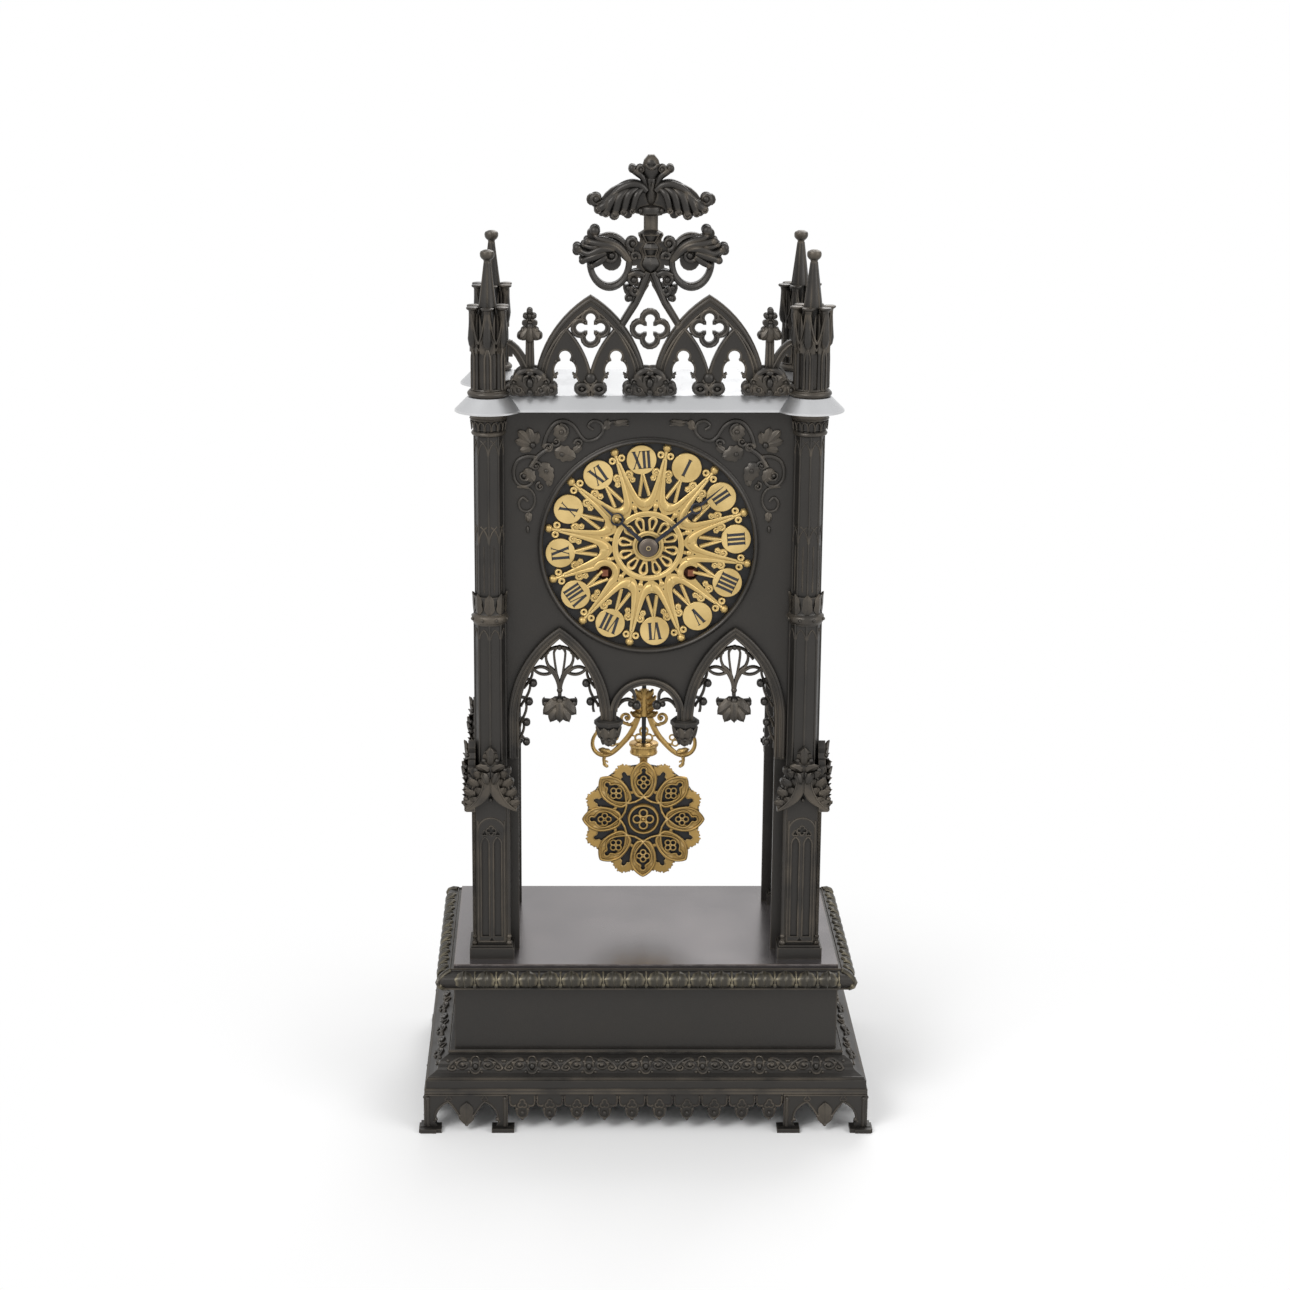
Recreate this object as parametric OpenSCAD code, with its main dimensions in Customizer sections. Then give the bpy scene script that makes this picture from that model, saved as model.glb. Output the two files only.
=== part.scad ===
// Table clock in the shape of a cathedral portal, drawn in millimetres.
// The floor is z = 0, the front looks along -y, right is +x.

/* [Base] */
// Width of the hollow base box
base_w = 204; // [198:1:210]
// Depth of the hollow base box
base_d = 118; // [112:1:124]
// Height of the hollow base box
box_h = 61.8; // [56:0.2:68]
// Wall of the base box
wall_t = 2.5; // [2:0.25:3.5]
// Thickness of the plate that closes the base
plate_t = 3; // [2.4:0.2:4]
// Height of the corner feet
foot_h = 21.5; // [19:0.5:25]
// Length of each leg of a corner foot
foot_len = 44; // [40:1:48]
// Thickness of the foot legs
foot_t = 3.2; // [2.6:0.2:4]
// How far the lower moulding stands out from the box
lower_out = 15.9; // [14:0.1:18]
// Thickness of the flange under the lower moulding
flange_t = 2.9; // [2.2:0.1:4]
// Height of the lower moulding above its flange
lower_h = 16.9; // [14:0.1:20]
// How far the leaf moulding stands out from the box
leaf_out = 8.4; // [6:0.2:10]
// Height of the leaf moulding
leaf_h = 10; // [8:0.5:12]
// Thickness of the pendant aprons
apron_t = 2; // [1.6:0.2:3]

/* [Columns] */
// Distance between the column axes, left to right
column_pitch = 164; // [160:0.5:166]
// Distance between the column axes, front to back
column_depth = 80; // [77:0.5:83]
// Height of a column
column_h = 294.6; // [286:0.2:302]
// Height of the square pier above the base plate
pier_h = 96; // [90:0.5:102]
// Height of the ring between the shafts above the base plate
ring_h = 188.5; // [180:0.5:196]
// Side of the square plinth
plinth_s = 23.6; // [21:0.2:26]
// Side of the square pier
pier_s = 18.2; // [17.4:0.2:19.4]
// Radius of the lower shaft over its arrises
shaft_r = 8.1; // [7.7:0.1:8.3]
// Radius of the upper shaft over its arrises
upper_r = 7.4; // [7:0.1:7.8]
// Radius of the ring between the shafts
ring_r = 9.3; // [8.8:0.1:9.8]
// Radius of the tie rod inside a column
rod_r = 2; // [1.6:0.1:2.4]
// Clearance of the tie rods in their bores
rod_play = 0.1; // [0.05:0.05:0.3]

/* [Case] */
// Thickness of the case panels
panel_t = 3; // [2.4:0.1:3.4]
// Half width of a pointed side arch
arch_half = 21.7; // [20.5:0.1:22.5]
// Rise of a pointed side arch above its spring
arch_rise = 44; // [40:0.5:47]
// Radius of the round centre arch
centre_r = 16; // [14.5:0.1:17]
// Drop of the arch springs below the dial centre
spring_drop = 93.3; // [88:0.1:97]
// Width of the raised arch mouldings
band_w = 5; // [3.6:0.2:5.2]
// How far the arch mouldings stand out
band_t = 2.3; // [1.6:0.1:2.8]
// Thickness of the pierced tracery
tracery_t = 2; // [1.6:0.1:2.6]
// Width of a corbel
corbel_w = 14.4; // [12:0.2:15]
// Height of the deck
deck_h = 7.4; // [6:0.2:9]
// Outer radius of the round deck corners
lobe_r = 17.2; // [15.6:0.2:18.4]
// Slope of the deck edge, measured level
deck_bevel = 6.6; // [5:0.2:7.4]

/* [Crown] */
// Radius of the turret body
turret_r = 9.1; // [8.4:0.1:9.6]
// Height of a turret with its ball
turret_h = 74.4; // [70:0.2:80]
// Thickness of the gallery
gallery_t = 3.6; // [3:0.2:4.4]
// Height of the two great gallery arches
gallery_h = 51.2; // [48:0.2:54]
// Height of the cross from the gallery arches to its bud
cross_h = 121; // [117:0.5:125]
// Thickness of the finial cross
cross_t = 5; // [4:0.2:6]

/* [Dial] */
// Drop of the dial centre below the deck
dial_drop = 71.8; // [69:0.1:74]
// Radius of the dial opening
dial_r = 54.5; // [53.6:0.1:55.4]
// Thickness of the gilt dial
gilt_t = 2.1; // [1.6:0.1:2.4]
// Radius of the circle of numeral discs
disc_pitch_r = 45.6; // [45:0.1:46]
// Radius of a numeral disc
disc_r = 7.6; // [7:0.1:7.9]
// Least gap between a numeral disc and the edge of the opening
rim_gap = 1.3; // [0.8:0.1:1.8]
// Turn of the dial out of the vertical, anticlockwise
dial_turn = 4.7; // [0:0.1:6]
// Length of the hour hand
hour_len = 32.7; // [30:0.1:35]
// Length of the minute hand
minute_len = 50; // [47:0.5:51]

/* [Movement] */
// Radius of the movement plates
mplate_r = 48; // [47.5:0.1:49]
// Thickness of the movement plates
mplate_t = 2; // [1.6:0.1:2.2]
// Radius of a pivot
pivot_r = 0.8; // [0.6:0.05:0.95]
// Running clearance of the pivots
pivot_play = 0.06; // [0.03:0.01:0.1]
// Module of the train wheels
train_m = 0.55; // [0.545:0.005:0.555]
// Tooth thickness as a part of the pitch
tooth_part = 0.34; // [0.3:0.01:0.36]
// Radius of a spring barrel
barrel_r = 17.5; // [16:0.1:18]
// Radius of the bell
bell_r = 32; // [29:0.5:32.5]
// Room between the bell and the back panel's inner face
bell_gap = 2.9; // [2:0.1:4]

/* [Pendulum] */
// Radius of the pendulum rod
prod_r = 1.2; // [1:0.05:1.3]
// Radius of the pierced bob
bob_r = 33.8; // [31:0.2:35]
// Thickness of the bob body
bob_t = 5; // [4.4:0.2:7]
// Depth of the bob openwork
bobwork_t = 2.4; // [1.8:0.1:3]
// Height of the bob centre above the base plate
bob_h = 57.4; // [54:0.2:59]

/* [Hidden] */
$fn = 48;
eps = 0.02;

bw = base_w / 2;
bd = base_d / 2;
cx = column_pitch / 2;
cy = column_depth / 2;
z_box0 = foot_h + flange_t;
z_box1 = z_box0 + box_h;
z_plate = z_box1 + plate_t;
z_deck = z_plate + column_h;
z_top = z_deck + deck_h;
z_dial = z_deck - dial_drop;
z_spring = z_dial - spring_drop;
z_bob = z_plate + bob_h;
foot_x = bw + lower_out - 0.4;
foot_y = bd + lower_out - 0.4;
apron_x = foot_x - foot_len - 0.4;
apron_y = foot_y - foot_len - 0.4;

// Planes of the case, front to back
panel_f = -cy + 2.5;
panel_b = panel_f + panel_t;
edge_x = cx - 5.4;
side_in = cx - 5;
side_out = side_in + panel_t;
edge_y = cy - 4.6;
arch_x = 45.8;
leg_x = arch_x + arch_half;
arch_R = (arch_half * arch_half + arch_rise * arch_rise) / (2 * arch_half);
corbel_x = (centre_r + arch_x - arch_half) / 2;

// The opening clears the numeral discs
opening_r = max(dial_r, disc_pitch_r + disc_r + rim_gap);
// Planes of the movement
dial_f = panel_b;
dial_b = dial_f + 1.2;
mp_f = dial_b + 6.3;
mp_fi = mp_f + mplate_t;
mp_bi = mp_fi + 32;
mp_b = mp_bi + mplate_t;
pend_y = mp_b + 5.1;
bell_y = mp_b + 9.6;
bell_deep = -panel_b - bell_gap - bell_y;

// Axes of the train, measured from the dial centre
wind_x = 22.3;
wind_z = -14.3;
great_n = 72;
pin_n = 12;
second_n = 60;
lever_g = train_m * (great_n + pin_n) / 2;
lever_s = train_m * (second_n + pin_n) / 2;
wind_d = sqrt(wind_x * wind_x + wind_z * wind_z);
along = (lever_s * lever_s - lever_g * lever_g + wind_d * wind_d) / (2 * wind_d);
aside = sqrt(lever_s * lever_s - along * along);
second_x = along * wind_x / wind_d - aside * wind_z / wind_d;
second_z = along * wind_z / wind_d + aside * wind_x / wind_d;
third_d = 0.5 * (60 + 8) / 2;
third_a = 126.9;
third_x = third_d * cos(third_a);
third_z = third_d * sin(third_a);
escape_d = 0.45 * (48 + 8) / 2;
escape_z = third_z + sqrt(escape_d * escape_d - third_x * third_x);
anchor_z = escape_z + 11.5;
susp_z = anchor_z + 6;
pinw_a = 119.1;
pinw_x = -wind_x + lever_g * cos(pinw_a);
pinw_z = wind_z + lever_g * sin(pinw_a);
minute_m = 0.7;
hour_m = minute_m * 24 / 25;
minute_d = minute_m * 24;

bronze = [0.22, 0.21, 0.18];
dark = [0.16, 0.16, 0.15];
gold = [0.78, 0.62, 0.32];
oldgold = [0.55, 0.42, 0.18];
brass = [0.72, 0.58, 0.3];
steel = [0.45, 0.46, 0.48];
blue = [0.1, 0.12, 0.2];

// Curve helpers: lists of points and the bands drawn along them
function arc(x, y, r, a0, a1, n = 12) =
    [for (i = [0:n]) let (a = a0 + (a1 - a0) * i / n) [x + r * cos(a), y + r * sin(a)]];
function spiral(x, y, r0, r1, a0, a1, n = 16) =
    [for (i = [0:n]) let (t = i / n, a = a0 + (a1 - a0) * t, r = r0 + (r1 - r0) * t)
        [x + r * cos(a), y + r * sin(a)]];
function bez(a, b, c, d, n = 8) =
    [for (i = [0:n]) let (t = i / n, s = 1 - t)
        s * s * s * a + 3 * s * s * t * b + 3 * s * t * t * c + t * t * t * d];
function unit(v) = v / max(norm(v), 0.0001);
function normal_at(p, i) =
    let (d = unit(p[min(i + 1, len(p) - 1)] - p[max(i - 1, 0)])) [-d[1], d[0]];
function width_at(w0, w1, i, n) = (w0 + (w1 - w0) * i / n) / 2;
function outline(p, w0, w1) =
    let (n = len(p) - 1) concat(
        [for (i = [0:n]) p[i] + normal_at(p, i) * width_at(w0, w1, i, n)],
        [for (i = [n:-1:0]) p[i] - normal_at(p, i) * width_at(w0, w1, i, n)]);
function flip(p) = [for (q = p) [-q[0], q[1]]];

module stroke(p, w0, w1 = -1) {
    polygon(outline(p, w0, w1 < 0 ? w0 : w1));
}
module disc(x, y, r) {
    translate([x, y]) circle(r, $fn = 14);
}
module ring2(x, y, r, w) {
    translate([x, y]) difference() {
        circle(r, $fn = 20);
        circle(r - w, $fn = 16);
    }
}
// Both halves of a shape that is the same left and right
module both() {
    children();
    mirror([1, 0]) children();
}
// A flat shape in x and z, made solid from y0 back to y1
module slab(y0, y1) {
    translate([0, y1, 0]) rotate([90, 0, 0]) linear_extrude(y1 - y0) children();
}
// A flat shape in y and z, made solid from x0 to x1
module side_slab(x0, x1) {
    translate([x0, 0, 0]) rotate([90, 0, 90]) linear_extrude(x1 - x0) children();
}
// A round bar along y
module ybar(x, z, r, y0, y1) {
    translate([x, y1, z]) rotate([90, 0, 0]) cylinder(r = r, h = y1 - y0);
}
// A moulding run all round the base, from its profile of [stand out, height] pairs
module run_round(prof) {
    n = len(prof) - 1;
    intersection() {
        slab(-bd - 40, bd + 40) polygon(concat(
            [for (p = prof) [bw + p[0], p[1]]],
            [for (i = [n:-1:0]) [-bw - prof[i][0], prof[i][1]]]));
        side_slab(-bw - 40, bw + 40) polygon(concat(
            [for (p = prof) [bd + p[0], p[1]]],
            [for (i = [n:-1:0]) [-bd - prof[i][0], prof[i][1]]]));
    }
}
module block(x0, x1, y0, y1, z0, z1) {
    translate([x0, y0, z0]) cube([x1 - x0, y1 - y0, z1 - z0]);
}

// Base
module foot_profile() {
    u = foot_len;
    h = foot_h;
    difference() {
        translate([0, 2.6]) square([u, h - 2.6]);
        // two pointed arches side by side
        for (s = [0, 1]) translate([s == 0 ? foot_t : u - foot_t, 0]) scale([s == 0 ? 1 : -1, 1])
            polygon(concat([[0.6, 0], [0.6, 5.4], [2, 6.6], [1.8, 8]],
                bez([1.8, 8], [2, 12], [5, 15.5], [9, h - 4.6]),
                bez([9, h - 4.6], [12.5, 13], [13.4, 10.4], [15.2, 8.4]),
                [[17, 6], [u / 2 - foot_t + 0.1, 3.2], [u / 2 - foot_t + 0.1, 0]]));
    }
    both_ends(u) polygon([[-3.4, 0.5], [-3.4, 2.3], [-2.2, 2.6 + eps], [foot_t + 3.2, 2.6 + eps],
        [foot_t + 5.4, 2.3], [foot_t + 5.4, 0.5], [foot_t + 4.9, 0], [-2.9, 0]]);
    both_ends(u) translate([0, 2.6]) polygon([[0, -eps], [0, 4], [foot_t + 0.6, 4],
        [foot_t + 3, -eps]]);
}
module both_ends(u) {
    children();
    translate([u, 0]) mirror([1, 0]) children();
}
module one_foot() {
    // corner at the origin, legs along +x and +y
    slab(0, foot_t) foot_profile();
    side_slab(0, foot_t) foot_profile();
    for (e = [0, foot_len]) {
        block(e - 3.4 + (e > 0 ? -5.2 : 0), e + (e > 0 ? 3.4 : 8.6), -2.6, foot_t + 2.6, 0, 2.3);
        block(-2.6, foot_t + 2.6, e - 3.4 + (e > 0 ? -5.2 : 0), e + (e > 0 ? 3.4 : 8.6), 0, 2.3);
    }
    difference() {
        block(foot_t - 0.5, 22, foot_t - 0.5, 22, foot_h - 3, foot_h);
        for (p = [[9, 16], [16, 9]]) translate([p[0], p[1], 0]) cylinder(r = 1.5, h = 60);
    }
}
module at_corners(x, y) {
    for (i = [-1, 1]) for (j = [-1, 1]) scale([-i, -j, 1]) translate([-x, -y, 0]) children();
}
module corner_feet() {
    color(bronze) at_corners(foot_x, foot_y) one_foot();
}
module foot_screws() {
    color(steel) at_corners(foot_x, foot_y) for (p = [[9, 16], [16, 9]]) translate([p[0], p[1], 0]) {
        translate([0, 0, foot_h - 3]) cylinder(r = 1.4, h = 5);
        difference() {
            translate([0, 0, foot_h - 4.6]) cylinder(r = 2.6, h = 1.6);
            translate([-3, -0.4, foot_h - 5]) cube([6, 0.8, 1]);
        }
    }
}
module pendant() {
    polygon(concat([[-7.1, 0.1], [-7.1, -3.6]], arc(-4.9, -3.9, 2.1, 180, 290, 4),
        arc(-2.4, -8, 1.5, 150, 210, 2), arc(0, -9.6, 3.2, 200, 340, 6),
        arc(2.4, -8, 1.5, -30, 30, 2), arc(4.9, -3.9, 2.1, 250, 360, 4), [[7.1, -3.6], [7.1, 0.1]]));
    translate([0, -13]) circle(0.9, $fn = 10);
}
module apron(len) {
    n = round(len / 15.2);
    w = len / n;
    offset(delta = 0.01) union() {
        translate([-len / 2, foot_h - 3.2]) square([len, 3.2]);
        for (i = [0:n - 1]) translate([-len / 2 + w * (i + 0.5), foot_h - 1.4]) scale([w / 15.2, 1])
            pendant();
    }
}
module aprons() {
    color(bronze) {
        for (s = [-1, 1]) slab(s * (foot_y - 1.6) - apron_t / 2, s * (foot_y - 1.6) + apron_t / 2)
            translate([0, -0.01]) apron(2 * apron_x);
        for (s = [-1, 1]) side_slab(s * (foot_x - 1.6) - apron_t / 2, s * (foot_x - 1.6) + apron_t / 2)
            translate([0, -0.01]) apron(2 * apron_y);
    }
}
lower_prof = let (o = lower_out, h = lower_h, z = z_box0) concat(
    [[o, foot_h], [o, z - 0.3], [o - 0.7, z], [o - 0.7, z + h * 0.27], [o - 2, z + h * 0.3],
        [o - 2, z + h * 0.36]],
    [for (i = [0:8]) let (t = i / 8)
        [o - 2.6 - (o - 6.6) * (t + 0.16 * sin(360 * t)), z + h * (0.37 + 0.49 * t)]],
    [[3.3, z + h * 0.87], [3.3, z + h * 0.95], [2.4, z + h], [-2, z + h]]);
module base_moulding() {
    color(bronze) difference() {
        run_round(lower_prof);
        block(-bw, bw, -bd, bd, z_box0, z_box1);
        block(-bw + 8, bw - 8, -bd + 8, bd - 8, 0, z_box0 + 1);
        at_corners(foot_x, foot_y) for (p = [[9, 16], [16, 9]]) translate([p[0], p[1], 0])
            cylinder(r = 1.45, h = foot_h + 2.4);
    }
}
module base_box() {
    color(bronze) difference() {
        block(-bw, bw, -bd, bd, z_box0, z_box1);
        block(-bw + wall_t, bw - wall_t, -bd + wall_t, bd - wall_t, z_box0 - 1, z_box1 + 1);
    }
}
leaf_prof = let (z = z_box1 + 0.6, h = leaf_h, o = leaf_out) concat(
    [[-1, z - h], [o * 0.55, z - h], [o * 0.62, z - h * 0.9]],
    [for (i = [0:8]) let (a = -55 + 150 * i / 8)
        [o * 0.52 + o * 0.48 * cos(a), z - h * 0.45 + h * 0.36 * sin(a)]],
    [[o * 0.24, z - h * 0.06], [o * 0.2, z], [-1, z]]);
module leaf_moulding() {
    color(bronze) difference() {
        run_round(leaf_prof);
        block(-bw, bw, -bd, bd, 0, z_top);
    }
}
module base_plate() {
    color([0.3, 0.2, 0.16]) difference() {
        block(-bw, bw, -bd, bd, z_box1, z_plate);
        at_corners(cx, cy) translate([0, 0, z_box1 - 1]) cylinder(r = rod_r + rod_play, h = plate_t + 2);
    }
}

// Columns
module lancet(w, h) {
    r = w;
    polygon(concat([[w / 2, 0]], arc(w / 2 - r, h - r * 0.866, r, 0, 60, 6),
        arc(r - w / 2, h - r * 0.866, r, 120, 180, 6), [[-w / 2, 0]]));
}
module face_panel() {
    both() translate([3.3, 12]) lancet(4.4, pier_h - 40);
    translate([0, pier_h - 25]) circle(2.4, $fn = 24);
    both() translate([3.5, pier_h - 26]) circle(1.1, $fn = 24);
    translate([0, 10.6]) polygon([[-1.2, -1.2], [1.2, -1.2], [0, 1]]);
}
module gablet_outline() {
    g = pier_h - 12;
    polygon(concat([[-13.7, g - 0.5], [-13.2, g + 4.6]], [[-12.6, g + 7]],
        arc(-11.4, g + 9.4, 2, 230, 100, 5), [[-11, g + 13.2]],
        arc(-10.4, g + 15.2, 1.9, 230, 90, 5), [[-9.6, g + 19]],
        arc(-9, g + 21.4, 2, 230, 70, 5), [[-6.6, g + 22.2], [-5.6, g + 25.4], [-4.2, g + 26],
        [-3, g + 28.6], [-3.4, g + 31.4], [0, g + 34.6], [3.4, g + 31.4], [3, g + 28.6],
        [4.2, g + 26], [5.6, g + 25.4], [6.6, g + 22.2]],
        arc(9, g + 21.4, 2, 110, -50, 5), [[9.6, g + 19]],
        arc(10.4, g + 15.2, 1.9, 90, -50, 5), [[11, g + 13.2]],
        arc(11.4, g + 9.4, 2, 80, -50, 5), [[12.6, g + 7], [13.2, g + 4.6], [13.7, g - 0.5]],
        bez([13.7, g - 0.5], [6.5, g + 1.5], [1.6, g + 5], [0, g + 10]),
        bez([0, g + 10], [-1.6, g + 5], [-6.5, g + 1.5], [-13.7, g - 0.5])));
}
module gable_band() {
    g = pier_h - 12;
    both() polygon(concat([[13.7, g - 0.5]], bez([13.7, g - 0.5], [6.5, g + 1.5], [1.6, g + 5], [0, g + 10]),
        [[0, g + 17.5]], bez([0, g + 17.5], [2.4, g + 12], [6.5, g + 7.5], [13.5, g + 3.4])));
}
module octa(r, h, bead) {
    cylinder(r = r, h = h, $fn = 8);
    for (i = [0:7]) rotate(i * 45) translate([r - 0.25, 0, 0]) cylinder(r = bead, h = h, $fn = 16);
}
// One column at the origin; its show faces look along -x and -y
module column() {
    p = pier_s / 2;
    top = column_h;
    difference() {
        union() {
            block(-plinth_s / 2, plinth_s / 2, -plinth_s / 2, plinth_s / 2, 0, 6.3);
            block(-plinth_s / 2 + 0.8, plinth_s / 2 - 0.8, -plinth_s / 2 + 0.8, plinth_s / 2 - 0.8,
                6.3, 7.5);
            block(-p, p, -p, p, 7.5, pier_h);
            slab(-11.9, -p + 1) gablet_outline();
            rotate(-90) slab(-11.9, -p + 1) gablet_outline();
            slab(-13, -p + 1) gable_band();
            rotate(-90) slab(-13, -p + 1) gable_band();
            translate([0, 0, pier_h]) octa(shaft_r, ring_h - pier_h, 0.7);
            translate([0, 0, ring_h]) octa(upper_r, top - 9 - ring_h, 0.6);
            translate([0, 0, ring_h]) rotate_extrude() polygon(concat([[0, -6], [shaft_r, -6],
                [ring_r - 0.5, -4.4]], arc(ring_r - 1.6, -2.6, 1.6, -60, 90, 8),
                [[ring_r - 1.2, -0.6], [upper_r + 0.3, 0.6], [upper_r + 0.1, 5], [upper_r + 0.9, 8.6],
                [upper_r + 1, 9.6], [0, 9.6]]));
            translate([0, 0, top]) rotate_extrude() polygon(concat([[0, -12.4]],
                arc(upper_r + 0.2, -11.4, 1, -90, 90, 6), [[upper_r, -10], [upper_r + 0.5, -9.4],
                [upper_r + 1.1, -4.6], [upper_r + 1.7, -4], [upper_r + 2.2, -2.4], [upper_r + 2.4, -1],
                [upper_r + 2.4, 0], [0, 0]]));
        }
        translate([0, 0, -1]) cylinder(r = rod_r + rod_play, h = top + 2);
        slab(-p - 1, -p + 0.9) face_panel();
        rotate(-90) slab(-p - 1, -p + 0.9) face_panel();
        // grooves that hold the panels
        block(5.4, 30, 2.5, 2.5 + panel_t, -1, top + 1);
        block(5 - panel_t, 5, 4.6, 30, -1, top + 1);
        capital_arches();
    }
}
module capital_arches() {
    for (i = [0:15]) rotate(i * 22.5) translate([upper_r + 1.9, 0, column_h - 9.2])
        cylinder(r = 1, h = 4, $fn = 16);
}
module place_column(i, j) {
    color(bronze) translate([i * cx, j * cy, z_plate]) scale([-i, -j, 1]) column();
}
module column_front_left() { place_column(-1, -1); }
module column_front_right() { place_column(1, -1); }
module column_back_left() { place_column(-1, 1); }
module column_back_right() { place_column(1, 1); }
module tie_rods() {
    color(steel) at_corners(cx, cy) translate([0, 0, z_box1 - 7])
        cylinder(r = rod_r, h = z_top - z_box1 + 7 + 14);
}
module tie_nuts() {
    color(steel) at_corners(cx, cy) translate([0, 0, z_box1 - 4]) difference() {
        union() {
            cylinder(r = 4.4, h = 3.2, $fn = 6);
            translate([0, 0, 3.2]) cylinder(r = 5, h = 0.8);
        }
        translate([0, 0, -1]) cylinder(r = rod_r, h = 7);
    }
}

// Case panels
function pointed(w, lift) =
    let (r = arch_R + w, c = arch_half - arch_R, a = acos(-c / r))
    concat([[c + r, -lift]], arc(c, 0, r, 0, a, 14), arc(-c, 0, r, 180 - a, 180, 14), [[-c - r, -lift]]);
module pointed_shape(w, lift) {
    polygon(pointed(w, lift));
}
module round_shape(w, lift) {
    polygon(concat([[centre_r + w, -lift]], arc(0, 2.9, centre_r + w, 0, 180, 20),
        [[-centre_r - w, -lift]]));
}
module portal() {
    translate([-leg_x, z_plate - 1]) square([2 * leg_x, z_spring - z_plate + 1.01]);
    both() translate([arch_x, z_spring]) pointed_shape(0, 1);
    translate([0, z_spring]) round_shape(0, 1);
}
module panel_face() {
    translate([-edge_x, z_plate]) square([2 * edge_x, column_h]);
}
module arch_bands(w, w0) {
    both() difference() {
        translate([arch_x, z_spring]) union() {
            pointed_shape(w, 0);
            translate([arch_half, -21.5]) square([w, 21.6]);
        }
        translate([arch_x, z_spring]) pointed_shape(w0, 0.5);
        translate([0, z_spring - 25]) square([leg_x + w0, 25.01]);
    }
    difference() {
        translate([0, z_spring]) round_shape(w * 0.75, 0);
        translate([0, z_spring]) round_shape(w0 * 0.75, 1);
    }
}
module front_panel() {
    color(dark) difference() {
        union() {
            slab(panel_f, panel_b) difference() {
                panel_face();
                portal();
            }
            slab(panel_f - band_t * 0.5, panel_f + 0.5) arch_bands(band_w, 0);
            slab(panel_f - band_t, panel_f) arch_bands(band_w, band_w * 0.55);
        }
        ybar(0, z_dial, opening_r, panel_f - 9, panel_b + 9);
    }
}
module back_panel() {
    color(dark) difference() {
        slab(-panel_b, -panel_f) difference() {
            panel_face();
            portal();
        }
        ybar(0, z_dial, 50, -panel_b - 9, -panel_f + 9);
    }
}
module side_panel() {
    side_spring = z_spring - z_plate - 11.5;
    difference() {
        translate([-edge_y, z_plate]) square([2 * edge_y, column_h]);
        translate([0, z_plate - 1]) polygon(concat([[edge_y - 8, 0]],
            arc(-22, side_spring, edge_y + 14, 0, acos(22 / (edge_y + 14)), 12),
            arc(22, side_spring, edge_y + 14, 180 - acos(22 / (edge_y + 14)), 180, 12), [[8 - edge_y, 0]]));
    }
}
module side_panel_left() {
    color(dark) side_slab(-side_out, -side_in) side_panel();
}
module side_panel_right() {
    color(dark) side_slab(side_in, side_out) side_panel();
}
module leaf_drop() {
    polygon(concat([[-8.6, 2.6]], arc(-7.2, 1.2, 2.2, 110, 230, 6), arc(-5.4, -2.2, 2.1, 150, 260, 6),
        arc(-2.2, -4.4, 2, 190, 280, 5), [[0, -7.6]], arc(2.2, -4.4, 2, -100, -10, 5),
        arc(5.4, -2.2, 2.1, -80, 30, 6), arc(7.2, 1.2, 2.2, -50, 70, 6), [[8.6, 2.6], [4.4, 2.2],
        [2.6, 3.6], [-2.6, 3.6], [-4.4, 2.2]]));
}
// Tracery of one pointed arch, measured from its spring centre
module arch_lace() {
    // rim behind the panel
    difference() {
        pointed_shape(1.8, -3);
        pointed_shape(-0.6, 4);
    }
    both() {
        stroke(bez([0.3, 15], [0.6, 22], [2, 26], [6.6, 28.2]), 1.9, 1.5);
        stroke(bez([0.3, 15], [0.8, 24], [7.4, 27], [7.2, 33]), 1.7, 1.3);
        stroke(bez([7.2, 33], [7, 36.4], [4.6, 38], [0, 38.4]), 1.4, 1.5);
        stroke(bez([0.8, 18], [1.6, 25], [2.8, 30], [3, 35]), 1.2, 1.2);
        stroke(bez([3, 35], [2.8, 37], [1.6, 38], [0, 38.4]), 1.2, 1.2);
        stroke(bez([4.4, 24.4], [7.4, 28.6], [11.6, 28], [13.6, 26.2]), 1.5, 1.3);
        stroke(bez([4.4, 24.4], [7.6, 22.6], [11.4, 23.4], [13.6, 26.2]), 1.3, 1.2);
        stroke(bez([5.8, 35.6], [7.6, 34.8], [8.6, 33.4], [9.8, 31.8]), 1.4, 1.4);
        stroke(bez([13.2, 26.4], [15, 27.2], [15.6, 27.6], [16.6, 27]), 1.4, 1.4);
        // cusps that end in balls
        for (k = [[17.9, 17.2, 14.2, 19.3], [20.2, 7.2, 16.4, 9.2], [21.3, -4.2, 17.8, -2.2],
            [21.6, -14.2, 18, -13]]) {
            stroke([[k[0] + 1, k[1] + 4], [k[0] - 2, k[1] + 3.4], [k[2], k[3]]], 1.3, 1.3);
            disc(k[2] - 0.4, k[3] - 0.4, 1.9);
        }
        stroke(bez([14.6, 27], [13, 22], [17.6, 18], [18.8, 16]), 1.3);
        stroke(bez([15.6, 20.6], [14.4, 13], [19.6, 9], [20.4, 6]), 1.3);
        stroke(bez([18.2, 10], [15.6, 3], [20.8, -1], [21, -5]), 1.3);
        stroke(bez([19.6, -1], [17, -7], [21.6, -11], [21.9, -14]), 1.3);
        translate([21.2, -17]) square([1.6, 21]);
    }
    stroke([[0, 12], [0, 16]], 2, 2.2);
    translate([0, 7.6]) leaf_drop();
}
module centre_lace() {
    difference() {
        round_shape(1.6, -3);
        round_shape(-0.6, 4);
    }
    both() {
        stroke(bez([15.6, 5.6], [13, 10.4], [9.4, 10.6], [6.6, 8.2]), 1.8, 1.5);
        stroke(bez([6.6, 8.2], [5.6, 12.4], [7, 15.4], [10.4, 15.8]), 1.5, 1.8);
        disc(5.4, 6.8, 2.3);
        disc(8.4, 7.4, 1.5);
    }
}
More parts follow.
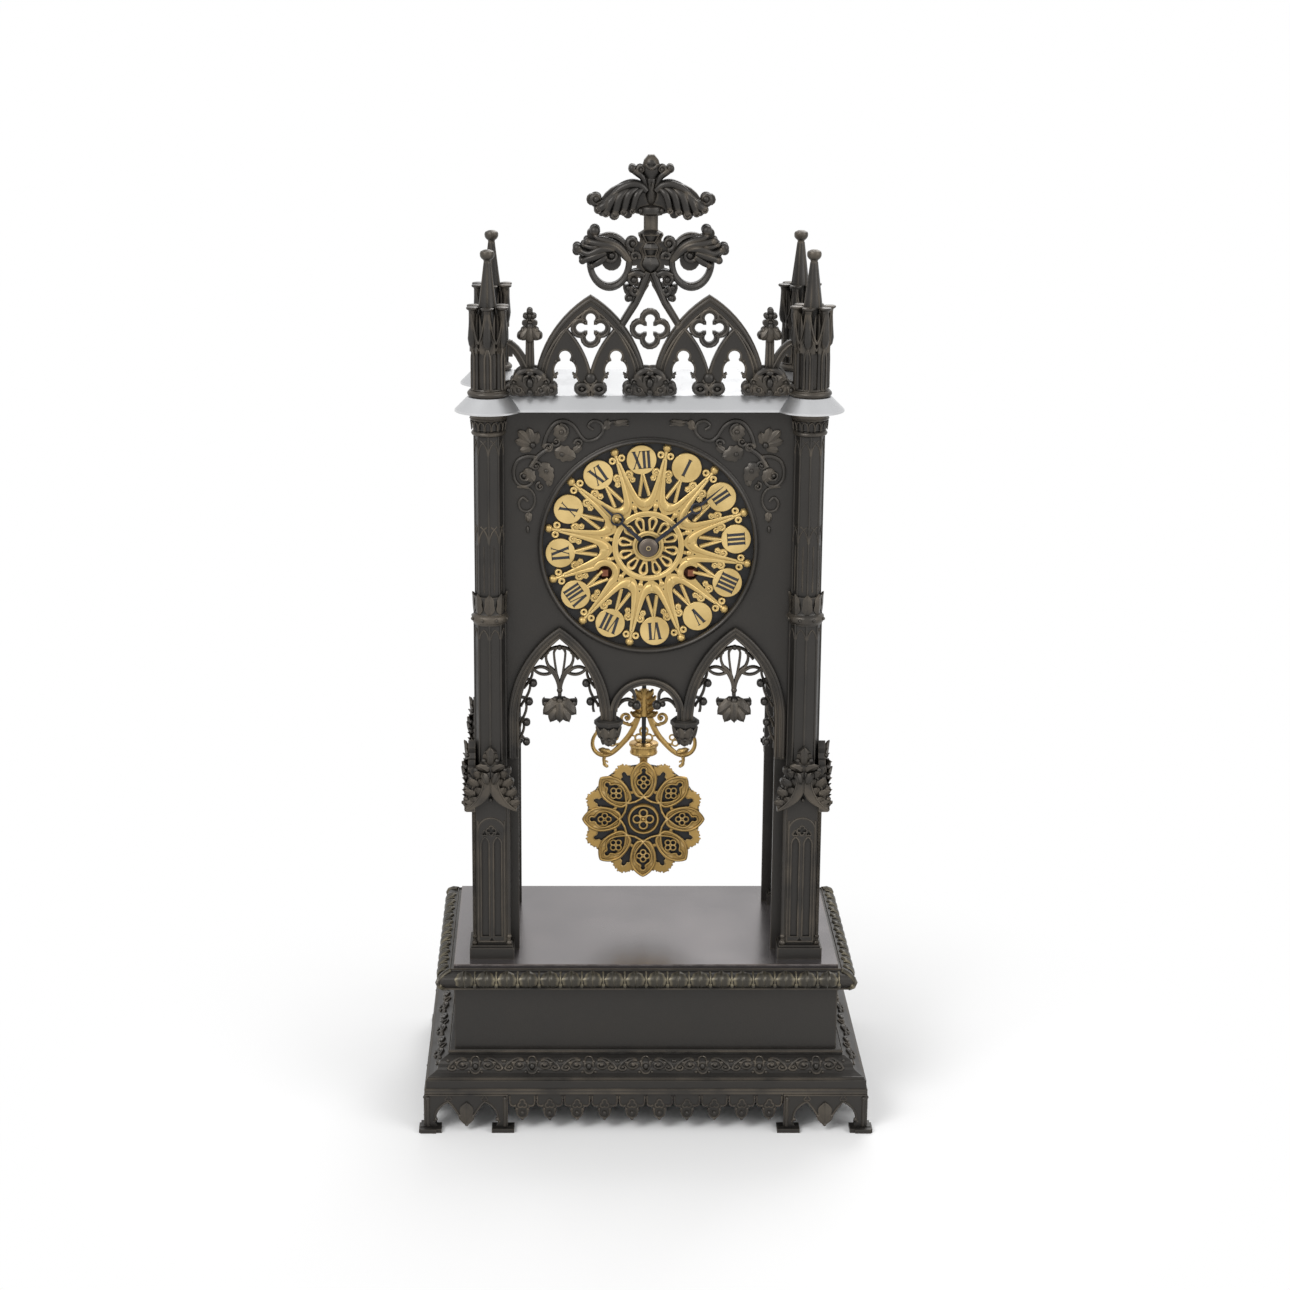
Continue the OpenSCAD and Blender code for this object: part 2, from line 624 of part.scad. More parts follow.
module arch_tracery() {
    color(dark) for (s = [-1, 1]) slab(panel_b, panel_b + tracery_t)
        offset(delta = 0.01) difference() {
            translate([s * arch_x, z_spring]) scale([s, 1]) difference() {
                arch_lace();
                translate([-60, -60]) square([60 - arch_half + 9.5, 63]);
            }
            translate([-18.4, 0]) square([36.8, 600]);
        }
    color(dark) slab(panel_b, panel_b + tracery_t) offset(delta = 0.01)
        translate([0, z_spring]) centre_lace();
}
module corbels() {
    w = corbel_w / 2;
    yc = (panel_f + panel_b) / 2;
    color(dark) for (s = [-1, 1]) translate([s * corbel_x, yc, z_spring]) rotate(22.5)
        rotate_extrude($fn = 8) polygon([[0, 0], [w * 0.86, 0], [w * 1.04, -0.8], [w * 1.06, -2.8],
            [w, -3.6], [w * 0.78, -5], [w * 0.9, -6.2], [w * 0.86, -7.6], [w * 0.6, -9.4],
            [w * 0.66, -11], [w * 0.52, -12.6], [w * 0.3, -14.2], [0, -14.8]]);
}
module spandrel() {
    // measured from the dial centre, left side
    stroke(bez([-70, 10], [-66, 22], [-70, 32], [-63, 40]), 1.2, 2.2);
    stroke(spiral(-62.6, 33.4, 6.8, 1.6, 95, -440), 2, 1.3);
    stroke(spiral(-64.4, 52.4, 6.6, 1.6, -80, 470), 2, 1.3);
    stroke(bez([-63, 40], [-58, 44], [-60, 50], [-54, 56]), 2.2, 2.2);
    stroke(spiral(-48.6, 58.2, 6.4, 1.5, 190, -330), 2, 1.3);
    stroke(spiral(-33.4, 61, 5.4, 1.5, 200, 700), 1.9, 1.2);
    stroke(bez([-54, 54], [-44, 46], [-38, 62], [-28, 57]), 2, 1.8);
    stroke(bez([-28, 57], [-22, 54], [-16, 60], [-10, 61]), 1.8, 0.9);
    stroke(spiral(-21, 60, 3.8, 1.2, 250, -160), 1.6, 1);
    stroke(spiral(-67, 19, 3.8, 1.2, -40, 360), 1.6, 1);
    for (p = [[-70, 62, 3], [-66, 65, 2.6], [-70.6, 57, 2.6], [-56.8, 64.6, 2.6], [-57, 30, 2.4],
        [-69.6, 43, 2.4], [-41, 53, 2.6], [-70.6, 27, 1.9], [-68.6, 9, 2], [-66.6, 4, 1.4],
        [-40, 65, 2.4], [-27, 65, 2.2], [-61.8, 59.8, 2.4], [-60.8, 46, 2.2], [-70.8, 36, 2]])
        disc(p[0], p[1], p[2]);
}
module spandrels() {
    color(dark) slab(panel_f - 1.8, panel_f) offset(delta = 0.01) both() intersection() {
        translate([0, z_dial]) spandrel();
        translate([-cx + upper_r + 0.9, 0]) square([200, z_deck - 0.6]);
    }
}
module bezel_ring() {
    color(bronze) translate([0, panel_f, z_dial]) rotate([90, 0, 0]) rotate_extrude($fn = 96)
        polygon([[opening_r, 0], [opening_r + 2.8, 0], [opening_r + 2.8, 1], [opening_r + 2, 2.2],
            [opening_r + 1.2, 2.5], [opening_r + 0.5, 2.1], [opening_r, 1.2]]);
}
module deck() {
    k = deck_bevel;
    h = deck_h;
    sx = cx + 2.2;
    sy = cy - 0.8;
    color([0.35, 0.36, 0.37]) difference() {
        union() {
            intersection() {
                slab(-200, 200) polygon([[-sx - k, z_deck], [sx + k, z_deck], [sx + k, z_deck + h * 0.1],
                    [sx, z_top], [-sx, z_top], [-sx - k, z_deck + h * 0.1]]);
                side_slab(-200, 200) polygon([[-sy - k, z_deck], [sy + k, z_deck],
                    [sy + k, z_deck + h * 0.1], [sy, z_top], [-sy, z_top], [-sy - k, z_deck + h * 0.1]]);
            }
            at_corners(cx, cy) translate([0, 0, z_deck]) {
                cylinder(r = lobe_r, h = h * 0.1 + 0.001);
                translate([0, 0, h * 0.1]) cylinder(r1 = lobe_r, r2 = lobe_r - k, h = h * 0.9);
            }
        }
        at_corners(cx, cy) translate([0, 0, z_deck - 1]) cylinder(r = rod_r + rod_play, h = h + 2);
        gallery_pins(rod_play);
    }
}

// Crown
module turret() {
    r = turret_r;
    top = turret_h;
    difference() {
        union() {
            rotate_extrude() polygon([[0, 0], [r + 0.3, 0], [r + 0.8, 0.7], [r + 0.8, 2.5],
                [r + 0.5, 3.4], [0, 3.4]]);
            translate([0, 0, 3]) cylinder(r = r - 0.9, h = 26.6, $fn = 6);
            for (i = [0:5]) rotate(i * 60) translate([r - 1.2, 0, 3]) cylinder(r = 1.15, h = 26);
            // gables and flared tips
            for (i = [0:5]) rotate(i * 60) {
                translate([r - 1.3, 0, 26.4]) cylinder(r = 1.8, h = 17.7);
                translate([r - 1.3, 0, 44]) cylinder(r1 = 1.8, r2 = 3.1, h = 1.6);
                rotate(30) slab(r - 2.1, r - 0.7) polygon([[-3.9, 23], [3.9, 23], [3.9, 43],
                    [3, 38], [1.5, 31], [0, 28.4], [-1.5, 31], [-3, 38], [-3.9, 43]]);
            }
            translate([0, 0, 29]) cylinder(r = r - 1.6, h = 3.4, $fn = 6);
            translate([0, 0, 32]) cylinder(r1 = r - 2.8, r2 = 1.6, h = top - 36.6);
            translate([0, 0, top - 5.2]) rotate_extrude() polygon(concat([[0, -1], [1, -1], [1, 0.2],
                [1.9, 0.8]], arc(1.3, 2.9, 2, -50, 90, 8), [[0, 5.2]]));
        }
        translate([0, 0, -1]) cylinder(r = rod_r, h = 16);
    }
}
module place_turret(i, j, a) {
    color(dark) translate([i * cx, j * cy, z_top]) rotate(a) turret();
}
module turret_front_left() { place_turret(-1, -1, 30); }
module turret_front_right() { place_turret(1, -1, 10); }
module turret_back_left() { place_turret(-1, 1, 30); }
module turret_back_right() { place_turret(1, 1, 10); }

gal_x = 30;
gal_half = 29;
function gothic(s, h, w) =
    let (R0 = (s * s + h * h) / (2 * s), r = R0 + w, c = s - R0, a = acos(-c / r))
    concat(arc(c, 0, r, 0, a, 14), arc(-c, 0, r, 180 - a, 180, 14));
module gothic_band(s, h, w) {
    difference() {
        polygon(gothic(s, h, 0));
        polygon(gothic(s - w, h - w * 1.32, 0));
        translate([-s, -1]) square([2 * s, 1.02]);
    }
}
module quatrefoil(r, w) {
    difference() {
        union() {
            for (a = [0:90:270]) rotate(a) translate([r * 0.56, 0]) circle(r * 0.46, $fn = 16);
            square(r * 0.9, center = true);
        }
        for (a = [0:90:270]) rotate(a) translate([r * 0.5, 0]) circle(r * 0.46 - w, $fn = 14);
        square([r * 1.1, (r * 0.46 - w) * 1.3], center = true);
        square([(r * 0.46 - w) * 1.3, r * 1.1], center = true);
    }
}
module boss(w, h) {
    scale([w / 26, h / 14]) {
        disc(0, 8.4, 5.6);
        both() {
            disc(-5, 7, 4.6);
            disc(-8, 3.8, 3.8);
            disc(-11, 2.4, 2.4);
        }
        translate([-9, 0]) square([18, 6]);
    }
}
// Half of one great arch with its lancet, measured from the arch centre at the deck
module great_arch() {
    difference() {
        union() {
            gothic_band(gal_half, gallery_h, 5.4);
            both() translate([gal_half / 2 - 1.6, 0]) polygon(gothic(14.6, 35.4, 0));
        }
        both() translate([gal_half / 2 - 1.6, 0]) {
            translate([0, 20]) circle(3.1, $fn = 24);
            translate([0, 13]) circle(5.6, $fn = 24);
            translate([0, 1]) polygon(concat(arc(0, 5, 7, -8, 188, 14), [[-7, -3], [7, -3]]));
            translate([-1.7, 12]) square([3.4, 8]);
            translate([-4.4, 6]) square([8.8, 7]);
        }
    }
    translate([0, 34.6]) rotate(45) rotate(-45) quatrefoil(9.9, 2.1);
}
module gallery_face() {
    both() translate([gal_x, 0]) great_arch();
    translate([0, 34]) quatrefoil(10, 2.1);
    both() {
        translate([60.8, 0]) {
            polygon([[-2.8, 0], [2.8, 0], [2, 30], [1.3, 31], [1.4, 38], [-1.4, 38], [-1.3, 31], [-2, 30]]);
            both() disc(3.2, 31, 2.8);
            disc(0, 38.6, 2);
            both() disc(2.5, 37, 1.5);
            disc(0, 42, 1.7);
            boss(27, 13.6);
        }
        // half arch that dies against the turret
        stroke(bez([59, 3], [62, 14], [66, 24], [cx - turret_r - 0.6, 26.6]), 5, 4.4);
        translate([gal_x, 0]) {
            both() disc(-4, 3.6, 3.7);
            disc(0, 7.6, 3);
        }
        translate([cx - turret_r - 3.4, 20]) square([2.9, 8]);
    }
    boss(26, 13.6);
}
gal_y = -cy + 2.6;
module gallery() {
    color(dark) {
        difference() {
            slab(gal_y - gallery_t / 2, gal_y + gallery_t / 2) offset(delta = 0.01)
                translate([0, z_top - 0.01]) intersection() {
                    gallery_face();
                    translate([-cx + turret_r + 0.9, 0.03]) square([2 * (cx - turret_r - 0.9), 80]);
                }
        }
        gallery_pins(0);
    }
}
module gallery_pins(play) {
    for (x = [-60.8, -gal_x, 0, gal_x, 60.8]) translate([x, gal_y, z_top - 4])
        cylinder(r = 1.2 + play, h = 4.6 + play);
}
// Cross above the gallery, measured from the deck
module cross_face() {
    t = cross_h;
    both() {
        stroke([[0.8, t - 60], [7.4, t - 74], [14.8, gallery_h - 16.2]], 3.6, 3);
        stroke([[2, t - 64], [13.6, gallery_h - 13.2]], 3);
        // volutes on the legs
        stroke(bez([3.4, t - 60], [6.4, t - 58], [11, t - 58.6], [11.2, t - 63]), 4, 3.4);
        stroke(spiral(7.6, t - 66.2, 5, 1.6, 20, -300), 2.8, 1.8);
        disc(11.2, t - 71.4, 1.8);
        disc(9.4, t - 68, 2.6);
        // ring
        translate([20.6, t - 53]) scale([1, 1.28]) difference() {
            circle(11.4, $fn = 40);
            circle(8.4, $fn = 40);
        }
        // spray of leaf through the ring
        stroke(bez([11, t - 47], [18, t - 46], [24, t - 40], [31, t - 42]), 4, 5);
        disc(19.6, t - 52.4, 5);
        disc(24.6, t - 48.6, 4.4);
        disc(28.6, t - 45.4, 4);
        disc(33, t - 47.6, 3.4);
        disc(37, t - 47.4, 2.3);
        disc(29.6, t - 38.8, 2.4);
        disc(31.4, t - 50.6, 2.6);
        // boss lobes
        disc(8, t - 46, 3.6);
        disc(8.4, t - 52, 3);
        // drooping leaves
        polygon(concat(bez([2, t - 17], [8, t - 11.6], [20, t - 13], [25, t - 22]),
            bez([25, t - 22], [27, t - 24.4], [28.4, t - 22], [29, t - 19.6]),
            arc(29.4, t - 22, 2.9, 100, -100, 6), [[26.6, t - 27.6]],
            arc(24.4, t - 28, 2.2, 0, -150, 5), [[21.4, t - 28.6]],
            arc(18.4, t - 29.6, 2.6, 0, -180, 6), [[14.4, t - 29.4]],
            arc(11.6, t - 29, 2.4, 0, -180, 5), [[8, t - 28.6], [5, t - 29.4], [2, t - 29.6]]));
        // bud cup
        stroke(bez([1.6, t - 14], [3.4, t - 10.6], [6.4, t - 10], [9.2, t - 7.6]), 3.4, 2.6);
        disc(9.4, t - 6.8, 2.1);
        disc(5.6, t - 7.2, 2);
    }
    polygon([[-3.9, t - 60.8], [-4.6, t - 57], [-7, t - 56], [-6.4, t - 50], [-5.6, t - 44],
        [-5, t - 39], [-3.5, t - 38.6], [-3.5, t - 30], [-5.6, t - 29.6], [-5.6, t - 26.6],
        [-2.6, t - 25], [-3.6, t - 15], [-3.4, t - 10], [-4.6, t - 6], [-3.6, t - 2.6], [-1.4, t],
        [1.4, t], [3.6, t - 2.6], [4.6, t - 6], [3.4, t - 10], [3.6, t - 15], [2.6, t - 25],
        [5.6, t - 26.6], [5.6, t - 29.6], [3.5, t - 30], [3.5, t - 38.6], [5, t - 39], [5.6, t - 44],
        [6.4, t - 50], [7, t - 56], [4.6, t - 57], [3.9, t - 60.8]]);
}
module finial_cross() {
    // the feet of the legs are halved over the great arches
    color(dark) difference() {
        slab(gal_y - cross_t / 2, gal_y + cross_t / 2) offset(delta = 0.01)
            translate([0, z_top]) cross_face();
        slab(gal_y - gallery_t / 2, gal_y + gallery_t / 2) offset(delta = 0.02) translate([0, z_top])
            both() translate([gal_x, 0]) polygon(gothic(gal_half, gallery_h, 0));
        slab(gal_y - gallery_t / 2, gal_y + gallery_t / 2) translate([0, z_top + 34])
            circle(10.4, $fn = 24);
    }
}

// Dial
module dial_plate() {
    color([0.07, 0.07, 0.07]) difference() {
        union() {
            ybar(0, z_dial, opening_r + 5.5, dial_f, dial_b);
            for (a = [30, 150, 270]) ybar(44 * cos(a), z_dial + 44 * sin(a), 1.6, dial_b - 0.1, mp_f);
        }
        ybar(0, z_dial, 3.2, dial_f - 1, dial_b + 1);
        for (s = [-1, 1]) ybar(s * wind_x, z_dial + wind_z, 3.9, dial_f - 1, dial_b + 1);
    }
}
px = 0.5155;
star_out = [[0, 48.4], [4, 49.5], [8, 53.5], [10.5, 60], [12, 68], [13, 78], [13.7, 88], [14.1, 98]];
star_in = [[0, 36.2], [5, 37], [9, 39.6], [12, 43.6], [15, 49]];
function ray_pts(list, turn, side) = [for (p = list) let (a = turn + side * p[0])
    [p[1] * px * sin(a), p[1] * px * cos(a)]];
function back_pts(list, turn, side) = [for (i = [len(list) - 1:-1:0]) let (a = turn + side * list[i][0])
    [list[i][1] * px * sin(a), list[i][1] * px * cos(a)]];
module petal_loop() {
    difference() {
        polygon(concat(arc(0, 13.3, 2.6, -24, 204, 6), arc(0, 8.2, 1.2, 220, 320, 1)));
        polygon(concat(arc(0, 13.2, 1.2, -24, 204, 4), arc(0, 9.8, 0.45, 220, 320, 1)));
    }
}
// Curls beside a ray, and the open ring under its ball
module c_scroll(s) {
    scale([s, 1]) difference() {
        union() {
            translate([3.2, 39]) circle(2.25, $fn = 8);
            translate([4, 35.8]) circle(1.65, $fn = 6);
            translate([2.45, 48.4]) circle(2, $fn = 8);
        }
        translate([2.6, 48.3]) circle(0.8, $fn = 4);
    }
}
module dial_lace() {
    ring2(0, 0, 8, 2);
    difference() {
        circle(18.6, $fn = 48);
        circle(15.8, $fn = 48);
    }
    for (i = [0:11]) rotate(i * 30 + 15) petal_loop();
    difference() {
        polygon([for (i = [0:11]) each concat(back_pts(star_out, i * 30, -1), ray_pts(star_out, i * 30, 1))]);
        polygon([for (i = [0:11]) each concat(back_pts(star_in, i * 30, -1), ray_pts(star_in, i * 30, 1))]);
    }
    for (i = [0:11]) {
        rotate(-i * 30) {
            translate([0, disc_pitch_r]) circle(disc_r, $fn = 20);
            stroke([[0, disc_pitch_r - disc_r + 0.6], [2.6, 26.6]], 1.6, 1.8);
            stroke([[0, disc_pitch_r - disc_r + 0.6], [-2.6, 26.6]], 1.6, 1.8);
        }
        rotate(-i * 30 - 15) {
            translate([0, 52.3]) circle(2.05, $fn = 9);
            stroke([[0, 46], [0, 52]], 1.4, 1.2);
            c_scroll(1);
            c_scroll(-1);
            translate([0, 21.6]) circle(1.6, $fn = 8);
            stroke([[0, 18], [0, 24]], 1.6, 1.6);
        }
        rotate(-i * 30) stroke([[0, 17.6], [0, 20]], 3, 3);
    }
}
module gilt_dial() {
    color(gold) slab(dial_f - gilt_t, dial_f) translate([0, z_dial]) offset(delta = 0.01) difference() {
        union() {
            rotate(dial_turn) dial_lace();
            // the star bends round the winding holes
            for (s = [-1, 1]) translate([s * wind_x, wind_z]) rotate(atan2(wind_z, s * wind_x)) difference() {
                circle(6.2, $fn = 32);
                translate([1, -8]) square(16);
            }
        }
        for (s = [-1, 1]) translate([s * wind_x, wind_z]) circle(3.9, $fn = 24);
        circle(5.6, $fn = 24);
    }
}
hand_y = dial_f - gilt_t - 1;
module moon_hand(len, ring_at, ring, w) {
    circle(3.6, $fn = 32);
    polygon([[-w, 2], [w, 2], [w * 0.62, ring_at - ring + 0.4], [-w * 0.62, ring_at - ring + 0.4]]);
    ring2(0, ring_at, ring, 0.7);
    polygon([[-w * 0.9, ring_at + ring - 0.5], [w * 0.9, ring_at + ring - 0.5], [0.15, len], [-0.15, len]]);
}
module hour_hand() {
    color(blue) slab(hand_y - 0.8, hand_y) translate([0, z_dial]) difference() {
        rotate(48) moon_hand(hour_len, 21.6, 3.45, 0.9);
        circle(2.4, $fn = 32);
    }
}
module minute_hand() {
    color(blue) slab(hand_y - 2.6, hand_y - 1.8) translate([0, z_dial]) difference() {
        rotate(-50) moon_hand(minute_len, 31.9, 3, 0.8);
        circle(1.15, $fn = 32);
    }
}
module hand_cap() {
    color([0.3, 0.24, 0.18]) translate([0, hand_y - 2.6, z_dial]) rotate([90, 0, 0]) rotate_extrude()
        polygon(concat([[1.15, 0], [4.5, 0], [4.5, 0.9]], [[3.6, 1.7], [1.6, 1.9], [1.15, 1.9]]));
}

// Movement
function tooth(n, m, i, part) =
    let (r = m * n / 2, a = 360 / n, w = a * part / 2, c = i * a, lo = r - 0.9 * m, hi = r + 0.72 * m)
    [[lo, c - w * 1.35], [hi, c - w * 0.4], [hi, c + w * 0.4], [lo, c + w * 1.35]];
module gear(n, m, turn = 0) {
    polygon([for (i = [0:n - 1]) each [for (p = tooth(n, m, i, tooth_part))
        [p[0] * cos(p[1] + turn), p[0] * sin(p[1] + turn)]]]);
}
// A pierced wheel with four arms
module wheel(n, m, turn = 0) {
    r = m * n / 2;
    difference() {
        gear(n, m, turn);
        if (r > 8) for (a = [0:90:270]) rotate(a + 45) difference() {
            intersection() {
                circle(r - 2.4, $fn = 48);
                rotate(45) translate([0.8, 0.8]) mirror([1, 0]) rotate(90) square(r);
            }
            circle(r * 0.3, $fn = 32);
        }
    }
}
module at_axis(x, z) {
    translate([x, 0, z_dial + z]) children();
}
module arbor(x, z, r, y0, y1) {
    // runs between the plates on thinner pivots
    ybar(x, z_dial + z, r, y0, y1);
    ybar(x, z_dial + z, pivot_r, mp_fi - mplate_t + 0.2, mp_b - 0.2);
}
axes = [[second_x, second_z], [third_x, third_z], [0, escape_z], [pinw_x, pinw_z]];
module movement_disc(y0, y1) {
    ybar(0, z_dial, mplate_r, y0, y1);
}
module pivot_holes(y0, y1) {
    for (p = axes) ybar(p[0], z_dial + p[1], pivot_r + pivot_play, y0, y1);
    for (s = [-1, 1]) ybar(s * wind_x, z_dial + wind_z, 2.2 + pivot_play, y0, y1);
    ybar(0, z_dial, 1.7 + pivot_play, y0, y1);
    ybar(0, z_dial + anchor_z, pivot_r + pivot_play, y0, y1);
    for (p = pillar_at) ybar(p[0], z_dial + p[1], 1.3, y0, y1);
}
pillar_at = [for (a = [55, 125, 250, 290]) [43 * cos(a), 43 * sin(a)]];
module front_plate() {
    color(brass) difference() {
        union() {
            movement_disc(mp_f, mp_fi);
            ybar(0, z_dial - minute_d, 0.9, mp_f - 5.4, mp_f + 0.1);
        }
        pivot_holes(mp_f - 1, mp_fi + 1);
    }
}
module back_plate() {
    color(brass) difference() {
        union() {
            movement_disc(mp_bi, mp_b);
            ybar(-wind_x, z_dial + wind_z, 1.6, mp_b - 0.1, mp_b + 1.2);
            ybar(-wind_x, z_dial + wind_z, 0.9, mp_b, mp_b + 3.8);
            ybar(-30, z_dial + 20, 1.2, mp_b - 0.1, mp_b + 15);
            ybar(12, z_dial - 12, 2.2, mp_b - 0.1, bell_y + bell_deep);
        }
        for (p = axes) ybar(p[0], z_dial + p[1], pivot_r + pivot_play, mp_bi - 1, mp_b + 1);
        ybar(wind_x, z_dial + wind_z, 2.2 + pivot_play, mp_bi - 1, mp_b + 1);
        ybar(-wind_x, z_dial + wind_z, 2.2 + pivot_play, mp_bi - 1, mp_b - 0.8);
        ybar(0, z_dial, pivot_r + pivot_play, mp_bi - 1, mp_b + 1);
        ybar(0, z_dial + anchor_z, pivot_r + pivot_play, mp_bi - 1, mp_b + 1);
        for (p = pillar_at) ybar(p[0], z_dial + p[1], 1.3, mp_bi - 1, mp_b + 1);
    }
}
module pillars() {
    color(brass) for (p = pillar_at) {
        ybar(p[0], z_dial + p[1], 2.4, mp_fi, mp_bi);
        ybar(p[0], z_dial + p[1], 1.3, mp_f - 1.4, mp_b + 1.4);
    }
}
great_y = mp_fi + 0.8;
module barrel(x, turn) {
    difference() {
        union() {
            slab(great_y, great_y + 1.6) translate([x, z_dial + wind_z]) gear(great_n, train_m, turn);
            ybar(x, z_dial + wind_z, barrel_r, great_y + 1.6, great_y + 18);
            ybar(x, z_dial + wind_z, barrel_r + 0.6, great_y + 1.5, great_y + 2.6);
            ybar(x, z_dial + wind_z, 4, great_y + 17.9, great_y + 20);
        }
        ybar(x, z_dial + wind_z, 2.2 + pivot_play, great_y - 1, great_y + 30);
        difference() {
            ybar(x, z_dial + wind_z, barrel_r - 1.2, great_y + 3, great_y + 16.4);
            ybar(x, z_dial + wind_z, 4.4, great_y + 2, great_y + 17);
        }
    }
}
dir_gs = atan2(second_z - wind_z, second_x - wind_x);
module going_barrel() {
    color(brass) barrel(wind_x, dir_gs);
}
module strike_barrel() {
    color(brass) barrel(-wind_x, pinw_a);
}
module winder(x) {
    difference() {
        union() {
            ybar(x, z_dial + wind_z, 2.2, mp_f - 4.2, mp_b - 1);
            translate([x - 1.6, panel_f + 0.4, z_dial + wind_z - 1.6]) cube([3.2, mp_f - 4 - panel_f, 3.2]);
            // ratchet on the front plate
            slab(mp_f - 2.4, mp_f - 0.4) translate([x, z_dial + wind_z]) polygon([for (i = [0:19])
                each [[7 * cos(i * 18), 7 * sin(i * 18)], [5.8 * cos(i * 18 + 2), 5.8 * sin(i * 18 + 2)]]]);
        }
    }
}
module going_winder() {
    color(steel) winder(wind_x);
}
module strike_winder() {
    color(steel) winder(-wind_x);
}
module clicks() {
    color(steel) for (s = [-1, 1]) {
        slab(mp_f - 2.4, mp_f - 0.4) translate([s * wind_x, z_dial + wind_z]) scale([s, 1])
            polygon([[11, 6], [13.4, 4.4], [12.6, 0.6], [8.6, -1.4], [7.4, -0.6], [10, 2.4]]);
        ybar(s * (wind_x + 11.7), z_dial + wind_z + 4, 2.6, mp_f - 2.8, mp_f);
    }
}
module second_wheel() {
    color(brass) {
        arbor(second_x, second_z, 1.1, mp_fi + 0.3, mp_bi - 0.3);
        slab(mp_fi + 0.4, mp_fi + 2.8) translate([second_x, z_dial + second_z])
            gear(pin_n, train_m, dir_gs + 180 + 15);
        slab(mp_bi - 9.6, mp_bi - 8.2) translate([second_x, z_dial + second_z])
            wheel(second_n, train_m, atan2(second_z, second_x) + 180);
    }
}
module centre_arbor() {
    color(brass) {
        ybar(0, z_dial, 1.7, mp_f - 8, mp_fi + 0.1);
        ybar(0, z_dial, 1.15, hand_y - 4.6, mp_bi - 0.3);
        ybar(0, z_dial, pivot_r, mp_bi - 1, mp_b - 0.2);
        slab(mp_bi - 10.2, mp_bi - 7.6) translate([0, z_dial])
            gear(pin_n, train_m, atan2(second_z, second_x) + 15);
        slab(mp_bi - 6, mp_bi - 4.6) translate([0, z_dial]) wheel(60, 0.5, third_a);
        // cannon pinion
        slab(mp_f - 2.2, mp_f - 0.6) translate([0, z_dial]) gear(12, minute_m, -90);
    }
}
module minute_wheel() {
    color(brass) difference() {
        union() {
            slab(mp_f - 1.9, mp_f - 0.7) translate([0, z_dial - minute_d]) wheel(36, minute_m, 90 + 5);
            slab(mp_f - 4.9, mp_f - 1.8) translate([0, z_dial - minute_d]) gear(10, hour_m, 90);
        }
        ybar(0, z_dial - minute_d, 0.9 + pivot_play, mp_f - 9, mp_f);
    }
}
module hour_wheel() {
    color(brass) difference() {
        union() {
            slab(mp_f - 4.2, mp_f - 3) translate([0, z_dial]) wheel(40, hour_m, -90 + 4.5);
            ybar(0, z_dial, 2.4, hand_y - 1.1, mp_f - 3);
            ybar(0, z_dial, 3, hand_y + 0.02, mp_f - 3);
        }
        ybar(0, z_dial, 1.7 + pivot_play, hand_y - 9, mp_f);
    }
}
module third_wheel() {
    color(brass) {
        arbor(third_x, third_z, 1, mp_fi + 0.3, mp_bi - 0.3);
        slab(mp_bi - 6.5, mp_bi - 4.1) translate([third_x, z_dial + third_z])
            gear(8, 0.5, third_a + 180 + 22.5);
        slab(mp_bi - 17, mp_bi - 15.8) translate([third_x, z_dial + third_z])
            wheel(48, 0.45, dir_te);
    }
}
dir_te = atan2(escape_z - third_z, -third_x);
module escape_wheel() {
    color(brass) {
        arbor(0, escape_z, 0.9, mp_fi + 0.3, mp_bi - 0.3);
        slab(mp_bi - 17.5, mp_bi - 15.3) translate([0, z_dial + escape_z])
            gear(8, 0.45, dir_te + 180 + 22.5);
        slab(mp_bi - 23.6, mp_bi - 22.4) translate([0, z_dial + escape_z]) difference() {
            polygon([for (i = [0:27]) each [[7.4 * cos(i * 360 / 28), 7.4 * sin(i * 360 / 28)],
                [5.6 * cos(i * 360 / 28 + 3), 5.6 * sin(i * 360 / 28 + 3)],
                [5.6 * cos(i * 360 / 28 + 9), 5.6 * sin(i * 360 / 28 + 9)]]]);
            for (a = [0:90:270]) rotate(a) translate([3.3, 0]) circle(1.3, $fn = 24);
        }
    }
}
module pin_wheel() {
    color(brass) {
        arbor(pinw_x, pinw_z, 1, mp_fi + 0.3, mp_bi - 0.3);
        slab(mp_fi + 0.4, mp_fi + 2.8) translate([pinw_x, z_dial + pinw_z])
            gear(pin_n, train_m, pinw_a + 180 + 15);
        slab(mp_bi - 9.6, mp_bi - 8.2) translate([pinw_x, z_dial + pinw_z]) wheel(40, 0.5);
        for (i = [0:9]) ybar(pinw_x + 7.6 * cos(i * 36), z_dial + pinw_z + 7.6 * sin(i * 36), 0.45,
            mp_bi - 8.3, mp_bi - 6);
    }
}
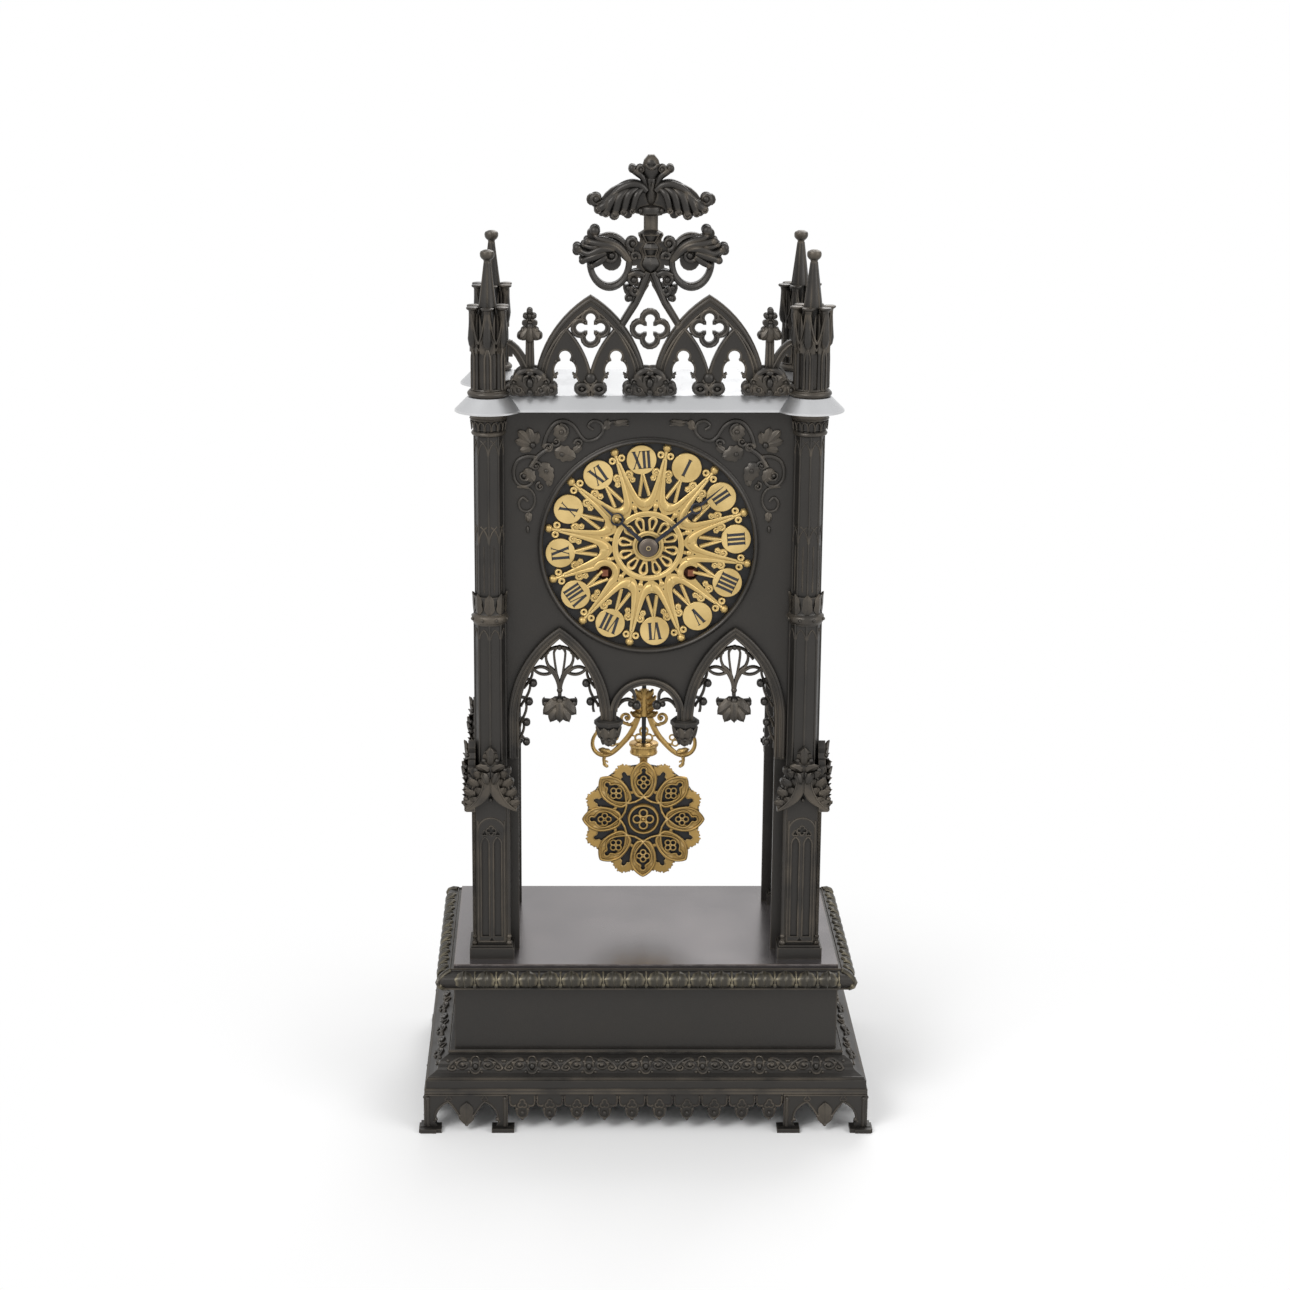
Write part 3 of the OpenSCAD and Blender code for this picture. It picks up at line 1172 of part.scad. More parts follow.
module anchor() {
    zc = z_dial + anchor_z;
    color(steel) {
        ybar(0, zc, pivot_r, mp_f + 0.2, mp_b + 2.6);
        ybar(0, zc, 1.2, mp_fi + 0.3, mp_bi - 0.3);
        slab(mp_bi - 24, mp_bi - 22) translate([0, z_dial]) union() {
            disc(0, anchor_z, 2.4);
            both() polygon([[0, anchor_z + 1.6], [5.6, anchor_z - 1.6], [8.6, anchor_z - 6.4],
                [7.6, anchor_z - 6.8], [4.4, anchor_z - 3.2], [0, anchor_z - 1.8]]);
        }
        // crutch behind the back plate, forked round the rod
        slab(mp_b + 1.6, mp_b + 2.6) translate([0, z_dial]) union() {
            disc(0, anchor_z, 2.2);
            polygon([[-1, anchor_z], [1, anchor_z], [0.9, -9], [-0.9, -9]]);
            polygon([[-3.1, -6], [3.1, -6], [3.1, -9], [-3.1, -9]]);
        }
        for (s = [-1, 1]) block(s * 2.35 - 0.75, s * 2.35 + 0.75, mp_b + 2.5, pend_y + 3,
            z_dial - 8.8, z_dial - 6.6);
    }
}
module suspension_cock() {
    zc = z_dial + susp_z;
    color(brass) difference() {
        union() {
            block(-5, 5, mp_b, mp_b + 1.6, zc - 3, zc + 5);
            block(-4, 4, mp_b + 1.5, pend_y + 4, zc - 2, zc + 4);
        }
        block(-1.1, 1.1, pend_y - 2.6, pend_y + 2.6, zc - 5, zc + 3);
        ybar(0, zc, 0.8 + pivot_play, pend_y - 4.2, pend_y + 9);
    }
}
module count_wheel() {
    color(brass) slab(mp_b + 1.3, mp_b + 2.7) translate([-wind_x, z_dial + wind_z]) difference() {
        circle(15, $fn = 64);
        for (i = [0:11]) rotate(i * (i + 1) * 180 / 78 * 0.92) translate([13.4, -0.8]) square([3, 1.6]);
        for (a = [0:72:288]) rotate(a) translate([8, 0]) circle(3, $fn = 24);
        circle(0.9 + pivot_play, $fn = 32);
    }
}
module hammer() {
    color(steel) difference() {
        union() {
            slab(mp_b + 9.4, mp_b + 11.4) translate([0, z_dial]) stroke([[-30, 20], [-28.6, 4], [-24.6, -12]], 2.4, 1.8);
            ybar(-30, z_dial + 20, 2.6, mp_b + 8.6, mp_b + 12.2);
            translate([-29, mp_b + 11.6, z_dial - 12]) rotate([0, 90, 0]) cylinder(r = 2.8, h = 8.2);
        }
        ybar(-30, z_dial + 20, 1.2 + pivot_play, mp_b, mp_b + 30);
    }
}
module bell() {
    r = bell_r;
    d = bell_deep;
    color([0.75, 0.72, 0.62]) translate([12, bell_y, z_dial - 12]) rotate([-90, 0, 0])
        rotate_extrude($fn = 64) polygon([[r, 0], [r, d * 0.12], [r * 0.93, d * 0.46], [r * 0.72, d * 0.8],
            [r * 0.4, d * 0.97], [3, d], [2.2, d], [2.2, d - 1.6], [r * 0.38, d * 0.97 - 1.6],
            [r * 0.68, d * 0.8 - 1.5], [r * 0.87, d * 0.4], [r * 0.95, 0]]);
}
module case_straps() {
    color(steel) for (s = [-1, 1]) {
        block(s * 51.4 - 1, s * 51.4 + 1, dial_b, -panel_b, z_dial - 4, z_dial + 4);
        block(s * 54 - 3.4, s * 54 + 3.4, -panel_b - 1.6, -panel_b, z_dial - 5, z_dial + 5);
    }
}
hinge_x = -54.4;
hinge_y = -panel_f + 5.2;
module back_bezel() {
    color(brass) difference() {
        union() {
            translate([0, -panel_f, z_dial]) rotate([-90, 0, 0]) rotate_extrude($fn = 96)
                polygon([[50, 0], [56, 0], [56, 1], [55, 2.4], [50, 2.4]]);
            for (s = [-1, 1]) block(hinge_x - 2, hinge_x + 1, hinge_y - 4, hinge_y, z_dial + s * 8 - 2,
                z_dial + s * 8 + 2);
            for (s = [-1, 1]) translate([hinge_x, hinge_y, z_dial + s * 8 - 2]) cylinder(r = 2.1, h = 4);
        }
        translate([hinge_x, hinge_y, z_dial - 12]) cylinder(r = 1, h = 24);
    }
    color(steel) translate([hinge_x, hinge_y, z_dial - 10.6]) cylinder(r = 1, h = 21.2);
}
module back_door() {
    color(brass) difference() {
        union() {
            ybar(0, z_dial, 49.6, -panel_f + 0.4, -panel_f + 1.8);
            translate([0, -panel_f + 1.7, z_dial]) rotate([-90, 0, 0]) rotate_extrude($fn = 96)
                polygon([[44, 0], [49.6, 0], [49.6, 0.8], [47, 1.6], [44, 0.8]]);
            block(hinge_x, -46, hinge_y - 1, hinge_y + 1, z_dial - 5.7, z_dial + 5.7);
            block(-49.2, -46, -panel_f + 1.4, hinge_y + 1, z_dial - 5.7, z_dial + 5.7);
            translate([hinge_x, hinge_y, z_dial - 5.7]) cylinder(r = 2.1, h = 11.4);
            ybar(44, z_dial, 2.4, -panel_f + 1.7, -panel_f + 5);
        }
        translate([hinge_x, hinge_y, z_dial - 20]) cylinder(r = 1.08, h = 40);
    }
}

// Pendulum
module pendulum_rod() {
    zc = z_dial + susp_z;
    color(steel) {
        ybar(0, zc, 0.8, pend_y - 4, pend_y + 4);
        block(-0.35, 0.35, pend_y - 2, pend_y + 2, zc - 6, zc + 1.6);
        block(-1.6, 1.6, pend_y - 2.2, pend_y + 2.2, zc - 9, zc - 5.6);
        translate([0, pend_y, z_bob + 20]) cylinder(r = prod_r, h = zc - 8.8 - z_bob - 20);
    }
}
module frame_face() {
    // measured from the bob centre
    both() {
        stroke(concat(bez([0.9, 73], [1.4, 60], [5, 50], [9.8, 44.6]),
            bez([9.8, 44.6], [14.6, 39], [17.4, 36], [21.2, 35.6])), 3, 2);
        stroke(bez([21.2, 35.6], [27.6, 35.4], [30.6, 43], [25.4, 49]), 2, 1.6);
        disc(24.8, 49.2, 1.4);
        stroke(spiral(9.6, 57, 3.4, 1.1, -110, 250), 1.3, 1);
        stroke(bez([4.6, 56], [6, 52.6], [8.6, 52.6], [9.4, 53.8]), 1.3, 1.2);
        stroke(bez([20.8, 35.8], [22.4, 33.6], [22, 31], [20, 28.9]), 1.6, 1.3);
        stroke(spiral(20.4, 31.2, 2.2, 0.8, -120, 130), 1.1, 0.9);
        ring2(17.2, 42.6, 2.1, 0.8);
        ring2(15.6, 45.8, 1.9, 0.8);
        ring2(19.4, 45.4, 1.9, 0.8);
        stroke([[15.6, 41.6], [13.2, 42.4]], 1.2, 1.2);
        disc(3.4, 66, 2);
        disc(4.4, 69, 1.8);
        disc(3.4, 71.8, 1.6);
        disc(4.6, 63.6, 1.4);
        ring2(2.6, 45.6, 2.5, 0.8);
        stroke([[4.6, 46.6], [8.6, 47.4]], 1, 1);
        stroke([[1.3, 47.6], [3.2, 43.6]], 0.9, 0.9);
    }
    ring2(0, 49.6, 2.5, 0.8);
    translate([-2.4, 58]) square([4.8, 16]);
}
module pendulum_frame() {
    color(oldgold) difference() {
        union() {
            slab(pend_y - 1, pend_y + 1) offset(delta = 0.01) translate([0, z_bob]) frame_face();
            translate([0, pend_y, z_bob + 58]) cylinder(r = 2.7, h = 16);
        }
        translate([0, pend_y, 0]) cylinder(r = prod_r, h = 600);
    }
}
module rating_nut() {
    // its narrow neck stands behind the tips of the openwork
    n = bob_r - 4.2;
    color(oldgold) translate([0, pend_y, z_bob]) difference() {
        rotate_extrude() polygon([[0, n], [2.2, n], [2.2, n + 4.6], [3.4, n + 5], [3.4, n + 7],
            [6.4, n + 7.2], [7.6, n + 8], [7.6, n + 9.8], [6.9, n + 10.3], [6.9, n + 11.4],
            [7.9, n + 11.8], [7.9, n + 13.4], [0, n + 13.4]]);
        cylinder(r = prod_r, h = 60);
    }
}
module ogee_petal(r0, r1, w) {
    polygon(concat(bez([0, r1], [w * 0.7, r1 - w * 0.3], [w * 1.12, r1 - w * 1.4], [w * 0.8, (r0 + r1) / 2]),
        bez([w * 0.8, (r0 + r1) / 2], [w * 0.5, r0 + 5], [1.4, r0 + 2], [1, r0]),
        bez([-1, r0], [-1.4, r0 + 2], [-w * 0.5, r0 + 5], [-w * 0.8, (r0 + r1) / 2]),
        bez([-w * 0.8, (r0 + r1) / 2], [-w * 1.12, r1 - w * 1.4], [-w * 0.7, r1 - w * 0.3], [0, r1])));
}
module bob_face() {
    k = bob_r / 33.8;
    scale(k) difference() {
        union() {
            for (i = [0:7]) rotate(i * 45) {
                ogee_petal(11, 33.4, 9.4);
                rotate(22.5) polygon(concat([[-6, 20]], arc(0, 25, 6.4, 160, 20, 8), [[6, 20]]));
            }
            for (i = [0:47]) rotate(i * 7.5) disc(0, 30.9, 1.05);
            circle(30.6, $fn = 64);
        }
        for (i = [0:7]) rotate(i * 45) {
            // ogee opening with its small upper eye
            difference() {
                ogee_petal(13.4, 28, 6.2);
                translate([0, 20.4]) quatrefoil(5.1, 0.9);
            }
            disc(0, 28.2, 1.1);
            rotate(22.5) {
                polygon([[-0.5, 16], [-1.9, 22], [-2.2, 25], [-1.3, 26.6], [1.3, 26.6], [2.2, 25],
                    [1.9, 22], [0.5, 16]]);
                disc(0, 27.6, 1.2);
                disc(-1.9, 25.6, 0.9);
                disc(1.9, 25.6, 0.9);
            }
        }
        // eight pointed star round the centre ring
        difference() {
            polygon([for (i = [0:7]) each [for (p = [[0, 12.4], [6, 10.4], [14, 9.2], [22.5, 8.9],
                [31, 9.2], [39, 10.4]]) [p[1] * sin(i * 45 + p[0]), p[1] * cos(i * 45 + p[0])]]]);
            difference() {
                circle(8.3, $fn = 48);
                circle(6.9, $fn = 48);
            }
            translate([0, 0]) quatrefoil(7.6, 0.9);
            for (i = [0:7]) rotate(i * 45 + 22.5) translate([-0.6, 7]) square([1.2, 3]);
        }
    }
}
module bob() {
    color([0.08, 0.07, 0.06]) difference() {
        translate([0, pend_y - 2.5, z_bob]) rotate([-90, 0, 0]) rotate_extrude($fn = 64)
            polygon([[0, 0], [29.4, 0], [29.4, 1], [24, bob_t * 0.72], [14, bob_t * 0.94], [0, bob_t]]);
        translate([0, pend_y, z_bob + 10]) cylinder(r = prod_r, h = 60);
    }
    color(oldgold) slab(pend_y - 2.5 - bobwork_t, pend_y - 2.5) translate([0, z_bob]) bob_face();
}

corner_feet();
foot_screws();
aprons();
base_moulding();
base_box();
leaf_moulding();
base_plate();
column_front_left();
column_front_right();
column_back_left();
column_back_right();
tie_rods();
tie_nuts();
front_panel();
back_panel();
side_panel_left();
side_panel_right();
arch_tracery();
corbels();
spandrels();
bezel_ring();
deck();
back_bezel();
back_door();
turret_front_left();
turret_front_right();
turret_back_left();
turret_back_right();
gallery();
finial_cross();
dial_plate();
gilt_dial();
hour_hand();
minute_hand();
hand_cap();
front_plate();
back_plate();
pillars();
going_barrel();
strike_barrel();
going_winder();
strike_winder();
clicks();
second_wheel();
centre_arbor();
minute_wheel();
hour_wheel();
third_wheel();
escape_wheel();
pin_wheel();
anchor();
suspension_cock();
count_wheel();
hammer();
bell();
case_straps();
pendulum_rod();
pendulum_frame();
rating_nut();
bob();
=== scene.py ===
"""Looks of a patinated bronze portal clock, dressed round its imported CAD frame.

Drawing sizes are in millimetres in the frame's own directions: x to the right, z up, the dial
facing -y. They become metres when a casting turns into a piece.
"""

import logging
import math
from dataclasses import dataclass
from enum import Enum
from typing import Dict, Iterable, List, Optional, Sequence, Tuple

import bmesh
import bpy
from mathutils import Matrix, Vector


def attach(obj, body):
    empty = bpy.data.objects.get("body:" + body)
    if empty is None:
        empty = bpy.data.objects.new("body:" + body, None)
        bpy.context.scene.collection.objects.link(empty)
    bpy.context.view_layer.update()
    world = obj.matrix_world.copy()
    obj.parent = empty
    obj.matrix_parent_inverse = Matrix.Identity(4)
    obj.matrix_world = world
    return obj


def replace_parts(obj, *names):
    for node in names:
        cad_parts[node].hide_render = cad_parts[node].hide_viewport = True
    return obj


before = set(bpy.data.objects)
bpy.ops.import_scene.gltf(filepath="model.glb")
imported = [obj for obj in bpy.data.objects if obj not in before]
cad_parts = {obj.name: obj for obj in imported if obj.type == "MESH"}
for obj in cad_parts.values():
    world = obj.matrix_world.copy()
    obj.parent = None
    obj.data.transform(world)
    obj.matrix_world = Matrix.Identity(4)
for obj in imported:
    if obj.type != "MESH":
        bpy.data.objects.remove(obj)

LOG = logging.getLogger("portal_clock")
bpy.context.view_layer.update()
MM = 0.001
Flat = Tuple[float, float]
Solid = Tuple[float, float, float]


class Body(Enum):
    """Bodies of the frame that new pieces ride on."""

    CASE = "case"
    MINUTE = "minute"
    HOUR = "hour"
    PENDULUM = "pendulum"


# Lines


def arc(x: float, z: float, r: float, a0: float, a1: float, n: int = 12) -> List[Flat]:
    """Points of a circular arc.

    Args:
        x, z: Centre.
        r: Radius.
        a0, a1: First and last angle in degrees.
        n: Number of steps.

    Returns:
        The points from a0 to a1.
    """
    turns = [math.radians(a0 + (a1 - a0) * i / n) for i in range(n + 1)]
    return [(x + r * math.cos(a), z + r * math.sin(a)) for a in turns]


def coil(x: float, z: float, r0: float, r1: float, a0: float, a1: float, n: int = 26) -> List[Flat]:
    """Points of a scroll whose radius goes from r0 to r1.

    Args:
        x, z: Eye of the scroll.
        r0, r1: Radii.
        a0, a1: Angles in degrees.
        n: Steps.

    Returns:
        The points of the scroll.
    """
    out = []
    for i in range(n + 1):
        t = i / n
        a = math.radians(a0 + (a1 - a0) * t)
        r = r0 + (r1 - r0) * t
        out.append((x + r * math.cos(a), z + r * math.sin(a)))
    return out


def bend(a: Flat, b: Flat, c: Flat, d: Flat, n: int = 12) -> List[Flat]:
    """Points of a cubic curve from a to d, drawn towards b and c.

    Args:
        a, b, c, d: The four control points.
        n: Number of steps.

    Returns:
        The points of the curve.
    """
    out = []
    for i in range(n + 1):
        t = i / n
        s = 1 - t
        w = (s * s * s, 3 * s * s * t, 3 * s * t * t, t * t * t)
        out.append(tuple(sum(k * p[j] for k, p in zip(w, (a, b, c, d))) for j in (0, 1)))
    return out


def eased(a: float, b: float, c: float, d: float, t: float) -> float:
    """A value from b to c on the smooth curve through four values, at a share t of the way."""
    first = (c - a) * t
    second = (2 * a - 5 * b + 4 * c - d) * t * t
    third = (3 * b - a - 3 * c + d) * t ** 3
    return 0.5 * (2 * b + first + second + third)


def smooth(points: Sequence[Flat], n: int = 4) -> List[Flat]:
    """A smooth line through all the points, with n steps between neighbours."""
    ends = [points[0], *points, points[-1]]
    out = []
    for four in zip(ends, ends[1:], ends[2:], ends[3:]):
        for i in range(n):
            out.append(tuple(eased(*values, i / n) for values in zip(*four)))
    return out + [tuple(points[-1])]


def flip(points: Iterable[Flat]) -> List[Flat]:
    """The same line mirrored left to right."""
    return [(-x, z) for x, z in points]


def sided(points: Iterable[Flat], side: float) -> List[Flat]:
    """The same line on one side, 1 for right and -1 for left."""
    return [(side * x, z) for x, z in points]


def hoop(x: float, z: float, r: float, n: int) -> List[Flat]:
    """Points of a whole circle in n steps, for a bar that closes on itself."""
    return arc(x, z, r, 0, 360, n)[:-1]


def moved(points: Iterable[Flat], dx: float, dz: float, k: float = 1.0) -> List[Flat]:
    """The line scaled by k and then moved."""
    return [(x * k + dx, z * k + dz) for x, z in points]


def gothic(half: float, rise: float, n: int = 14) -> List[Flat]:
    """Points of a two-centred pointed arch over the origin, from right foot to left foot.

    Args:
        half: Half span.
        rise: Height of the point above the spring.
        n: Steps a side.

    Returns:
        The points of the arch.
    """
    r = (half * half + rise * rise) / (2 * half)
    c = half - r
    a = math.degrees(math.acos(-c / r))
    return arc(c, 0, r, 0, a, n) + arc(-c, 0, r, 180 - a, 180, n)[1:]


def foils(x: float, z: float, r: float, count: int = 4, start: float = 0.0) -> List[Flat]:
    """Closed line of a foiled opening: a quatrefoil by default.

    Args:
        x, z: Centre.
        r: Outer radius.
        count: Number of lobes.
        start: Angle of the first lobe.

    Returns:
        The points of the closed line.
    """
    out: List[Flat] = []
    lobe = r * (0.47 if count == 4 else 0.5)
    for i in range(count):
        a = start + i * 360 / count
        cx, cz = x + (r - lobe) * math.cos(math.radians(a)), z + (r - lobe) * math.sin(math.radians(a))
        out += arc(cx, cz, lobe, a - 116, a + 116, 9)
    return out


# Castings


class Casting:
    """One piece while it is made, in millimetres, drawn on the x-z plane with relief towards -y."""

    def __init__(self) -> None:
        """Starts an empty casting."""
        self.bm = bmesh.new()
        self.wires: Dict[int, List[Tuple[List[Solid], List[float], bool]]] = {}

    def _absorb(self, part: bmesh.types.BMesh, place: Matrix = Matrix.Identity(4)) -> "Casting":
        """Adds a mesh made apart to the casting, at its place, and frees it."""
        mesh = bpy.data.meshes.new("part")
        part.to_mesh(mesh)
        part.free()
        return self._join(mesh, place)

    def _join(self, mesh: bpy.types.Mesh, place: Matrix) -> "Casting":
        """Adds a mesh to the casting, at its place, and removes it."""
        mesh.transform(place)
        if place.determinant() < 0:
            mesh.flip_normals()
        self.bm.from_mesh(mesh, face_normals=False, vertex_normals=False)
        bpy.data.meshes.remove(mesh)
        return self

    def wire(self, points: Sequence[Flat], r0: float, r1: Optional[float] = None, y: float = 0.0,
             closed: bool = False, swell: float = 0.0, sides: int = 2) -> "Casting":
        """A round bar along a flat line.

        Args:
            points: The line.
            r0, r1: Radii at its ends.
            y: Depth of its axis.
            closed: Joins the ends.
            swell: Extra radius at the middle.
            sides: Roundness of the bar.

        Returns:
            The casting itself.
        """
        return self.bar([(x, y, z) for x, z in points], r0, r1, closed, swell, sides)

    def bar(self, points: Sequence[Solid], r0: float, r1: Optional[float] = None, closed: bool = False,
            swell: float = 0.0, sides: int = 2) -> "Casting":
        """A round bar along a line in space, with the arguments of wire."""
        end = r0 if r1 is None else r1
        n = max(len(points) - 1, 1)
        radii = [r0 + (end - r0) * i / n + swell * math.sin(math.pi * i / n)
                 for i in range(len(points))]
        return self.rod(points, radii, closed, sides)

    def rod(self, points: Sequence[Solid], radii: Sequence[float], closed: bool = False,
            sides: int = 2) -> "Casting":
        """A round bar along a line in space, with a radius given at each point."""
        self.wires.setdefault(sides, []).append((list(points), list(radii), closed))
        return self

    def _draw_wires(self) -> None:
        """Turns the collected bars into mesh."""
        for sides, lines in self.wires.items():
            data = bpy.data.curves.new("bars", "CURVE")
            data.dimensions = "3D"
            data.bevel_depth = 1.0
            data.bevel_resolution = sides
            data.use_fill_caps = True
            for points, radii, closed in lines:
                spline = data.splines.new("POLY")
                spline.points.add(len(points) - 1)
                for knot, p, r in zip(spline.points, points, radii):
                    knot.co = (*p, 1.0)
                    knot.radius = r
                spline.use_cyclic_u = closed
            self._take(data)
        self.wires = {}

    def _take(self, data: bpy.types.Curve, place: Matrix = Matrix.Identity(4)) -> None:
        """Adds a curve's mesh to the casting, at its place."""
        holder = bpy.data.objects.new("holder", data)
        bpy.context.scene.collection.objects.link(holder)
        graph = bpy.context.evaluated_depsgraph_get()
        mesh = bpy.data.meshes.new_from_object(holder.evaluated_get(graph))
        bpy.data.objects.remove(holder)
        bpy.data.curves.remove(data)
        self._join(mesh, place)

    def plate(self, loops: Sequence[Sequence[Flat]], front: float, back: float,
              bevel: float = 0.3) -> "Casting":
        """A flat plate with holes and rounded edges.

        Args:
            loops: Outlines, holes among them.
            front, back: The y of its faces.
            bevel: Edge radius.

        Returns:
            The casting itself.
        """
        data = bpy.data.curves.new("plate", "CURVE")
        data.dimensions = "2D"
        data.fill_mode = "BOTH"
        data.extrude = max((back - front) / 2 - bevel, 0.001)
        data.bevel_depth = bevel
        data.bevel_resolution = 2
        data.offset = -bevel
        for loop in loops:
            spline = data.splines.new("POLY")
            spline.points.add(len(loop) - 1)
            for knot, p in zip(spline.points, loop):
                knot.co = (p[0], p[1], 0.0, 1.0)
            spline.use_cyclic_u = True
        place = Matrix.Translation((0, (front + back) / 2, 0)) @ Matrix.Rotation(math.pi / 2, 4, "X")
        self._take(data, place)
        return self

    def lathe(self, profile: Sequence[Flat], at: Solid = (0, 0, 0), steps: int = 32,
              along: Solid = (0, 0, 1)) -> "Casting":
        """A turned form.

        Args:
            profile: (radius, height) pairs.
            at: Foot of the axis.
            steps: Facets round it.
            along: Direction of the axis.

        Returns:
            The casting itself.
        """
        part = bmesh.new()
        verts = [part.verts.new((max(r, 0.0), 0, h)) for r, h in profile]
        edges = [part.edges.new(pair) for pair in zip(verts, verts[1:])]
        bmesh.ops.spin(part, geom=verts + edges, cent=(0, 0, 0), axis=(0, 0, 1), angle=2 * math.pi,
                       steps=steps, use_merge=True)
        bmesh.ops.remove_doubles(part, verts=part.verts, dist=0.0005)
        turn = Vector((0, 0, 1)).rotation_difference(Vector(along)).to_matrix().to_4x4()
        return self._absorb(part, Matrix.Translation(at) @ turn)

    def ball(self, x: float, z: float, r: float, y: float = 0.0, deep: float = 1.0, tall: float = 1.0,
             facets: int = 12) -> "Casting":
        """A round bead.

        Args:
            x, z: Centre.
            r: Radius.
            y: Depth.
            deep, tall: Stretch along y and z.
            facets: Roundness.

        Returns:
            The casting itself.
        """
        place = Matrix.Translation((x, y, z)) @ Matrix.Diagonal((1, deep, tall, 1))
        bmesh.ops.create_uvsphere(self.bm, u_segments=facets, v_segments=max(facets // 2 + 1, 5),
                                  radius=r, matrix=place)
        return self

    def leaf(self, root: Flat, angle: float, length: float, width: float, y: float = 0.0,
             curl: float = 0.0, lobes: int = 3, droop: float = 0.0, thick: float = 0.7,
             dome: float = 0.25, place: Optional[Matrix] = None, fine: int = 1) -> "Casting":
        """A lobed leaf with a midrib, from a grid that is shaped and given a thickness.

        Args:
            root: Foot of the leaf.
            angle: Its direction in degrees.
            length, width: Its size.
            y: Depth of its foot.
            curl: How far the tip comes forward.
            lobes: Lobes a side.
            droop: Sideways bend of the tip.
            thick: Thickness.
            dome: Height of the blade's arch.
            place: Extra placing.
            fine: Grid density.

        Returns:
            The casting itself.
        """
        part = bmesh.new()
        rows, cols = (5 + 4 * lobes) * fine, 8 * fine
        bmesh.ops.create_grid(part, x_segments=cols, y_segments=rows, size=1.0)
        for v in part.verts:
            across, t = v.co.x, min(1.0, max(0.0, (v.co.y + 1) / 2))
            outline = math.sin(math.pi * min(1.0, t ** 0.85 * 0.97 + 0.03)) ** 0.62
            notch = 1 - 0.26 * (0.5 + 0.5 * math.cos(2 * math.pi * lobes * t)) * (1 - 0.35 * t)
            w = width / 2 * outline * notch + 0.03
            midrib = 0.35 * (1 - min(1.0, abs(across) * 4))
            rib = midrib + 0.2 * math.cos(2 * math.pi * lobes * t) * abs(across)
            up = dome * width * (1 - across * across) * outline + rib * thick
            v.co = Vector((across * w + droop * t * t, -(up + curl * t * t), length * t))
        bmesh.ops.recalc_face_normals(part, faces=part.faces)
        bmesh.ops.solidify(part, geom=part.faces, thickness=-thick)
        turn = Matrix.Rotation(math.radians(angle - 90), 4, (0, -1, 0))
        own = Matrix.Translation((root[0], y, root[1])) @ turn
        return self._absorb(part, own if place is None else place @ own)

    def block(self, low: Solid, high: Solid, bevel: float = 0.25) -> "Casting":
        """A block with bevelled edges, given by two corners."""
        part = bmesh.new()
        size = [b - a for a, b in zip(low, high)]
        mid = [(a + b) / 2 for a, b in zip(low, high)]
        place = Matrix.Translation(mid) @ Matrix.Diagonal((*size, 1))
        bmesh.ops.create_cube(part, size=1.0, matrix=place)
        bmesh.ops.bevel(part, geom=part.edges, offset=bevel, segments=2, profile=0.5, affect="EDGES",
                        material=-1)
        return self._absorb(part)

    def done(self) -> "Casting":
        """Draws what was collected, so that the casting can be stamped."""
        self._draw_wires()
        return self

    def stamp(self, pattern: "Casting", places: Iterable[Matrix]) -> "Casting":
        """Adds copies of another casting.

        Args:
            pattern: The casting to repeat.
            places: One matrix a copy; mirrored ones are allowed.

        Returns:
            The casting itself.
        """
        mesh = bpy.data.meshes.new("pattern")
        pattern.done().bm.to_mesh(mesh)
        for place in places:
            self._join(mesh.copy(), place)
        bpy.data.meshes.remove(mesh)
        return self

    def piece(self, name: str, body: Body, finish: "Finish", sharp: float = 38.0) -> bpy.types.Object:
        """Makes the casting a finished object on its body.

        Args:
            name: Name of the piece.
            body: Body it rides on.
            finish: Its finish.
            sharp: Angle in degrees past which an edge stays sharp.

        Returns:
            The new object.
        """
        self._draw_wires()
        self.bm.normal_update()
        bmesh.ops.recalc_face_normals(self.bm, faces=self.bm.faces)
        bmesh.ops.scale(self.bm, vec=(MM, MM, MM), verts=self.bm.verts)
        mesh = bpy.data.meshes.new(name)
        self.bm.to_mesh(mesh)
        self.bm.free()
        mesh.shade_smooth()
        mesh.set_sharp_from_angle(angle=math.radians(sharp))
        piece = bpy.data.objects.new(name, mesh)
        bpy.context.scene.collection.objects.link(piece)
        mesh.materials.append(finish.material())
        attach(piece, body.value)
        LOG.info("piece %s: %d faces on %s", name, len(mesh.polygons), body.value)
        return piece


# Finishes


def colour(rgb: Sequence[float]) -> Tuple[float, float, float, float]:
    """An opaque colour for a socket."""
    return (rgb[0], rgb[1], rgb[2], 1.0)


# Ranges of occlusion or noise that a mask spreads from 0 to 1, and the rays a mask uses.
EDGE_RANGE = (0.35, 0.98)
HOLLOW_RANGE = (0.3, 0.92)
BROKEN_RANGE = (0.28, 0.62)
BLOTCH_RANGE = (0.3, 0.7)
MASK_RAYS = 6
# Share of the worn colour in a patch, gain of the patches, and height of the cast skin in metres.
PATCH_WORN = 0.35
PATCH_GAIN = 1.6
SKIN_HEIGHT = 0.0004


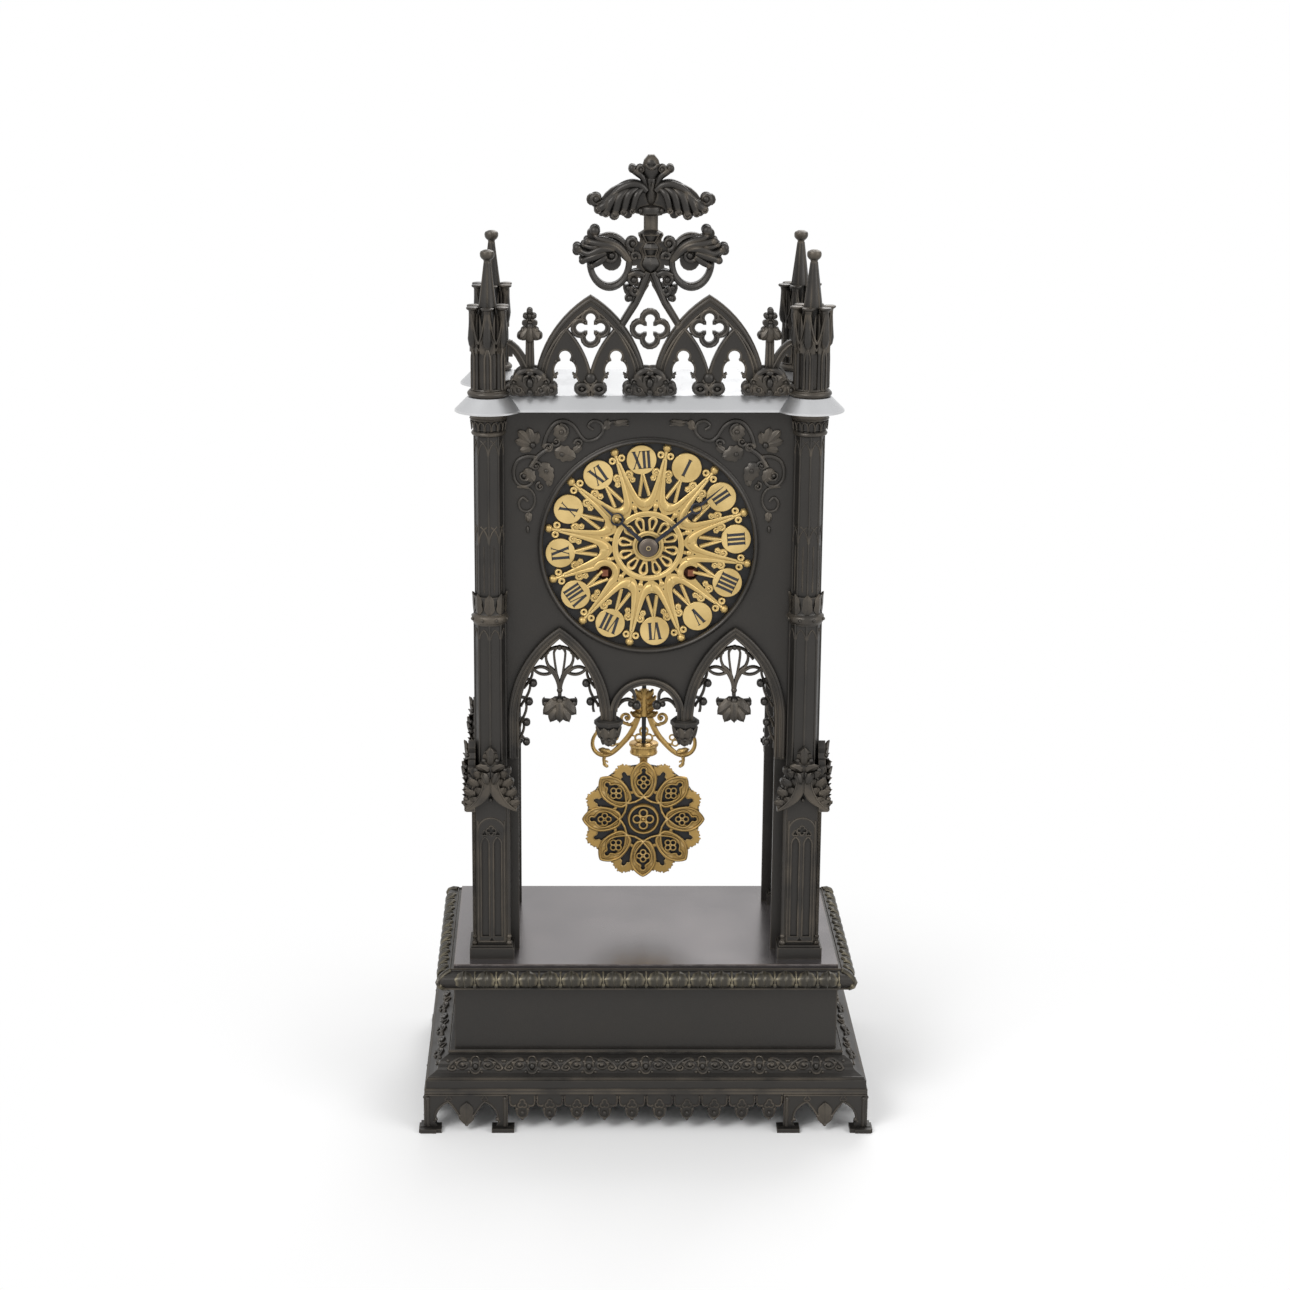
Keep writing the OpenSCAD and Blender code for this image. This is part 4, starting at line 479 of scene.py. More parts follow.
def touch_group() -> bpy.types.NodeTree:
    """The shared group that finds worn edges, hollows for painted shade, and blotches.

    Returns:
        The node group, built once.
    """
    if "touch" in bpy.data.node_groups:
        return bpy.data.node_groups["touch"]
    tree = bpy.data.node_groups.new("touch", "ShaderNodeTree")
    for label, value in (("Edge Size", 0.0012), ("Hollow Size", 0.005), ("Blotch Scale", 60.0),
                         ("Grain Scale", 900.0)):
        made = tree.interface.new_socket(label, in_out="INPUT", socket_type="NodeSocketFloat")
        made.default_value = value
    for label in ("Edge", "Hollow", "Blotch", "Grain"):
        tree.interface.new_socket(label, in_out="OUTPUT", socket_type="NodeSocketFloat")
    nodes, links = tree.nodes, tree.links
    ins = nodes.new("NodeGroupInput")
    outs = nodes.new("NodeGroupOutput")
    place = nodes.new("ShaderNodeTexCoord")

    def noise(scale: str, detail: float) -> bpy.types.Node:
        """A noise texture on object coordinates with its scale from the group's input."""
        node = nodes.new("ShaderNodeTexNoise")
        node.inputs["Detail"].default_value = detail
        links.new(place.outputs["Object"], node.inputs["Vector"])
        links.new(ins.outputs[scale], node.inputs["Scale"])
        return node

    def shaded(size: str, inside: bool, span: Tuple[float, float]) -> bpy.types.Node:
        """A local occlusion mask over a range, 1 where the surface is most shut in."""
        node = nodes.new("ShaderNodeAmbientOcclusion")
        node.inside = inside
        node.only_local = not inside
        node.samples = MASK_RAYS
        links.new(ins.outputs[size], node.inputs["Distance"])
        ramp = nodes.new("ShaderNodeMapRange")
        ramp.inputs["From Min"].default_value = span[1]
        ramp.inputs["From Max"].default_value = span[0]
        links.new(node.outputs["AO"], ramp.inputs["Value"])
        return ramp

    blotch = noise("Blotch Scale", 4.0)
    grain = noise("Grain Scale", 3.0)
    edge = shaded("Edge Size", True, EDGE_RANGE)
    # Hollow is 1 where local occlusion shuts the surface in; the finishes darken it there as painted
    # shade.
    hollow = shaded("Hollow Size", False, HOLLOW_RANGE)
    broken = nodes.new("ShaderNodeMapRange")
    broken.inputs["From Min"].default_value = BROKEN_RANGE[0]
    broken.inputs["From Max"].default_value = BROKEN_RANGE[1]
    links.new(blotch.outputs["Fac"], broken.inputs["Value"])
    worn = nodes.new("ShaderNodeMath")
    worn.operation = "MULTIPLY"
    links.new(edge.outputs["Result"], worn.inputs[0])
    links.new(broken.outputs["Result"], worn.inputs[1])
    links.new(worn.outputs["Value"], outs.inputs["Edge"])
    links.new(hollow.outputs["Result"], outs.inputs["Hollow"])
    links.new(blotch.outputs["Fac"], outs.inputs["Blotch"])
    links.new(grain.outputs["Fac"], outs.inputs["Grain"])
    return tree


@dataclass(frozen=True)
class Finish:
    """A metal or painted finish with worn edges, painted shade in its hollows and a cast or brushed
    skin.
    """

    name: str
    slot: str
    base: Tuple[float, float, float]
    worn: Tuple[float, float, float]
    # Colour of the painted shade laid into hollows.
    hollow_shade: Tuple[float, float, float]
    metal: float = 0.9
    rough: Tuple[float, float] = (0.34, 0.56)
    wear: float = 0.8
    # How far the hollows go to the painted shade colour.
    shade_amount: float = 0.75
    edge_size: float = 0.0012
    hollow_size: float = 0.005
    blotch: float = 60.0
    grain: float = 900.0
    bump: float = 0.12
    patch: float = 0.35

    def material(self) -> bpy.types.Material:
        """The material of this finish, built once."""
        if self.name in bpy.data.materials:
            return bpy.data.materials[self.name]
        made = bpy.data.materials.new(self.name)
        made.use_nodes = True
        nodes, links = made.node_tree.nodes, made.node_tree.links
        shader = nodes["Principled BSDF"]
        shader.inputs["Metallic"].default_value = self.metal
        touch = nodes.new("ShaderNodeGroup")
        touch.node_tree = touch_group()
        for label, value in (("Edge Size", self.edge_size), ("Hollow Size", self.hollow_size),
                             ("Blotch Scale", self.blotch), ("Grain Scale", self.grain)):
            touch.inputs[label].default_value = value

        def scaled(source: bpy.types.NodeSocket, factor: float) -> bpy.types.NodeSocket:
            """The socket's value times a factor, kept within 0 and 1."""
            node = nodes.new("ShaderNodeMath")
            node.operation = "MULTIPLY"
            node.use_clamp = True
            node.inputs[1].default_value = factor
            links.new(source, node.inputs[0])
            return node.outputs[0]

        def mixed(amount: bpy.types.NodeSocket, a: object, b: Sequence[float]) -> bpy.types.NodeSocket:
            """Colour a, a socket or a plain colour, going to colour b by an amount."""
            node = nodes.new("ShaderNodeMix")
            node.data_type = "RGBA"
            links.new(amount, node.inputs[0])
            if isinstance(a, bpy.types.NodeSocket):
                links.new(a, node.inputs[6])
            else:
                node.inputs[6].default_value = colour(a)
            node.inputs[7].default_value = colour(b)
            return node.outputs[2]

        half = tuple(b + (w - b) * PATCH_WORN for b, w in zip(self.base, self.worn))
        tone = mixed(scaled(touch.outputs["Blotch"], self.patch * PATCH_GAIN), self.base, half)
        tone = mixed(scaled(touch.outputs["Edge"], self.wear), tone, self.worn)
        # Painted shade: hollows found by local occlusion are darkened towards the shade colour.
        tone = mixed(scaled(touch.outputs["Hollow"], self.shade_amount), tone, self.hollow_shade)
        links.new(tone, shader.inputs["Base Color"])
        rough = nodes.new("ShaderNodeMapRange")
        rough.inputs["To Min"].default_value = self.rough[0]
        rough.inputs["To Max"].default_value = self.rough[1]
        rough.inputs["From Min"].default_value = BLOTCH_RANGE[0]
        rough.inputs["From Max"].default_value = BLOTCH_RANGE[1]
        links.new(touch.outputs["Blotch"], rough.inputs["Value"])
        links.new(rough.outputs["Result"], shader.inputs["Roughness"])
        bump = nodes.new("ShaderNodeBump")
        bump.inputs["Strength"].default_value = self.bump
        bump.inputs["Distance"].default_value = SKIN_HEIGHT
        links.new(touch.outputs["Grain"], bump.inputs["Height"])
        links.new(bump.outputs["Normal"], shader.inputs["Normal"])
        return made

    def dress(self, *nodes: str) -> None:
        """Gives this finish to CAD nodes."""
        for node in nodes:
            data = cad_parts[node].data
            data.materials.clear()
            data.materials.append(self.material())


# The third colour of each finish is the painted shade that darkens its hollows.
BRONZE = Finish("dark_patina", "patinated_bronze", (0.031, 0.029, 0.027), (0.13, 0.108, 0.082),
                (0.006, 0.0057, 0.005), metal=0.6, rough=(0.34, 0.5), patch=0.16, wear=0.6,
                edge_size=0.0009)
RUBBED = Finish("rubbed_ornament", "patinated_bronze", (0.034, 0.031, 0.026), (0.22, 0.19, 0.125),
                (0.006, 0.0057, 0.005), metal=0.6, rough=(0.32, 0.46), patch=0.16, wear=0.8,
                edge_size=0.0009)
PLATE = Finish("base_plate_bronze", "plate_bronze", (0.16, 0.15, 0.154), (0.18, 0.135, 0.11),
               (0.012, 0.008, 0.007), metal=0.75, rough=(0.18, 0.28), blotch=25.0, bump=0.02,
               patch=0.3)
DECK = Finish("rubbed_patina", "deck_bronze", (0.5, 0.505, 0.515), (0.74, 0.74, 0.74),
              (0.04, 0.038, 0.036), metal=0.8, rough=(0.27, 0.38), shade_amount=0.85, bump=0.05)
GILT = Finish("dull_gilding", "gilt", (0.48, 0.335, 0.125), (0.8, 0.6, 0.27), (0.1, 0.055, 0.018),
              metal=0.75, rough=(0.36, 0.5), edge_size=0.0007, hollow_size=0.0016, shade_amount=0.9,
              wear=0.6, grain=1500.0, bump=0.25, patch=0.3)
OLD_GILT = Finish("antique_gilding", "old_gilt", (0.4, 0.25, 0.075), (0.78, 0.56, 0.25),
                  (0.035, 0.017, 0.006), metal=0.85, rough=(0.26, 0.4), edge_size=0.0006,
                  hollow_size=0.0022, shade_amount=0.95, wear=0.7)
BLACK = Finish("blackened_plate", "black_metal", (0.018, 0.018, 0.019), (0.05, 0.048, 0.045),
               (0.007, 0.007, 0.007), metal=0.3, rough=(0.45, 0.62), wear=0.3)
INK = Finish("numeral_black", "black_metal", (0.013, 0.014, 0.018), (0.03, 0.03, 0.035),
             (0.006, 0.006, 0.006), metal=0.0, rough=(0.4, 0.55), wear=0.1, bump=0.02)
BLUED = Finish("blackened_blue", "blued_steel", (0.012, 0.014, 0.022), (0.06, 0.065, 0.085),
               (0.006, 0.006, 0.008), metal=0.6, rough=(0.28, 0.4), wear=0.4, bump=0.03)
BROWN_BRASS = Finish("browned_brass", "hand_brass", (0.075, 0.06, 0.052), (0.22, 0.18, 0.14),
                     (0.02, 0.015, 0.012), metal=0.7, rough=(0.34, 0.5))
BRASS = Finish("lacquered_brass", "brass", (0.55, 0.42, 0.19), (0.78, 0.64, 0.36),
               (0.16, 0.11, 0.05), metal=1.0, rough=(0.22, 0.36), wear=0.4, shade_amount=0.5, blotch=30.0,
               bump=0.03)
STEEL = Finish("worn_steel", "steel", (0.3, 0.3, 0.3), (0.6, 0.6, 0.6), (0.07, 0.06, 0.05),
               metal=1.0, rough=(0.25, 0.45), wear=0.5, shade_amount=0.6)
BELL = Finish("polished_bell", "bell_metal", (0.5, 0.46, 0.36), (0.7, 0.66, 0.55),
              (0.15, 0.13, 0.1), metal=1.0, rough=(0.18, 0.3), wear=0.3, bump=0.02)
RED_STEEL = Finish("winding_square_russet", "steel", (0.15, 0.045, 0.02), (0.26, 0.11, 0.055),
                   (0.03, 0.012, 0.007), metal=0.5)


# Placings

# Swaps x and y, which puts a front drawing onto the side next to it.
SWAPPED = Matrix(((0, 1, 0, 0), (1, 0, 0, 0), (0, 0, 1, 0), (0, 0, 0, 1)))


def around(x: float, y: float, z: float, angle: float = 0.0) -> Matrix:
    """A placing: turned about the upright axis by an angle in degrees, then moved."""
    return Matrix.Translation((x, y, z)) @ Matrix.Rotation(math.radians(angle), 4, "Z")


def facing(at: Solid, x: float = 1, y: float = 1) -> Matrix:
    """A placing at a point, with x and y each kept, 1, or mirrored, -1."""
    return Matrix.Translation(at) @ Matrix.Diagonal((x, y, 1, 1))


def spun(angle: float) -> Matrix:
    """A turn of a front drawing about its own middle, clockwise from the front, in degrees."""
    return Matrix.Rotation(math.radians(angle), 4, "Y")


def mirrored_x(place: Matrix) -> Matrix:
    """The placing mirrored left to right over the clock's middle."""
    return Matrix.Diagonal((-1, 1, 1, 1)) @ place


def set_on(turn: Matrix, points: Iterable[Solid]) -> List[Solid]:
    """The points turned to one side of a column or turret."""
    return [turn @ Vector(p) for p in points]


# Sub-assemblies


@dataclass
class Base:
    """Feet, aprons, mouldings and box of the base."""

    half_x: float = 102.0
    half_y: float = 59.0
    foot_x: float = 117.5
    foot_y: float = 74.5
    foot_h: float = 21.5
    foot_len: float = 44.0
    foot_wall: float = 3.2
    unit: float = 11.2
    scroll: float = 28.4
    scroll_reach: float = 4.0
    slope: float = 12.6
    slope_out: float = 13.3
    slope_in: float = 9.3
    slope_foot: float = 30.65
    slope_rise: float = 8.3
    bulge_out: float = 4.4
    bulge_z: float = 82.3
    bulge_deep: float = 4.1
    bulge_tall: float = 3.65
    pendant: float = 15.2
    apron_end: float = 0.4
    skin: float = 0.6

    def sides(self, reach: float, deep: float) -> List[Tuple[float, Matrix]]:
        """The four faces of a rectangle.

        Args:
            reach: Half its width.
            deep: Half its depth.

        Returns:
            (half length, placing) a face; the placing puts a front drawing onto that face.
        """
        return [(reach, around(0, -deep, 0)), (reach, around(0, deep, 0, 180)),
                (deep, around(reach, 0, 0, 90)), (deep, around(-reach, 0, 0, -90))]

    def leaf_unit(self) -> Casting:
        """One leaf of the upper moulding with the bud beside it, lying over the bulge."""
        unit = Casting()
        bmesh.ops.create_grid(unit.bm, x_segments=10, y_segments=14, size=1.0)
        for v in unit.bm.verts:
            across, t = v.co.x, min(1.0, max(0.0, (v.co.y + 1) / 2))
            a = math.radians(104 - 158 * t)
            outline = math.sin(math.pi * (0.16 + 0.8 * (1 - t))) ** 0.7
            w = self.unit * 0.47 * outline * (1 - 0.14 * (0.5 + 0.5 * math.cos(6 * math.pi * t)))
            lift = 0.25 + 0.85 * (1 - across * across) - 0.55 * max(0.0, 1 - abs(across) * 5)
            y = -(self.bulge_out + (self.bulge_deep + lift) * math.cos(a))
            v.co = Vector((across * w, y, self.bulge_z + (self.bulge_tall + lift) * math.sin(a)))
        between = self.unit / 2
        unit.ball(between, 80.4, 1.15, y=-8.1, tall=1.5)
        stem = [math.radians(a) for a in range(95, -30, -12)]
        unit.bar([(between, -self.bulge_out - 4.4 * math.cos(a), self.bulge_z + 4 * math.sin(a))
                  for a in stem], 0.55, 0.4)
        return unit

    def on_slope(self, points: Sequence[Flat], lift: float) -> List[Solid]:
        """Lays flat points onto the S-shaped slope.

        Args:
            points: The points, their z running along the slope.
            lift: Height above its surface.

        Returns:
            The points in space.
        """
        out = []
        for x, along in points:
            t = along / self.slope
            run = self.slope_out - self.slope_in * (t + 0.16 * math.sin(2 * math.pi * t))
            out.append((x, -(run + lift * 0.7), self.slope_foot + self.slope_rise * t + lift * 0.7))
        return out

    def scroll_unit(self) -> Casting:
        """One pair of scrolls of the sloping band, lying on its S-shaped slope."""
        unit = Casting()
        for side in (1, -1):
            lines = [(coil(6.2, 6.4, 3.9, 0.9, 120, -330), 0.85, 0.5),
                     (bend((4.4, 9.8), (8, 12.6), (12, 10), (13.6, 3.4)), 0.85, 0.6),
                     (coil(11.4, 4.6, 2.3, 0.7, 0, -400, 18), 0.6, 0.4),
                     (bend((2.2, 5.6), (1.6, 9), (3, 11.4), (0.2, 11.8)), 0.6, 0.4),
                     (bend((2.6, 3.4), (1.8, 1.6), (0.8, 1.2), (0, 1.1)), 0.7, 0.5)]
            for line, r0, r1 in lines:
                unit.bar(self.on_slope(sided(line, side), 0.35), r0, r1)
            for x, s, r in ((6.2, 6.4, 1.1), (11.4, 4.6, 0.8), (9.6, 8.4, 1.0), (2.4, 9.2, 1.0),
                            (13.6, 9.6, 0.9), (3.2, 1.9, 0.8)):
                p = self.on_slope([(side * x, s)], 0.3)[0]
                unit.ball(p[0], p[2], r, y=p[1], facets=10)
        p = self.on_slope([(0, 5.2)], 0.2)[0]
        unit.ball(p[0], p[2], 1.5, y=p[1], tall=1.4, facets=10)
        return unit

    def mouldings(self) -> None:
        """Leaves, scrolls and rims of the two mouldings."""
        leaves, scrolls, rims = Casting(), Casting(), Casting()
        leaf, scroll = self.leaf_unit().done(), self.scroll_unit().done()
        for reach, face in self.sides(self.half_x, self.half_y):
            count = round(2 * reach / self.unit)
            step = 2 * reach / count
            leaves.stamp(leaf, [face @ Matrix.Translation((-reach + step * (i + 0.5), 0, 0))
                                for i in range(count)])
            reach += self.scroll_reach
            count = max(round(2 * reach / self.scroll), 1)
            step = 2 * reach / count
            wide = Matrix.Diagonal((step / self.scroll, 1, 1, 1))
            scrolls.stamp(scroll, [face @ Matrix.Translation((-reach + step * (i + 0.5), 0, 0)) @ wide
                                   for i in range(count)])
        for x in (-1, 1):
            for y in (-1, 1):
                fold = ((2.4, 86.6), (5, 86), (7.6, 84.2), (8.6, 82.2), (7.8, 79.6), (5.6, 77.6))
                leaves.bar([(x * (self.half_x + out), y * (self.half_y + out), z)
                            for out, z in fold], 1.3, 1.0)
                leaves.ball(x * (self.half_x + 7.4), 80, 1.5, y=y * (self.half_y + 7.4))
        for out, z, r in ((15.6, 22.0, 0.5), (15.4, 24.0, 0.5), (14.1, 29.4, 0.5),
                          (3.2, 40.6, 0.45), (5.2, 77.3, 0.5), (2.0, 87.2, 0.4)):
            x, y = self.half_x + out, self.half_y + out
            rims.bar([(-x, -y, z), (x, -y, z), (x, y, z), (-x, y, z)], r, closed=True)
        leaves.piece("leaf_moulding_leaves", Body.CASE, RUBBED)
        scrolls.piece("base_scroll_band", Body.CASE, BRONZE)
        rims.piece("base_rims", Body.CASE, BRONZE)

    def aprons(self) -> None:
        """Raised rims and drops on the pendants between the feet."""
        unit = Casting()
        rim = (arc(-4.9, -3.9, 1.9, 170, 320, 8), arc(4.9, -3.9, 1.9, 220, 370, 8),
               arc(0, -9.6, 2.9, 150, 390, 14), foils(0, -4.6, 2.6, 3, 90),
               [(-6.9, 0.2), (-6.9, -3.4)], [(6.9, 0.2), (6.9, -3.4)])
        for i, line in enumerate(rim):
            unit.wire(line, 0.42, y=-0.2, closed=i == 3)
        unit.ball(0, -13, 1.0).ball(0, -9.6, 1.2, y=-0.3)
        unit.ball(-3, -7.6, 0.8).ball(3, -7.6, 0.8)
        drops = Casting()
        for reach, face in self.sides(self.foot_x - self.skin, self.foot_y - self.skin):
            length = 2 * (reach + self.skin - self.foot_len - self.apron_end)
            count = round(length / self.pendant)
            step = length / count
            wide = Matrix.Diagonal((step / self.pendant, 1, 1, 1))
            shifts = [(-length / 2 + step * (i + 0.5), 0, self.foot_h - 1.4) for i in range(count)]
            drops.stamp(unit, [face @ Matrix.Translation(shift) @ wide for shift in shifts])
        drops.piece("apron_rims", Body.CASE, BRONZE)

    def foot_arch(self) -> List[Flat]:
        """Cusped edge of one leg, from its inner side to the middle of the foot."""
        crown = (9.2, self.foot_h - 4.4)
        toe = [(1.2, 5.6), (2.4, 6.8), (2.1, 8.2)]
        rising = bend((2.1, 8.4), (2.4, 12), (5.2, 15.3), crown)
        falling = bend(crown, (12.8, 13.2), (13.8, 10.6), (15.4, 8.6))
        return toe + rising + falling + [(17, 6.4), (self.foot_len / 2 - self.foot_wall, 3.4)]

    def leg_x(self, along: float, far: bool) -> float:
        """Place along the foot of a point measured from the inner side of its near or far leg."""
        if far:
            return self.foot_len - self.foot_wall - along
        return self.foot_wall + along

    def feet(self) -> None:
        """Cusped mouldings, leaves and ribs on the feet."""
        unit = Casting()
        u, h = self.foot_len, self.foot_h
        for far in (False, True):
            post = self.leg_x(-1.6, far)
            unit.wire([(self.leg_x(a, far), b) for a, b in self.foot_arch()], 0.65, y=-0.1)
            unit.wire([(post, 3), (post, h - 3)], 0.8, y=-0.1)
            foil = moved(foils(0, 0, 2.2, 3, 90), self.leg_x(9.2, far), h - 2.5, 0.8)
            unit.wire(foil, 0.35, y=-0.1, closed=True)
            for a, b, r in ((2.4, 6.9, 1.1), (15.2, 8.8, 1.0), (-1.6, h - 2.6, 1.1)):
                unit.ball(self.leg_x(a, far), b, r, y=-0.2)
        unit.leaf((u / 2, 4.2), 90, 12.5, 8.4, y=0.2, curl=0.4, lobes=2, thick=0.6, dome=0.1)
        unit.ball(u / 2, 3.9, 1.0, y=-0.2)
        unit.wire([(0, h - 0.7), (u, h - 0.7)], 0.5, y=-0.1)
        feet = Casting()
        for x in (-1, 1):
            for y in (-1, 1):
                corner = facing((x * self.foot_x, y * self.foot_y, 0), -x, -y)
                feet.stamp(unit, [corner, corner @ SWAPPED])
        feet.piece("foot_mouldings", Body.CASE, BRONZE)

    def build(self) -> None:
        """Dresses the base and adds its ornament."""
        BRONZE.dress("corner_feet", "aprons", "base_moulding", "base_box", "leaf_moulding")
        PLATE.dress("base_plate")
        STEEL.dress("foot_screws", "tie_rods", "tie_nuts")
        self.mouldings()
        self.aprons()
        self.feet()


@dataclass
class Columns:
    """The four corner columns with gablets, shafts and capitals."""

    x: float = 82.0
    y: float = 40.0
    foot: float = 89.2
    height: float = 294.6
    pier: float = 9.1
    shaft: float = 8.1
    upper: float = 7.4
    gablet: float = 84.0
    ring_share: float = 0.64

    def panel_side(self, face: Casting, s: float) -> None:
        """Adds one half of the pier's panel to a face.

        Args:
            face: The casting.
            s: The side, 1 or -1.
        """
        p, g = self.pier, self.gablet
        lancet = moved(gothic(2.2, 4.2, 6), s * 3.3, 63.8)
        face.wire([(s * 3.3 + 2.2, 12)] + lancet + [(s * 3.3 - 2.2, 12)], 0.5, y=-p)
        face.wire([(s * 7.0, 9), (s * 7.0, 77)], 0.55, y=-p)
        face.bar([(s * p, -p, 7.5), (s * p, -p, g + 2)], 1.0)
        face.ball(s * p, 8.4, 1.7, y=-p).ball(s * p, 12, 1.4, y=-p)
        face.wire(foils(s * 3.5, 70, 1.6, 3, 90), 0.35, y=-p, closed=True)

    def gablet_side(self, face: Casting, s: float) -> None:
        """Adds one half of the crocketed gablet to a face.

        Args:
            face: The casting.
            s: The side, 1 or -1.
        """
        g = self.gablet
        low = bend((0.3, g + 10.2), (1.8, g + 5.4), (6.5, g + 1.8), (13.2, g - 0.4))
        high = bend((13.3, g + 0.5), (8.8, g + 3.4), (5.4, g + 7.8), (4.0, g + 14), 10)
        high += [(3.0, g + 20), (0.3, g + 21.4)]
        face.plate([sided(low + high, s)], -13.5, -11.7, 0.3)
        face.wire(sided(high[:-1], s), 0.42, 0.5, y=-13.5)
        spine = bend((13.1, g + 1.2), (11.6, g + 7), (9.4, g + 13), (6.2, g + 19.6))
        face.wire(sided(spine, s), 0.8, 0.7, y=-12.2)
        for a, b, size, turn in ((11.6, g + 3.4, 6.2, 50), (10.4, g + 8.6, 6.6, 56),
                                 (8.4, g + 13.8, 6.6, 62), (6.2, g + 18.4, 6.0, 66),
                                 (8.6, g + 4.6, 5.2, 76), (7.0, g + 9.4, 5.4, 84),
                                 (5.4, g + 14.2, 5.2, 88)):
            face.leaf((s * (a - 1.6), b - 1.4), 90 - s * (90 - turn), size, 4.6, y=-12.0, curl=2.0,
                      lobes=3, droop=s * 1.4, thick=0.45, dome=0.16)
        for a, b in ((13.2, g + 6.6), (12.2, g + 12.2), (10.2, g + 17.6), (7.6, g + 22.4)):
            face.ball(s * a, b, 1.25, y=-13.0)
        face.leaf((s * 1.2, g + 21), 90 - s * 44, 7.4, 4.8, y=-11.6, curl=2.4, lobes=3,
                  droop=s * 1.6, thick=0.5, dome=0.16)
        face.leaf((s * 0.6, g + 25), 90 - s * 24, 7.0, 3.8, y=-11.4, curl=1.8, lobes=2, thick=0.5,
                  dome=0.16)
        face.ball(s * 3.4, g + 27.4, 1.2, y=-12.4)
        face.leaf((s * 1.6, g + 15.4), 90 - s * 24, 6.2, 3.6, y=-13.2, curl=0.8, lobes=2, dome=0.25)

    def face(self) -> Casting:
        """Ornament of one show face: panel, gablet with crockets and flower."""
        p, g = self.pier, self.gablet
        face = Casting()
        for s in (-1, 1):
            self.panel_side(face, s)
            self.gablet_side(face, s)
        face.leaf((0, g + 25), 90, 9.2, 4.6, y=-11.4, curl=1.2, lobes=2)
        face.wire(foils(0, 71.6, 2.6), 0.45, y=-p, closed=True)
        face.wire(arc(0, 71.4, 7.1, 8, 172, 14), 0.5, y=-p)
        face.wire([(-7, 9), (7, 9)], 0.5, y=-p)
        face.ball(0, g + 5.2, 1.2, y=-11)
        return face

    def round_work(self) -> Casting:
        """Ornament that goes round a column: ring, leaf tips, lancets and capital."""
        work = Casting()
        ring = self.height * self.ring_share
        work.lathe([(self.shaft, ring - 5.4), (9.0, ring - 4.6), (9.5, ring - 3.4),
                    (9.5, ring - 1.8), (9.0, ring - 1.0), (8.2, ring - 0.4), (8.2, ring)], steps=40)
        top = self.height
        work.lathe([(7.6, top - 12.6), (8.6, top - 12.0), (8.9, top - 11.2), (8.5, top - 10.4),
                    (7.9, top - 10)], steps=40)
        work.lathe([(8.9, top - 4.6), (9.7, top - 3.6), (9.3, top - 2.8), (9.8, top - 1.6),
                    (9.8, top)], steps=40)
        for i in range(8):
            turn = around(0, 0, 0, i * 45)
            work.leaf((0, ring + 0.2), 90, 10.6, 5.4, y=-7.3, curl=0.6, lobes=2, thick=0.6,
                      dome=0.12, place=turn)
            a = math.radians(i * 45 + 22.5)
            flat = self.upper * math.cos(math.radians(22.5))
            side = Matrix.Rotation(a + math.pi / 2, 4, "Z")
            for z, rise in ((top - 22, 7.5), (top - 68, 8.5)):
                for s in (-1, 1):
                    line = sided(bend((2.6, z), (2.5, z + rise * 0.5), (0.6, z + rise * 0.8),
                                      (-1.8, z + rise)), s)
                    work.bar(set_on(side, [(x, -flat - 0.05, h) for x, h in line]), 0.42, 0.3, sides=1)
            work.bar(set_on(side, [(0, -flat, ring + 12), (0, -flat, top - 70)]), 0.35, sides=1)
            low = self.shaft * math.cos(math.radians(22.5))
            tip = moved(gothic(2.5, 5, 6), 0, ring - 13)
            work.bar(set_on(side, [(x, -low - 0.05, h) for x, h in tip]), 0.4, sides=1)
            work.ball(9.6 * math.cos(a), ring - 2.6, 0.95, y=9.6 * math.sin(a), facets=8)
        for i in range(16):
            side = Matrix.Rotation(math.radians(i * 22.5) + math.pi / 2, 4, "Z")
            arch = [(1.5, top - 9.4)] + moved(gothic(1.5, 2.4, 4), 0, top - 7.2) + [(-1.5, top - 9.4)]
            work.bar(set_on(side, [(x, -8.5 - (h - top + 9.4) * 0.12, h) for x, h in arch]), 0.32,
                     sides=1)
        return work

    def build(self) -> None:
        """Dresses the columns and adds their ornament."""
        BRONZE.dress("column_front_left", "column_front_right", "column_back_left", "column_back_right")
        face, work = self.face().done(), self.round_work().done()
        for name, i, j in (("front_left", -1, -1), ("front_right", 1, -1), ("back_left", -1, 1),
                           ("back_right", 1, 1)):
            place = facing((i * self.x, j * self.y, self.foot), -i, -j)
            column = Casting()
            column.stamp(face, [place, place @ SWAPPED])
            column.stamp(work, [place])
            column.piece(f"column_ornament_{name}", Body.CASE, BRONZE)


